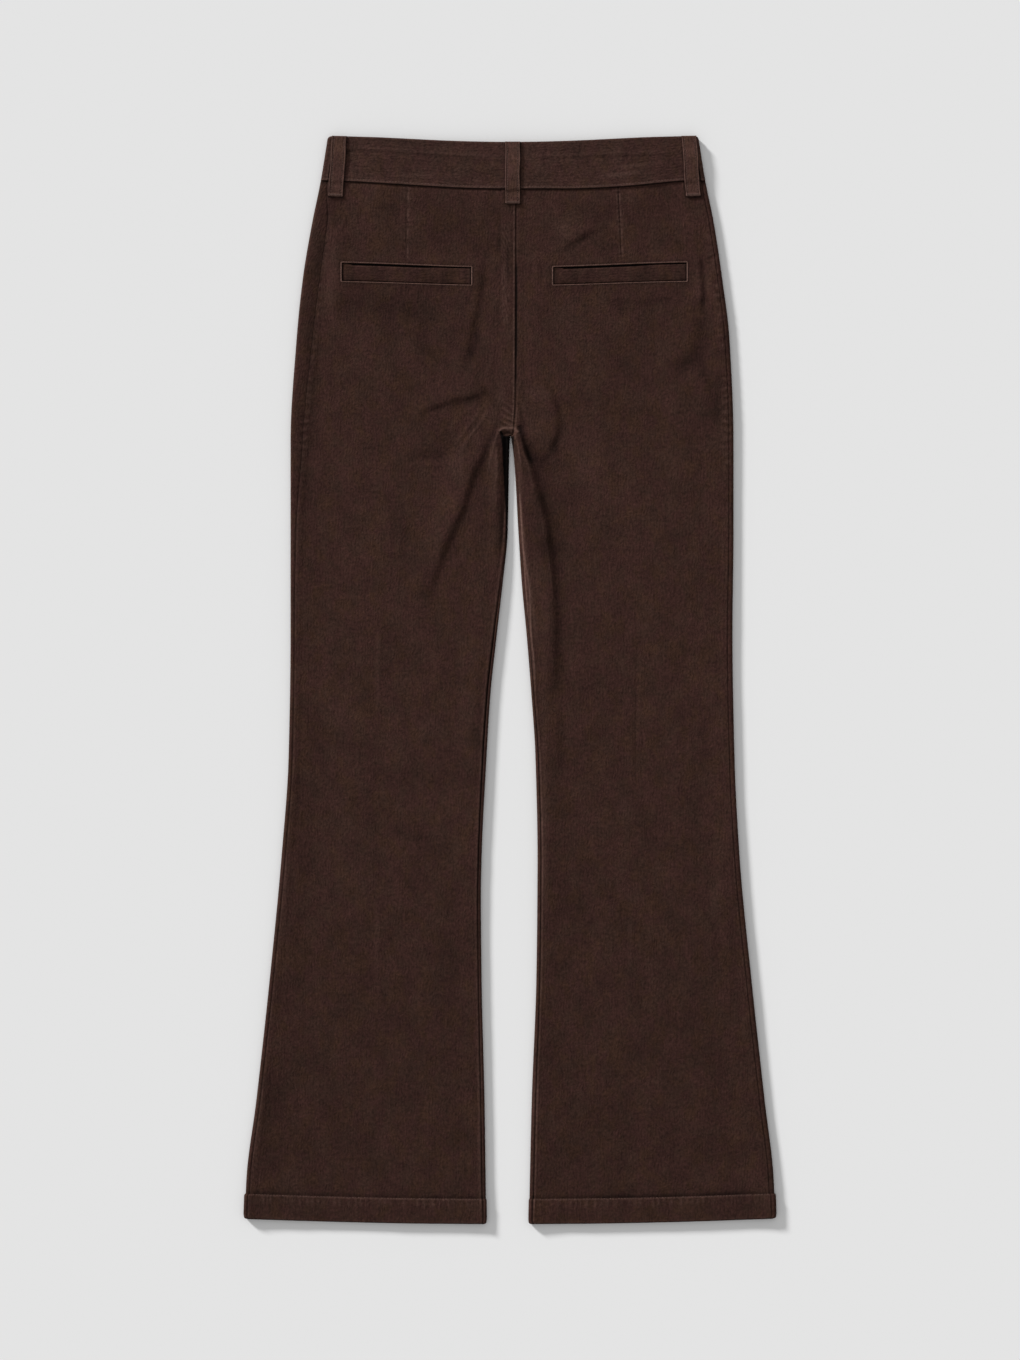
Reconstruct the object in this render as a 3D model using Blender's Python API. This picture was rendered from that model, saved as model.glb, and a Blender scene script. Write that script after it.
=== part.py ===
"""Flared needlecord trousers laid flat with the back up, every piece of cloth a closed wall.

+Z is up and the cloth lies on z = 0. The waist is towards +Y and the hems towards -Y. Left and right
are the wearer's, so left is towards -X. Sizes are in millimetres until a mesh is made.
A level is a height above the hems along the laid garment, as a tailor measures a leg.
"Out" is a distance from the centre line towards the side that a piece belongs to.
A lap is a distance along the cloth from the outermost line of a folded edge, positive on the upper side.
"""

import math
from collections import namedtuple

import bmesh
import bpy

MILLIMETRE = 0.001

# The garment
LENGTH = 1070.0  # waist edge to hem
CROTCH = 776.0  # level of the point where the four panels meet
BAND_FOOT = 1026.0  # level of the seam between the panels and the waistband
CLOTH = 1.2  # one layer of needlecord
BAND_CLOTH = 1.8  # the waistband, folded double
HEM_CLOTH = 2.0  # the panels' ends, turned in
HEM_DEPTH = 26.0
HEM_LIFT = 0.5  # extra height of the back over the hem's four layers
HEM_LIFT_FADE = 25.0  # how far above the hem it has gone
HEM_CURVE_START, HEM_CURVE_END = 25.0, 260.0  # distances out between which the hem's line rises
HEM_CURVE_POWER = 1.9
HEM_CURVE_FULL_LEVEL, HEM_CURVE_END_LEVEL = 30.0, 140.0
HEM_STEP = 1.5  # how far the thicker hem stands out at the leg's edges
SEAM = 0.3  # the gap between two pieces that are sewn together
ROLL = 2.6  # radius of the rounded edge of a leg, half of its thickness
BAND_ROLL = 2.8  # the same for the waistband
SAG = 0.9  # how much lower the cloth lies away from the edges
BAND_SAG = 0.2  # the same for the waistband
SAG_REACH = 35.0  # how far from an edge the cloth lies at its lowest
WAIST_DIP = 6.3  # how much lower the waist lies at the centre back than at the sides
DIP_START_LEVEL, DIP_FULL_LEVEL = 820.0, 990.0
HALF_WAIST = 196.0
CENTRE_FRONT = 1.0  # x of the line where the fronts meet
CROTCH_X = 0.5  # x of the point where the four panels meet
CENTRE_FRONT_LEVEL = 800.0  # level from which the front seam runs straight

# What lies under the front of the waistband and lifts it
LIFT = 2.2
LIFT_FULL_OUT, LIFT_END_OUT = 130.0, 165.0
FRONT_OUTS = (LIFT_END_OUT, LIFT_FULL_OUT, 80.0, 38.0)  # columns of the front's flat part at the waist
LIFT_START_LEVEL, LIFT_FULL_LEVEL = 960.0, 1010.0

# The fly and the fastening, all behind or under the front
UNDERLAP = 34.0  # how far the waistband's left end runs on under the right one
OVERLAP = 11.0  # how far its right end runs past the centre front
BAND_STACK = 0.8  # extra height of the back over the fastened waistband
BAND_STACK_FULL_OUT, BAND_STACK_END_OUT = 38.0, 80.0
BAND_STACK_START_LEVEL, BAND_STACK_FULL_LEVEL = 990.0, 1024.0
FLY_STACK = 1.0  # extra height of the back over the fly
FLY_STACK_FULL_OUT, FLY_STACK_END_OUT = 26.0, 60.0
FLY_STACK_RUN = 30.0  # how far below the fly's foot that height starts
FLY_FOOT = 835.0
FLY_HALF_WIDTH = 20.0
ZIP_HALF_WIDTH = 12.0
ZIP_ABOVE_FOOT = 8.0  # how far above the shield's foot the zip starts
ZIP_TOP = 1004.0
ZIP_THICK = 0.8
SHIELD_THICK = 1.1
SLIDER_WIDTH, SLIDER_LENGTH, SLIDER_THICK = 7.0, 10.0, 1.6
SLIDER_CORNER = 1.5
BUTTON_RADIUS, BUTTON_THICK, BUTTON_RIM = 8.5, 1.9, 1.6
BUTTON_WELL, BUTTON_WELL_SLOPE = 0.5, 0.6  # depth of the hollow inside the rim, and the run of its side
BUTTON_FACE_CORNER, BUTTON_BACK_CORNER = 0.5, 0.4
BUTTON_LEVEL = 1048.0
BUTTON_SIDES = 28
BUTTON_HOLE_RADIUS, BUTTON_HOLE_SPREAD = 0.9, 1.9
BUTTON_HOLE_SIDES = 10

# Belt loops and pockets
LOOP_WIDTH, LOOP_THICK, LOOP_BOW = 14.7, 1.4, 1.2
LOOP_FOOT = 1010.5
LOOP_END_THIN = 0.3  # how much a loop thins from both faces at its ends
LOOP_REACH = 3.0  # how far above a row of the loop the cloth that it clears is looked at
POCKET_FOOT, POCKET_TOP = 927.3, 945.8
POCKET_SLIT = 1.6  # the mouth left open above the welt
WELT_THICK, WELT_PROUD = 1.5, 0.5
WELT_EDGE, WELT_EDGE_THIN = 0.6, 0.4  # width of its rounded edges, and how much they thin

LEFT, RIGHT = -1, 1

Edge = namedtuple("Edge", "level out lap")
CentreSeam = namedtuple("CentreSeam", "level x")
Fold = namedtuple("Fold", "height width path")
Side = namedtuple("Side", "name side outer inner pocket_near pocket_far hem_rise")
Loop = namedtuple("Loop", "name side top_out foot_out")
LoopRow = namedtuple("LoopRow", "level rise")
LoopColumn = namedtuple("LoopColumn", "share thin")
ShieldRow = namedtuple("ShieldRow", "level width_share")

# The outer edge of each leg and hip, and the lap of the side seam.
LEFT_OUTER = (
    Edge(level=0.0, out=260.9, lap=5.5),
    Edge(level=40.0, out=259.3, lap=5.5),
    Edge(level=120.0, out=249.7, lap=5.5),
    Edge(level=240.0, out=236.5, lap=5.5),
    Edge(level=360.0, out=224.9, lap=5.5),
    Edge(level=460.0, out=217.8, lap=5.5),
    Edge(level=580.0, out=215.9, lap=5.5),
    Edge(level=680.0, out=215.9, lap=7.0),
    Edge(level=770.0, out=215.9, lap=13.3),
    Edge(level=870.0, out=210.0, lap=17.0),
    Edge(level=930.0, out=203.8, lap=18.0),
    Edge(level=985.0, out=194.6, lap=16.5),
    Edge(level=1025.0, out=186.4, lap=8.5),
    Edge(level=1070.0, out=179.1, lap=8.5),
)
RIGHT_OUTER = (
    Edge(level=0.0, out=260.9, lap=6.5),
    Edge(level=40.0, out=259.4, lap=6.5),
    Edge(level=120.0, out=250.7, lap=6.5),
    Edge(level=240.0, out=237.6, lap=6.5),
    Edge(level=360.0, out=226.0, lap=6.5),
    Edge(level=460.0, out=220.9, lap=6.5),
    Edge(level=580.0, out=218.9, lap=6.5),
    Edge(level=680.0, out=219.9, lap=6.0),
    Edge(level=770.0, out=219.9, lap=6.0),
    Edge(level=870.0, out=216.0, lap=6.0),
    Edge(level=930.0, out=208.8, lap=6.0),
    Edge(level=985.0, out=200.5, lap=6.0),
    Edge(level=1025.0, out=192.4, lap=6.0),
    Edge(level=1070.0, out=185.2, lap=6.0),
)

# The inner edge of each leg below the crotch, and the lap of the inseam.
LEFT_INNER = (
    Edge(level=0.0, out=23.4, lap=5.0),
    Edge(level=120.0, out=25.0, lap=5.0),
    Edge(level=240.0, out=27.9, lap=4.5),
    Edge(level=320.0, out=28.6, lap=4.5),
    Edge(level=360.0, out=27.9, lap=4.5),
    Edge(level=460.0, out=23.0, lap=5.0),
    Edge(level=520.0, out=19.3, lap=4.8),
    Edge(level=580.0, out=12.9, lap=4.5),
    Edge(level=630.0, out=7.2, lap=3.8),
    Edge(level=680.0, out=2.9, lap=3.0),
    Edge(level=750.0, out=1.8, lap=2.0),
    Edge(level=770.0, out=0.6, lap=0.8),
    Edge(level=CROTCH, out=-0.35, lap=0.1),
)
RIGHT_INNER = (
    Edge(level=0.0, out=18.6, lap=5.5),
    Edge(level=120.0, out=21.3, lap=5.5),
    Edge(level=240.0, out=25.9, lap=5.0),
    Edge(level=320.0, out=26.9, lap=5.0),
    Edge(level=360.0, out=27.1, lap=5.0),
    Edge(level=460.0, out=25.0, lap=4.5),
    Edge(level=520.0, out=21.1, lap=4.0),
    Edge(level=580.0, out=16.3, lap=4.0),
    Edge(level=630.0, out=11.6, lap=4.0),
    Edge(level=680.0, out=8.3, lap=4.0),
    Edge(level=750.0, out=4.2, lap=2.5),
    Edge(level=770.0, out=1.7, lap=0.8),
    Edge(level=CROTCH, out=0.65, lap=0.1),
)

# The seam between the two back panels.
CENTRE_BACK = (
    CentreSeam(level=CROTCH, x=CROTCH_X),
    CentreSeam(level=783.0, x=0.8),
    CentreSeam(level=792.0, x=3.0),
    CentreSeam(level=806.0, x=5.2),
    CentreSeam(level=LENGTH, x=5.8),
)

# The largest folds of the back, as ridges and troughs along a path of (x, level).
FOLDS = (
    Fold(height=2.6, width=8.0, path=((-14.0, 778.0), (-17.7, 760.0), (-23.0, 731.0), (-34.0, 680.0))),
    Fold(height=-1.1, width=7.0, path=((-20.0, 766.0), (-39.0, 736.0), (-56.0, 684.0), (-80.0, 612.0))),
    Fold(height=2.6, width=8.0, path=((9.0, 780.0), (22.6, 731.0), (36.4, 653.0), (44.0, 574.0))),
    Fold(height=-1.0, width=5.0, path=((23.0, 753.0), (36.0, 712.0), (43.0, 667.0), (51.0, 600.0))),
    Fold(height=1.0, width=8.0, path=((37.0, 825.0), (51.0, 781.0), (45.0, 761.0))),
    Fold(height=0.9, width=9.0, path=((-76.0, 811.0), (-29.0, 815.0))),
)
FOLD_FADE = 0.35  # share of a fold's length over which it rises and dies away

SIDES = (
    Side("left", LEFT, LEFT_OUTER, LEFT_INNER, pocket_near=37.8, pocket_far=165.6, hem_rise=5.1),
    Side("right", RIGHT, RIGHT_OUTER, RIGHT_INNER, pocket_near=42.3, pocket_far=174.0, hem_rise=5.4),
)
BACK_LOOPS = (
    Loop("loop_left", LEFT, top_out=167.6, foot_out=171.5),
    Loop("loop_center", RIGHT, top_out=2.5, foot_out=2.5),
    Loop("loop_right", RIGHT, top_out=176.0, foot_out=180.0),
)
FRONT_LOOPS = (
    Loop("loop_front_left", LEFT, top_out=92.0, foot_out=94.0),
    Loop("loop_front_right", RIGHT, top_out=94.0, foot_out=96.0),
)

# Rows of a panel from hem to waist, and columns of a back panel from its inner seam to its side seam.
LEG_LEVELS = (0, 25, 26.5, 70, 130, 200, 270, 340, 410, 470, 530, 580, 620, 655, 690, 720, 745, 762, 771)
BODY_LEVELS = (CROTCH, 777.2, 778.6, 784, 795, 815, 845, 880, 908)
WAIST_LEVELS = (POCKET_FOOT, POCKET_TOP, LIFT_START_LEVEL, 985, LIFT_FULL_LEVEL, BAND_FOOT - SEAM)
LEVELS = LEG_LEVELS + BODY_LEVELS + WAIST_LEVELS
POCKET_NEAR_SHARE, POCKET_FAR_SHARE = 0.2, 0.84
DRAW_START_LEVEL, DRAW_FULL_LEVEL = 820.0, 915.0  # where the columns are drawn to the pocket's ends
FLAT_SHARES = (0.22, 0.4, 0.62, 0.82)  # columns of the front's flat part, from the outer edge
CROTCH_ACROSS = (13.0, 8.0, 5.0, 2.6, 1.2, 0.0)  # and of its part beside the centre seam
TURN_SHARES = (1.0, 0.5, 0.0, -0.5, -1.0)  # of the quarter turn round the outer edge
INSEAM_SHARES = (0.0, 0.2, 0.4, 0.6, 0.8, 1.0)  # of the turn round the inner edge
WELT_SHARES = (0.0, 0.005, 0.25, 0.5, 0.75, 0.995, 1.0)
STRIP_SHARES = (-1.0, -0.5, 0.0, 0.5, 1.0)
COLUMNS = (0, 0.008, 0.02, 0.04, 0.07, 0.11, 0.155, 0.2, 0.31, 0.42, 0.53, 0.64, 0.74, 0.84, 0.92, 0.97, 1)
BAND_LEVELS = (BAND_FOOT, 1027.0, 1040.0, 1055.0, 1068.8, 1069.6, LENGTH)
BAND_EDGE = {BAND_FOOT: 0.25, 1069.6: 0.35, LENGTH: 0.75}  # how much a wall thins at its rounded edges
BAND_BACK_COLUMNS = (1, 0.97, 0.9, 0.8, 0.66, 0.5, 0.36, 0.24, 0.16, 0.08, 0.0)

CORD = (0.040, 0.020, 0.016)
CORD_DARK = (0.034, 0.017, 0.013)
CORD_LIGHT = (0.050, 0.027, 0.021)
METAL = (0.30, 0.25, 0.17)
HORN = (0.022, 0.012, 0.008)


# --- numbers ---------------------------------------------------------------------------------------


def ramp(value, start, end):
    """0 at start and 1 at end, straight between."""
    return min(1.0, max(0.0, (value - start) / (end - start)))


def smooth(value, start, end):
    """0 at start and 1 at end, level at both."""
    t = ramp(value, start, end)
    return t * t * (3 - 2 * t)


def mix(a, b, share):
    return a + (b - a) * share


def curve(table, column, level):
    """The named column of a table of levels, as a smooth curve that doesn't overshoot its rows."""
    levels = [row.level for row in table]
    values = [getattr(row, column) for row in table]
    if level <= levels[0]:
        return values[0]
    if level >= levels[-1]:
        return values[-1]
    i = max(k for k in range(len(levels) - 1) if levels[k] <= level)
    slopes = [(values[k + 1] - values[k]) / (levels[k + 1] - levels[k]) for k in range(len(levels) - 1)]

    def tangent(k):
        if k == 0 or k == len(slopes):
            return slopes[min(k, len(slopes) - 1)]
        before, after = slopes[k - 1], slopes[k]
        return 2 * before * after / (before + after) if before * after > 0 else 0.0

    span = levels[i + 1] - levels[i]
    t = (level - levels[i]) / span
    rise = t * t * (3 - 2 * t)
    start_bend = span * tangent(i) * t * (1 - t) ** 2
    end_bend = span * tangent(i + 1) * t * t * (t - 1)
    return mix(values[i], values[i + 1], rise) + start_bend + end_bend


def piecewise(value, knots):
    """Straight between (value, result) knots."""
    for (a, from_a), (b, to_b) in zip(knots, knots[1:]):
        if value <= b:
            return mix(from_a, to_b, ramp(value, a, b))
    return knots[-1][1]


# --- the laid form ---------------------------------------------------------------------------------


def fold_height(fold, x, level):
    """Height of one fold at a point: a soft ridge across its path, dying away towards its ends."""
    runs = [math.dist(a, b) for a, b in zip(fold.path, fold.path[1:])]
    nearest, along, walked = math.inf, 0.0, 0.0
    for (ax, ay), (bx, by), run in zip(fold.path, fold.path[1:], runs):
        t = ((x - ax) * (bx - ax) + (level - ay) * (by - ay)) / run**2
        t = min(1.0, max(0.0, t))
        away = math.dist((x, level), (mix(ax, bx, t), mix(ay, by, t)))
        if away < nearest:
            nearest, along = away, (walked + t * run) / sum(runs)
        walked += run
    fade = smooth(along, 0.0, FOLD_FADE) * smooth(1 - along, 0.0, FOLD_FADE)
    return fold.height * fade * math.exp(-((nearest / fold.width) ** 2))


def lift(x, level):
    """How far the front lies above the ground, over its belt loops and button."""
    across = 1 - ramp(abs(x), LIFT_FULL_OUT, LIFT_END_OUT)
    return LIFT * across * ramp(level, LIFT_START_LEVEL, LIFT_FULL_LEVEL)


def stack(x, level):
    """Extra height of the back over the fly and the fastened waistband."""
    fly = FLY_STACK * (1 - smooth(abs(x), FLY_STACK_FULL_OUT, FLY_STACK_END_OUT))
    band = BAND_STACK * (1 - smooth(abs(x), BAND_STACK_FULL_OUT, BAND_STACK_END_OUT))
    over_fly = smooth(level, FLY_FOOT - FLY_STACK_RUN, FLY_FOOT)
    over_band = smooth(level, BAND_STACK_START_LEVEL, BAND_STACK_FULL_LEVEL)
    return max(fly * over_fly, band * over_band)


def back_rise(x, level, edge_distance):
    """What the laid back has above the plain height of a rolled edge."""
    sag = SAG * smooth(edge_distance, ROLL, SAG_REACH)
    hem = HEM_LIFT * (1 - ramp(level, HEM_DEPTH - 1, HEM_DEPTH + HEM_LIFT_FADE))
    folds = sum(fold_height(fold, x, level) for fold in FOLDS)
    return folds + hem + lift(x, level) + stack(x, level) - sag


def rim(lap, roll, depth):
    """(distance in from the outermost line, height) of the cloth at a lap, depth under its outer face."""
    quarter = roll * math.pi / 2
    if lap <= -quarter:
        return roll - quarter - lap, depth
    if lap >= quarter:
        return roll + lap - quarter, 2 * roll - depth
    turn = lap / roll
    return roll - (roll - depth) * math.cos(turn), roll + (roll - depth) * math.sin(turn)


def lap_of(inset, roll):
    """The lap, on top, of a point that far in from the outermost line."""
    return inset - roll + roll * math.pi / 2


def place(side, out, level, height):
    """A point of the laid garment, in metres."""
    x = side.side * out
    bow = (1 + math.cos(math.pi * min(1.0, abs(x) / HALF_WAIST))) / 2
    dip = WAIST_DIP * bow * smooth(level, DIP_START_LEVEL, DIP_FULL_LEVEL)
    share = ramp(out, HEM_CURVE_START, HEM_CURVE_END) ** HEM_CURVE_POWER
    rise = side.hem_rise * share * (1 - smooth(level, HEM_CURVE_FULL_LEVEL, HEM_CURVE_END_LEVEL))
    y = level - LENGTH / 2 - dip + rise
    return tuple(MILLIMETRE * value for value in (x, y, height))


def cloth_at(level):
    return HEM_CLOTH if level < HEM_DEPTH else CLOTH


def hem_step(level):
    return HEM_STEP if level < HEM_DEPTH else 0.0


def outer_out(side, level):
    return curve(side.outer, "out", level) + hem_step(level)


def inner_out(side, level):
    return curve(side.inner, "out", level) - hem_step(level) / 2


# --- walls -----------------------------------------------------------------------------------------


def finish(name, mesh, colour, metallic, roughness):
    """Make the object of a mesh, with a material of its own."""
    material = bpy.data.materials.new(name)
    material.use_nodes = True
    shader = material.node_tree.nodes["Principled BSDF"]
    shader.inputs["Base Color"].default_value = (*colour, 1)
    shader.inputs["Metallic"].default_value = metallic
    shader.inputs["Roughness"].default_value = roughness
    mesh.materials.append(material)
    mesh.shade_smooth()
    mesh.set_sharp_from_angle(angle=math.radians(40))
    thing = bpy.data.objects.new(name, mesh)
    bpy.context.scene.collection.objects.link(thing)
    return thing


def wall(name, rows, colour, window=None, metallic=0.0, roughness=0.9):
    """A closed wall of cloth from rows of (outer point, inner point).

    window is the range of rows and of columns that are left open, as (row, row, column, column).
    """
    bm = bmesh.new()
    outer = [[bm.verts.new(pair[0]) for pair in row] for row in rows]
    inner = [[bm.verts.new(pair[1]) for pair in row] for row in rows]
    last_row, last_column = len(rows) - 1, len(rows[0]) - 1
    first_open, end_open, left_open, right_open = window or (0, 0, 0, 0)

    def rims(path):
        for (i, j), (k, m) in zip(path, path[1:]):
            bm.faces.new((outer[i][j], outer[k][m], inner[k][m], inner[i][j]))

    for i in range(last_row):
        for j in range(last_column):
            if first_open <= i < end_open and left_open <= j < right_open:
                continue
            corners = ((i, j), (i, j + 1), (i + 1, j + 1), (i + 1, j))
            bm.faces.new([outer[a][b] for a, b in corners])
            bm.faces.new([inner[a][b] for a, b in reversed(corners)])
    rims(around(0, last_row, 0, last_column))
    if window:
        rims(around(*window))
    loose = [v for v in bm.verts if not v.link_faces]
    bmesh.ops.delete(bm, geom=loose, context="VERTS")
    bmesh.ops.recalc_face_normals(bm, faces=bm.faces)
    mesh = bpy.data.meshes.new(name)
    bm.to_mesh(mesh)
    bm.free()
    return finish(name, mesh, colour, metallic, roughness)


def around(first, last, left, right):
    """The grid points around a block of rows and columns, back to the first."""
    down = [(i, left) for i in range(first, last)]
    along = [(last, j) for j in range(left, right)]
    up = [(i, right) for i in range(last, first, -1)]
    back = [(first, j) for j in range(right, left, -1)]
    return down + along + up + back + [(first, left)]


# --- the back --------------------------------------------------------------------------------------


def back_span(side, level):
    """Where a back panel starts and ends above the crotch, as distances out."""
    start = side.side * curve(CENTRE_BACK, "x", level) + SEAM / 2
    inset, _ = rim(curve(side.outer, "lap", level) + SEAM / 2, ROLL, 0.0)
    return start, outer_out(side, level) - inset


def body_column(side, level, share):
    """Distance out of a back panel's column above the crotch, drawn to the pocket's ends at its level."""
    start, end = back_span(side, level)
    knots = (
        (0, start),
        (POCKET_NEAR_SHARE, side.pocket_near),
        (POCKET_FAR_SHARE, side.pocket_far),
        (1, end),
    )
    drawn = smooth(level, DRAW_START_LEVEL, DRAW_FULL_LEVEL)
    return mix(mix(start, end, share), piecewise(share, knots), drawn)


def body_pair(side, level, out, depth):
    """(outer, inner) points of the back above the crotch, rolled over where the cloth turns under it."""
    start, _ = back_span(side, level)
    across, up = max(out - start, 0.01), level - CROTCH
    distance = math.hypot(across, up)
    edge = min(distance, outer_out(side, level) - out)
    turn = math.acos(1 - min(distance, ROLL) / ROLL)
    turn = max(turn, SEAM / 2 / ROLL)
    shift = depth * math.cos(turn) / distance
    rise = back_rise(side.side * out, level, edge) * math.sin(turn)
    return (
        place(side, out, level, ROLL + ROLL * math.sin(turn) + rise),
        place(side, out + across * shift, level + up * shift, ROLL + (ROLL - depth) * math.sin(turn) + rise),
    )


def leg_pair(side, level, lap, depth):
    """(outer, inner) points of a leg's upper layer at a lap from the inner edge."""
    inner = inner_out(side, level)
    pair = []
    for under in (0.0, depth):
        inset, height = rim(lap, ROLL, under)
        out = inner + inset
        edge = min(inset, outer_out(side, level) - out)
        share = max(0.0, math.sin(min(lap / ROLL, math.pi / 2)))
        rise = back_rise(side.side * out, level, edge) * share
        pair.append(place(side, out, level, height + rise))
    return tuple(pair)


def back_panel(side):
    """A back panel from its inner seam to its side seam, with the pocket mouth left open."""
    rows = []
    for level in LEVELS:
        if level >= CROTCH:
            outs = [body_column(side, level, share) for share in COLUMNS]
            rows.append([body_pair(side, level, out, CLOTH) for out in outs])
            continue
        width = outer_out(side, level) - inner_out(side, level)
        side_inset, _ = rim(curve(side.outer, "lap", level) + SEAM / 2, ROLL, 0.0)
        first = curve(side.inner, "lap", level) + SEAM / 2
        last = lap_of(width - side_inset, ROLL)
        laps = [mix(first, last, share) for share in COLUMNS]
        rows.append([leg_pair(side, level, lap, cloth_at(level)) for lap in laps])
    foot, near, far = (
        LEVELS.index(POCKET_FOOT),
        COLUMNS.index(POCKET_NEAR_SHARE),
        COLUMNS.index(POCKET_FAR_SHARE),
    )
    return wall(f"back_{side.name}", rows, CORD, window=(foot, foot + 1, near, far))


def back_height(side, out, level):
    """Height of the back's upper face, panel or waistband."""
    x = side.side * out
    edge = outer_out(side, level) - out
    if level >= BAND_FOOT:
        return 2 * BAND_ROLL + band_rise(x, level, edge)
    return 2 * ROLL + back_rise(x, level, edge)


def welt(side):
    """The strip of double cloth that closes the lower part of a pocket mouth."""
    low, high = POCKET_FOOT + SEAM, POCKET_TOP - POCKET_SLIT
    near, far = side.pocket_near + SEAM, side.pocket_far - SEAM
    rows = []
    for level in (low, low + WELT_EDGE, high - WELT_EDGE, high):
        row = []
        for share in WELT_SHARES:
            out = mix(near, far, share)
            thin = WELT_EDGE_THIN if level in (low, high) or share in (0.0, 1.0) else 0.0
            top = back_height(side, out, level) + WELT_PROUD
            low_face = top - WELT_THICK + thin
            row.append((place(side, out, level, top - thin), place(side, out, level, low_face)))
        rows.append(row)
    return wall(f"welt_{side.name}", rows, CORD_DARK)


# --- the front -------------------------------------------------------------------------------------


def side_laps(side, level, roll):
    """Laps of the columns of a front piece that turns round the outer edge, from its side seam."""
    seam, quarter = curve(side.outer, "lap", level) - SEAM / 2, roll * math.pi / 2
    return [seam, (seam + quarter) / 2] + [quarter * share for share in TURN_SHARES]


def outer_edge_pairs(side, level, roll, depth, rise):
    """(outer, inner) points round the outer edge, with rise(x, level, edge) added on the upper side."""
    pairs = []
    for lap in side_laps(side, level, roll):
        pair = []
        for under in (0.0, depth):
            inset, height = rim(lap, roll, under)
            out = outer_out(side, level) - inset
            share = max(0.0, math.sin(min(lap / roll, math.pi / 2)))
            above = rise(side.side * out, level, inset) * share + lift(side.side * out, level) * (1 - share)
            pair.append(place(side, out, level, height + above))
        pairs.append(tuple(pair))
    return pairs


def flat_pair(side, level, out, depth):
    """(outer, inner) points of the front where it lies on the ground."""
    low = lift(side.side * out, level)
    return place(side, out, level, low), place(side, out, level, low + depth)


def crotch_pair(side, level, across, depth):
    """(outer, inner) points of the front near its centre seam, rolled up where it passes the crotch."""
    up = level - CROTCH
    distance = max(math.hypot(across, up), 0.01)
    turn = max(math.acos(1 - min(distance, ROLL) / ROLL), SEAM / 2 / ROLL)
    shift = depth * math.cos(turn) / distance
    middle = mix(CROTCH_X, CENTRE_FRONT, ramp(level, CROTCH, CENTRE_FRONT_LEVEL))
    seam = side.side * middle + SEAM / 2
    low = lift(0.0, level)
    return (
        place(side, seam + across, level, low + ROLL - ROLL * math.sin(turn)),
        place(
            side,
            seam + across + across * shift,
            level + up * shift,
            low + ROLL - (ROLL - depth) * math.sin(turn),
        ),
    )


def front_panel(side):
    """A front panel: from its side seam round the outer edge, under the leg and up the inner edge."""
    rows = []
    quarter = ROLL * math.pi / 2
    for level in LEVELS:
        depth = cloth_at(level)
        row = outer_edge_pairs(side, level, ROLL, depth, back_rise)
        outer = outer_out(side, level) - ROLL
        if level >= CROTCH:
            drawn = smooth(level, DRAW_START_LEVEL, DRAW_FULL_LEVEL)
            plain = [mix(outer, 0, share) for share in FLAT_SHARES]
            outs = [mix(a, b, drawn) for a, b in zip(plain, FRONT_OUTS)]
            row += [flat_pair(side, level, out, depth) for out in outs]
            row += [crotch_pair(side, level, across, depth) for across in CROTCH_ACROSS]
        else:
            inner = inner_out(side, level)
            near_edge = inner + ROLL
            outs = [mix(outer, near_edge, share) for share in FLAT_SHARES]
            row += [flat_pair(side, level, out, depth) for out in outs]
            seam = curve(side.inner, "lap", level) - SEAM / 2
            laps = [mix(-quarter, seam, share) for share in INSEAM_SHARES]
            row += [leg_pair(side, level, lap, depth) for lap in laps]
        rows.append(row)
    return wall(f"front_{side.name}", rows, CORD)


# --- the waistband ---------------------------------------------------------------------------------


def band_rise(x, level, edge_distance):
    """What the waistband's back has above the plain height of its rolled edge."""
    return lift(x, level) + stack(x, level) - BAND_SAG * smooth(edge_distance, BAND_ROLL, SAG_REACH)


def thinned(pair, thin):
    """A pair of points with the wall between them made thinner from both faces."""
    outer, inner = pair
    reach = math.dist(outer, inner)
    share = min(0.45, thin * MILLIMETRE / reach)
    return (
        tuple(mix(a, b, share) for a, b in zip(outer, inner)),
        tuple(mix(b, a, share) for a, b in zip(outer, inner)),
    )


def waistband_back():
    """The waistband across the back, from side seam to side seam."""
    rows = []
    for level in BAND_LEVELS:
        halves = []
        for side in SIDES:
            inset, _ = rim(curve(side.outer, "lap", level) + SEAM / 2, BAND_ROLL, 0.0)
            end = outer_out(side, level) - inset
            outs = [end * share for share in BAND_BACK_COLUMNS]
            halves.append([(side, out) for out in outs])
        row = []
        for side, out in halves[0] + halves[1][-2::-1]:
            top = 2 * BAND_ROLL + band_rise(side.side * out, level, outer_out(side, level) - out)
            pair = place(side, out, level, top), place(side, out, level, top - BAND_CLOTH)
            row.append(thinned(pair, BAND_EDGE.get(level, 0)))
        rows.append(row)
    return wall("waistband_back", rows, CORD_LIGHT)


def waistband_front(side, columns):
    """A front half of the waistband, from its side seam round the edge and along columns of (x, height)."""
    rows = []
    for level in BAND_LEVELS:
        row = outer_edge_pairs(side, level, BAND_ROLL, BAND_CLOTH, band_rise)
        for x, above in columns:
            low = lift(x, level) + above
            out = side.side * x
            row.append((place(side, out, level, low), place(side, out, level, low + BAND_CLOTH)))
        rows.append([thinned(pair, BAND_EDGE.get(level, 0)) for pair in row])
    return wall(f"waistband_front_{side.name}", rows, CORD_LIGHT)


def waistband_fronts():
    """The two front halves. The right one ends over the centre front, and the left runs on behind it."""
    left, right = SIDES
    behind = BAND_CLOTH + SEAM
    tip = CENTRE_FRONT - OVERLAP
    under = [(-out, 0) for out in FRONT_OUTS] + [(tip - 3, behind), (CENTRE_FRONT + UNDERLAP, behind)]
    over = [(out, 0) for out in FRONT_OUTS] + [(CENTRE_FRONT, 0), (tip, 0)]
    waistband_front(left, under)
    waistband_front(right, over)


# --- belt loops ------------------------------------------------------------------------------------

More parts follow.
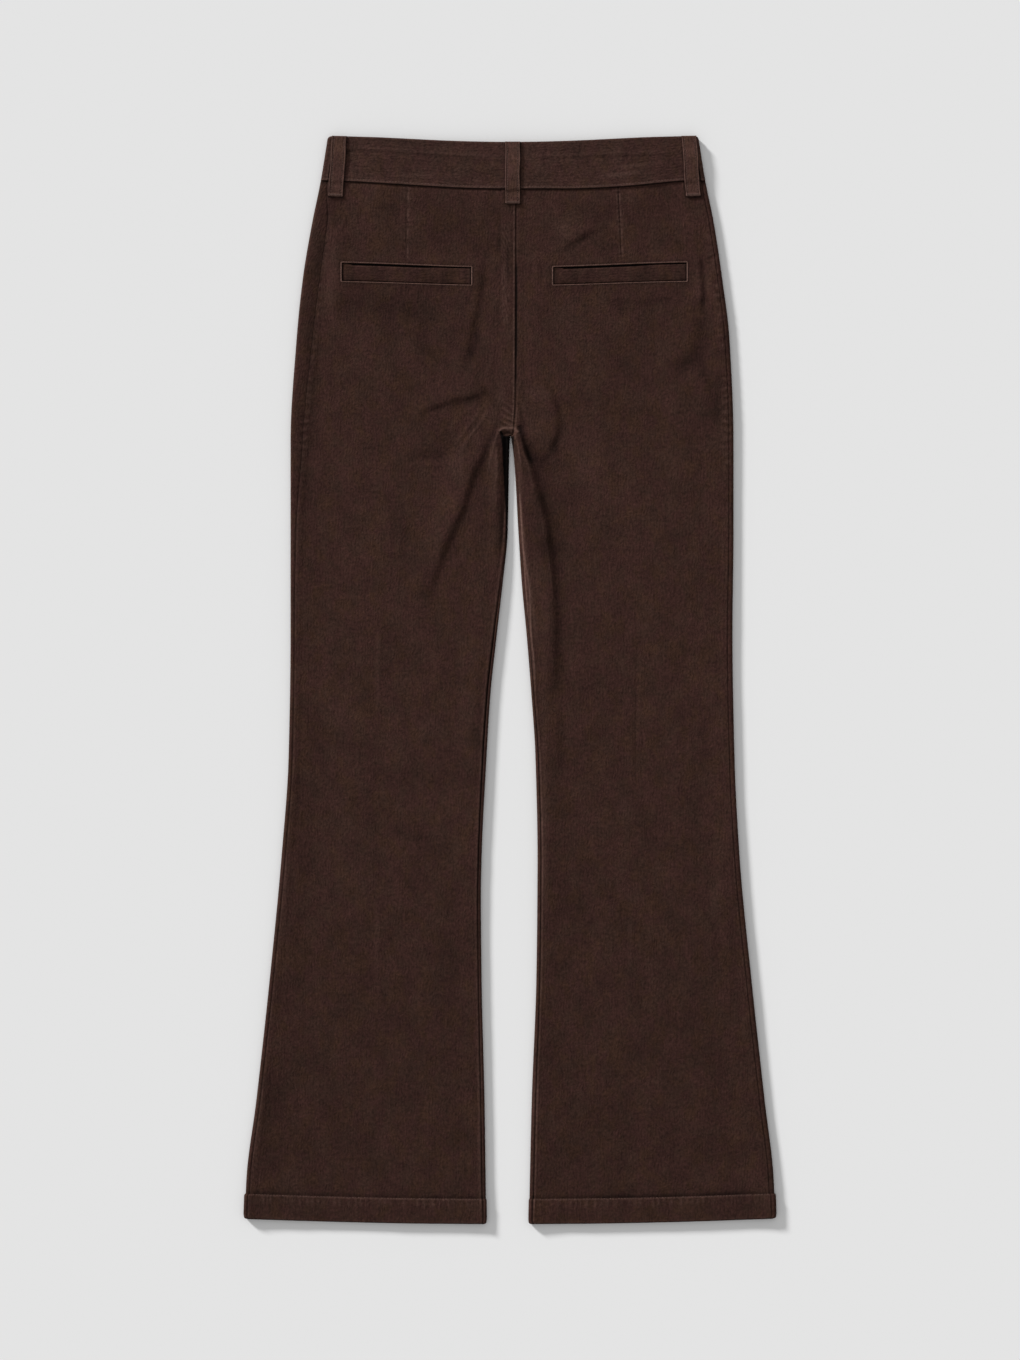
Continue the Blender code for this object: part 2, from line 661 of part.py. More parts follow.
LOOP_ROWS = (
    LoopRow(level=LOOP_FOOT, rise=0.0),
    LoopRow(level=LOOP_FOOT + 5, rise=0.1),
    LoopRow(level=BAND_FOOT + 2, rise=0.2),
    LoopRow(level=1040, rise=0.9),
    LoopRow(level=1052, rise=1.0),
    LoopRow(level=1063, rise=0.5),
    LoopRow(level=LENGTH, rise=0.1),
)
LOOP_COLUMNS = (
    LoopColumn(share=-0.5, thin=0.4),
    LoopColumn(share=-0.46, thin=0.0),
    LoopColumn(share=0.0, thin=0.0),
    LoopColumn(share=0.46, thin=0.0),
    LoopColumn(share=0.5, thin=0.4),
)


def loop_rows(loop, bow, height_at):
    """Rows of a belt loop that bows up by bow over height_at(side, out, level), its lower face."""
    side = SIDES[0] if loop.side == LEFT else SIDES[1]
    rows = []
    for step in LOOP_ROWS:
        middle = mix(loop.foot_out, loop.top_out, ramp(step.level, LOOP_FOOT, LENGTH))
        low = height_at(side, middle, step.level) + step.rise * bow
        end = LOOP_END_THIN if step.level in (LOOP_FOOT, LENGTH) else 0.0
        row = []
        for column in LOOP_COLUMNS:
            out = middle + column.share * LOOP_WIDTH
            thin = max(column.thin, end)
            top = place(side, out, step.level, low + LOOP_THICK - thin)
            row.append((top, place(side, out, step.level, low + thin)))
        rows.append(row)
    return rows


def over_back(side, out, level):
    """The lower face of a loop that lies over the panel and the waistband of the back."""
    reach = (out - LOOP_WIDTH / 2, out, out + LOOP_WIDTH / 2)
    near_levels = (level, min(level + LOOP_REACH, LENGTH)) if level < BAND_FOOT else (level,)
    return SEAM + max(back_height(side, x, near) for x in reach for near in near_levels)


def on_the_ground(side, out, level):
    """The lower face of a loop that the front lies on."""
    return 0.0


def belt_loops():
    for loop in BACK_LOOPS:
        wall(loop.name, loop_rows(loop, LOOP_BOW, over_back), CORD_LIGHT)
    for loop in FRONT_LOOPS:
        wall(loop.name, loop_rows(loop, 0.0, on_the_ground), CORD_LIGHT)


# --- fly and fastening -----------------------------------------------------------------------------

SHIELD_ROWS = (
    ShieldRow(level=FLY_FOOT, width_share=0.3),
    ShieldRow(level=FLY_FOOT + 5, width_share=0.75),
    ShieldRow(level=FLY_FOOT + 15, width_share=1.0),
    ShieldRow(level=LIFT_START_LEVEL, width_share=1.0),
    ShieldRow(level=ZIP_TOP, width_share=1.0),
)


def strip(name, shape, height, thick, colour, metallic=0.0, roughness=0.9):
    """A flat strip behind the fly. shape has rows of (level, half width), height is above the ground."""
    side = SIDES[1]
    rows = []
    for level, half in shape:
        row = []
        for share in STRIP_SHARES:
            out = CENTRE_FRONT + share * half
            low = lift(out, level) + height
            row.append((place(side, out, level, low + thick), place(side, out, level, low)))
        rows.append(row)
    return wall(name, rows, colour, None, metallic, roughness)


def fly():
    """The shield behind the fly, the zip between it and the front, and the zip's slider at the top."""
    zip_height = CLOTH + SEAM
    shield_height = zip_height + ZIP_THICK + SEAM
    shield = [(row.level, FLY_HALF_WIDTH * row.width_share) for row in SHIELD_ROWS]
    strip("fly_shield", shield, shield_height, SHIELD_THICK, CORD_DARK)
    zip_levels = (FLY_FOOT + ZIP_ABOVE_FOOT, LIFT_START_LEVEL, ZIP_TOP - SEAM)
    tape = [(level, ZIP_HALF_WIDTH) for level in zip_levels]
    strip("zip", tape, zip_height, ZIP_THICK, CORD_DARK)


def zip_slider():
    """The zip's slider, a small block with round corners just above the tape's end."""
    middle = CENTRE_FRONT * MILLIMETRE
    foot = (ZIP_TOP + SEAM - LENGTH / 2 - WAIST_DIP) * MILLIMETRE
    low = (LIFT + CLOTH + SEAM) * MILLIMETRE
    size = [MILLIMETRE * value for value in (SLIDER_WIDTH, SLIDER_LENGTH, SLIDER_THICK)]
    bm = bmesh.new()
    bmesh.ops.create_cube(bm, size=1)
    bmesh.ops.scale(bm, vec=size, verts=bm.verts)
    bmesh.ops.translate(bm, vec=(middle, foot + size[1] / 2, low + size[2] / 2), verts=bm.verts)
    upright = [e for e in bm.edges if abs(e.verts[0].co.z - e.verts[1].co.z) > size[2] / 2]
    corner = SLIDER_CORNER * MILLIMETRE
    bmesh.ops.bevel(bm, geom=upright, offset=corner, segments=2, profile=0.5, affect="EDGES")
    mesh = bpy.data.meshes.new("zip_slider")
    bm.to_mesh(mesh)
    bm.free()
    finish("zip_slider", mesh, METAL, 1.0, 0.4)


def button():
    """A sew-through button with a raised rim and four holes, its face on the ground."""
    middle = (
        CENTRE_FRONT * MILLIMETRE,
        (BUTTON_LEVEL - LENGTH / 2 - WAIST_DIP) * MILLIMETRE,
        0.0,
    )
    well = BUTTON_RADIUS - BUTTON_RIM
    profile = (
        (0.0, BUTTON_WELL),
        (well - BUTTON_WELL_SLOPE, BUTTON_WELL),
        (well, 0.0),
        (BUTTON_RADIUS - BUTTON_FACE_CORNER, 0.0),
        (BUTTON_RADIUS, BUTTON_FACE_CORNER),
        (BUTTON_RADIUS, BUTTON_THICK - BUTTON_BACK_CORNER),
        (BUTTON_RADIUS - BUTTON_BACK_CORNER, BUTTON_THICK),
        (0.0, BUTTON_THICK),
    )
    bm = bmesh.new()
    points = [bm.verts.new((r * MILLIMETRE, 0, z * MILLIMETRE)) for r, z in profile]
    edges = [bm.edges.new(pair) for pair in zip(points, points[1:])]
    bmesh.ops.spin(bm, geom=points + edges, axis=(0, 0, 1), angle=math.tau, steps=BUTTON_SIDES)
    bmesh.ops.remove_doubles(bm, verts=bm.verts, dist=0.00001)
    bmesh.ops.translate(bm, vec=middle, verts=bm.verts)
    bmesh.ops.recalc_face_normals(bm, faces=bm.faces)
    mesh = bpy.data.meshes.new("button")
    bm.to_mesh(mesh)
    bm.free()
    disc = finish("button", mesh, HORN, 0.0, 0.35)
    for side in (-1, 1):
        for end in (-1, 1):
            bpy.ops.mesh.primitive_cylinder_add(
                vertices=BUTTON_HOLE_SIDES,
                radius=BUTTON_HOLE_RADIUS * MILLIMETRE,
                depth=4 * BUTTON_THICK * MILLIMETRE,
                location=(
                    middle[0] + side * BUTTON_HOLE_SPREAD * MILLIMETRE,
                    middle[1] + end * BUTTON_HOLE_SPREAD * MILLIMETRE,
                    0.0,
                ),
            )
            drill = bpy.context.object
            drill.name = "drill"
            drill.hide_render = True
            drill.display_type = "WIRE"
            cut = disc.modifiers.new("hole", "BOOLEAN")
            cut.operation = "DIFFERENCE"
            cut.object = drill


def main():
    for thing in list(bpy.data.objects):
        bpy.data.objects.remove(thing)
    for side in SIDES:
        back_panel(side)
        front_panel(side)
        welt(side)
    waistband_back()
    waistband_fronts()
    belt_loops()
    fly()
    zip_slider()
    button()


main()
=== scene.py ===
"""Flared needlecord trousers laid flat with the back up: the looks of every piece, and the studio.

The loaded frame gives the solids. Each piece of cloth is remade here as a thin shell on its solid's form,
with its folds, seams, puckers and stitching, and takes a needlecord finish with the ribs in its own grain.

+Z is up, the waist is towards +Y, and left and right are the wearer's, so left is towards -X. Sizes are in
millimetres until a mesh is made. A level is a height above the hems along the laid garment. "Out" is a
distance from the centre line towards a leg's own side. A lap is a distance along the cloth from the
outermost line of a rounded edge, positive on the upper side. An inset is the same distance seen from above.
"""

import logging
import math
from collections.abc import Sequence
from dataclasses import dataclass, field
from enum import Enum
from functools import reduce

import bpy
import numpy as np
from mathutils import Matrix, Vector


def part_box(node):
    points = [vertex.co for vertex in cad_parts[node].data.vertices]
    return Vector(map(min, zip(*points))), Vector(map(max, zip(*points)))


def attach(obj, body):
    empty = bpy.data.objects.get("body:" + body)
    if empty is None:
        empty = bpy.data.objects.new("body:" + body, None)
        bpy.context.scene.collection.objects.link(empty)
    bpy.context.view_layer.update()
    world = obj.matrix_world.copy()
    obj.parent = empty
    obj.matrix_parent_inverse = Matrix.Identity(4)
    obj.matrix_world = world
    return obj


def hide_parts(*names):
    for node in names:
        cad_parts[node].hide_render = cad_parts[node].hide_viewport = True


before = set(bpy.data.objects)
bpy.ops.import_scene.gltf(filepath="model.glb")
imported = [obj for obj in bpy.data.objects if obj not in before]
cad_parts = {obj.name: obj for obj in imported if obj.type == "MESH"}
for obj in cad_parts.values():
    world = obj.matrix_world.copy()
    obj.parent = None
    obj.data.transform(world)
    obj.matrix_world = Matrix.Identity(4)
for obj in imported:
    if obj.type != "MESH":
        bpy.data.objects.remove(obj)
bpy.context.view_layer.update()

BODY = "root"
MILLIMETRE = 0.001

Array = np.ndarray
Object = bpy.types.Object
Material = bpy.types.Material
NodeTree = bpy.types.NodeTree
Socket = bpy.types.NodeSocket
Colour = tuple[float, float, float]
Point = tuple[float, float]
Inputs = dict[str | int, object]

log = logging.getLogger("trousers")


# --- numbers ---------------------------------------------------------------------------------------


def ramp(value: Array, start: float, end: float) -> Array:
    """0 at start and 1 at end, straight between."""
    return np.clip((value - start) / (end - start), 0.0, 1.0)


def smooth(value: Array, start: float, end: float) -> Array:
    """0 at start and 1 at end, level at both."""
    t = ramp(value, start, end)
    return t * t * (3 - 2 * t)


def mix(a: Array, b: Array, share: Array) -> Array:
    """Straight from a to b."""
    return a + (b - a) * share


def bell(value: Array, width: float) -> Array:
    """1 at 0, dying away on both sides over about twice the width."""
    return np.exp(-((value / width) ** 2))


def plateau(value: Array, start: float, end: float, soft: float) -> Array:
    """1 between start and end, with soft shoulders outside them."""
    return smooth(value, start - soft, start) * (1 - smooth(value, end, end + soft))


def drawn_in(distance: Array, radius: float) -> Array:
    """How far a rounded end has drawn in: 1 at the end itself and 0 beyond its radius."""
    return 1 - np.sqrt(1 - (1 - ramp(distance, 0, radius)) ** 2)


def ripple(place: Array, pitch: float, shift: Array = 0.0) -> Array:
    """A wave of -1 to 1 at a pitch, its phase shifted."""
    return np.sin(2 * math.pi * place / pitch + shift)


def grain_map(across: Array, along: Array) -> Array:
    """How far each point lies across the ribs and along them, in metres."""
    return np.stack(np.broadcast_arrays(across, along), -1) * MILLIMETRE


def stations(*spans: tuple[float, float, float]) -> Array:
    """Numbers along spans that follow on from each other.

    Args:
        spans: the start, the end and the step of each span.

    Returns:
        All the numbers in order, each one once.
    """
    parts = []
    for start, end, step in spans:
        count = max(1, round(abs(end - start) / step))
        parts.append(np.linspace(start, end, count + 1)[:-1])
    parts.append(np.array([spans[-1][1]]))
    return np.concatenate(parts)


class Profile:
    """A smooth line through (level, value) rows that doesn't overshoot them."""

    def __init__(self, levels: Sequence[float], values: Sequence[float]) -> None:
        """Work out the line's slope at each row.

        Args:
            levels: the rows' levels, rising.
            values: the rows' values.
        """
        self.levels = np.array(levels, float)
        self.values = np.array(values, float)
        slopes = np.diff(self.values) / np.diff(self.levels)
        before, after = slopes[:-1], slopes[1:]
        total = np.where(before * after > 0, before + after, 1.0)
        inner = np.where(before * after > 0, 2 * before * after / total, 0.0)
        self.slopes = np.concatenate([slopes[:1], inner, slopes[-1:]])

    def __call__(self, level: Array) -> Array:
        """The line's value at each level."""
        level = np.clip(level, self.levels[0], self.levels[-1])
        i = np.clip(np.searchsorted(self.levels, level, side="right") - 1, 0, len(self.levels) - 2)
        span = self.levels[i + 1] - self.levels[i]
        t = (level - self.levels[i]) / span
        base = mix(self.values[i], self.values[i + 1], t * t * (3 - 2 * t))
        start_bend = span * self.slopes[i] * t * (1 - t) ** 2
        end_bend = span * self.slopes[i + 1] * t * t * (t - 1)
        return base + start_bend + end_bend


class Unevenness:
    """Smooth bumps of about -1 to 1 at a chosen spacing, the same on every run."""

    LATTICE = 64

    def __init__(self, seed: int, across: float, along: float) -> None:
        """Draw the lattice that the bumps run through.

        Args:
            seed: which draw to use.
            across: spacing of the bumps over x.
            along: spacing of the bumps over the level.
        """
        self.values = np.random.RandomState(seed).uniform(-1, 1, (self.LATTICE, self.LATTICE))
        self.across, self.along = across, along

    def __call__(self, x: Array, level: Array) -> Array:
        """The unevenness at each point."""
        u, v = x / self.across, level / self.along
        i, j = np.floor(u).astype(int), np.floor(v).astype(int)
        s, t = u - i, v - j
        s, t = s * s * (3 - 2 * s), t * t * (3 - 2 * t)
        size = self.LATTICE
        low = mix(self.values[i % size, j % size], self.values[(i + 1) % size, j % size], s)
        high = mix(self.values[i % size, (j + 1) % size], self.values[(i + 1) % size, (j + 1) % size], s)
        return mix(low, high, t)


# --- the garment's sizes ---------------------------------------------------------------------------


@dataclass(frozen=True)
class Edge:
    """One row of a leg's outline: how far out the edge lies, and the lap of the seam beside it."""

    level: float
    out: float
    lap: float


def outline(*rows: tuple[float, float, float]) -> tuple[Edge, ...]:
    """A leg's outline from rows of level, out and lap."""
    return tuple(Edge(*row) for row in rows)


@dataclass(frozen=True)
class Sizes:
    """Driving sizes of the laid trousers."""

    length: float = 1070.0
    crotch: float = 776.0
    band_foot: float = 1026.0
    cloth: float = 1.2
    band_cloth: float = 1.8
    hem_cloth: float = 2.0
    hem_depth: float = 24.4
    hem_step: float = 1.5
    seam: float = 0.24
    roll: float = 2.6
    band_roll: float = 2.8
    sag: float = 0.9
    waist_dip: float = 6.3
    half_waist: float = 196.0
    centre_front: float = 1.0
    lift: float = 2.2
    corner: float = 3.2
    pocket_foot: float = 927.3
    pocket_top: float = 945.8
    loop_width: float = 14.7
    loop_thick: float = 1.2
    loop_bow: float = 0.45
    loop_foot: float = 1010.5


SIZES = Sizes()


@dataclass
class Leg:
    """One side of the trousers, with its outlines, seams, pocket and dart."""

    name: str
    side: int
    outer: tuple[Edge, ...]
    inner: tuple[Edge, ...]
    pocket_near: float
    pocket_far: float
    dart_top: float
    dart_foot: float
    hem_rise: float
    outer_line: Profile = field(init=False)
    side_lap: Profile = field(init=False)
    inner_line: Profile = field(init=False)
    inseam_lap: Profile = field(init=False)

    def __post_init__(self) -> None:
        """Draw smooth lines through the outlines' rows."""
        self.outer_line = Profile([e.level for e in self.outer], [e.out for e in self.outer])
        self.side_lap = Profile([e.level for e in self.outer], [e.lap for e in self.outer])
        self.inner_line = Profile([e.level for e in self.inner], [e.out for e in self.inner])
        self.inseam_lap = Profile([e.level for e in self.inner], [e.lap for e in self.inner])

    def dart(self, level: Array) -> Array:
        """How far out the dart's seam lies."""
        return mix(self.dart_foot, self.dart_top, ramp(level, SIZES.pocket_top, SIZES.band_foot))


LEFT_LEG = Leg(
    name="left",
    side=-1,
    outer=outline(
        (0, 260.9, 5.5), (40, 259.3, 5.5), (120, 249.7, 5.5), (240, 236.5, 5.5), (360, 224.9, 5.5),
        (460, 217.8, 5.5), (580, 215.9, 5.5), (680, 215.9, 7), (770, 215.9, 13.3), (870, 210, 17),
        (930, 203.8, 18), (985, 194.6, 16.5), (1025, 186.4, 8.5), (1070, 179.1, 8.5),
    ),
    inner=outline(
        (0, 23.4, 5), (120, 25, 5), (240, 27.9, 4.5), (320, 28.6, 4.5), (360, 27.9, 4.5), (460, 23, 5),
        (520, 19.3, 4.8), (580, 12.9, 4.5), (630, 7.2, 3.8), (680, 2.3, 3), (750, 0.9, 2), (770, 0.3, 0.8),
        (776, -0.35, 0.1),
    ),
    pocket_near=37.8,
    pocket_far=165.6,
    dart_top=100.3,
    dart_foot=101.3,
    hem_rise=5.1,
)

RIGHT_LEG = Leg(
    name="right",
    side=1,
    outer=outline(
        (0, 260.9, 6.5), (40, 259.4, 6.5), (120, 250.7, 6.5), (240, 237.6, 6.5), (360, 226, 6.5),
        (460, 220.9, 6.5), (580, 218.9, 6.5), (680, 219.9, 6), (770, 219.9, 6), (870, 216, 6),
        (930, 208.8, 6), (985, 200.5, 6), (1025, 192.4, 6), (1070, 185.2, 6),
    ),
    inner=outline(
        (0, 18.6, 5.5), (120, 21.3, 5.5), (240, 25.9, 5), (320, 26.9, 5), (360, 27.1, 5), (460, 25, 4.5),
        (520, 21.1, 4), (580, 16.3, 4), (630, 11.6, 4), (680, 8.3, 4), (750, 4.2, 2.5), (770, 1.7, 0.8),
        (776, 0.65, 0.1),
    ),
    pocket_near=42.3,
    pocket_far=174.0,
    dart_top=106.2,
    dart_foot=109.6,
    hem_rise=5.4,
)

CENTRE_BACK = Profile([776.0, 783.0, 792.0, 806.0, 1070.0], [2.4, 3.2, 3.9, 4.9, 5.6])
# How far the seam under the waistband dips below the waist's own curve.
SEAM_DIP = Profile(
    [-182.0, -152.0, -130.0, -80.0, -40.0, 0.0, 35.0, 60.0, 90.0, 118.0, 147.0, 165.0, 185.0],
    [0.0, 0.6, 1.2, 1.9, 2.4, 2.3, 2.7, 3.6, 3.9, 3.5, 1.7, 0.4, 0.0],
)


# --- folds -----------------------------------------------------------------------------------------


@dataclass(frozen=True)
class Crease:
    """One fold of the cloth, a ridge or, where its height is negative, a trough.

    Its path runs through (x, level) points. To the left of the path, as it runs, the fold is as wide as
    left says, and to the right as right says. It rises and dies away over the first and last shares. It can
    also paint its crest lighter, as worn nap and as painted highlight, and itself darker, as painted shade.
    """

    height: float
    left: float
    right: float
    path: tuple[Point, ...]
    start: float = 0.3
    end: float = 0.3
    wear_and_highlight: float = 0.0
    painted_shade: float = 0.0

    STEPS = 7

    def line(self) -> Array:
        """The path as a smooth line of short runs."""
        points = np.array(self.path, float)
        if len(points) == 2:
            return points
        padded = np.vstack([2 * points[0] - points[1], points, 2 * points[-1] - points[-2]])
        pieces = []
        for a, b, c, d in zip(padded, padded[1:], padded[2:], padded[3:]):
            t = np.linspace(0, 1, self.STEPS, endpoint=False)[:, None]
            bend = (2 * a - 5 * b + 4 * c - d) * t**2 + (3 * b - a - 3 * c + d) * t**3
            pieces.append(0.5 * (2 * b + (c - a) * t + bend))
        return np.vstack([*pieces, points[-1:]])

    def profile(self, x: Array, level: Array) -> Array:
        """How much of the fold there is at each point, from 0 to 1."""
        line = self.line()
        reach = 2.6 * max(self.left, self.right)
        low, high = line.min(0) - reach, line.max(0) + reach
        near = (x > low[0]) & (x < high[0]) & (level > low[1]) & (level < high[1])
        share = np.zeros(np.shape(x))
        if not near.any():
            return share
        px, py = x[near][:, None], level[near][:, None]
        start, run = line[:-1], np.diff(line, axis=0)
        lengths = np.hypot(run[:, 0], run[:, 1])
        t = ((px - start[:, 0]) * run[:, 0] + (py - start[:, 1]) * run[:, 1]) / lengths**2
        t = np.clip(t, 0, 1)
        dx, dy = px - start[:, 0] - t * run[:, 0], py - start[:, 1] - t * run[:, 1]
        away = np.hypot(dx, dy)
        nearest = away.argmin(1)
        pick = np.arange(len(nearest)), nearest
        on_left = (run[nearest, 0] * dy[pick] - run[nearest, 1] * dx[pick]) > 0
        along = (np.cumsum(lengths) - lengths)[nearest] + t[pick] * lengths[nearest]
        along /= lengths.sum()
        fade = smooth(along, 0.0, self.start) * smooth(1 - along, 0.0, self.end)
        share[near] = fade * bell(away[pick], np.where(on_left, self.left, self.right))
        return share
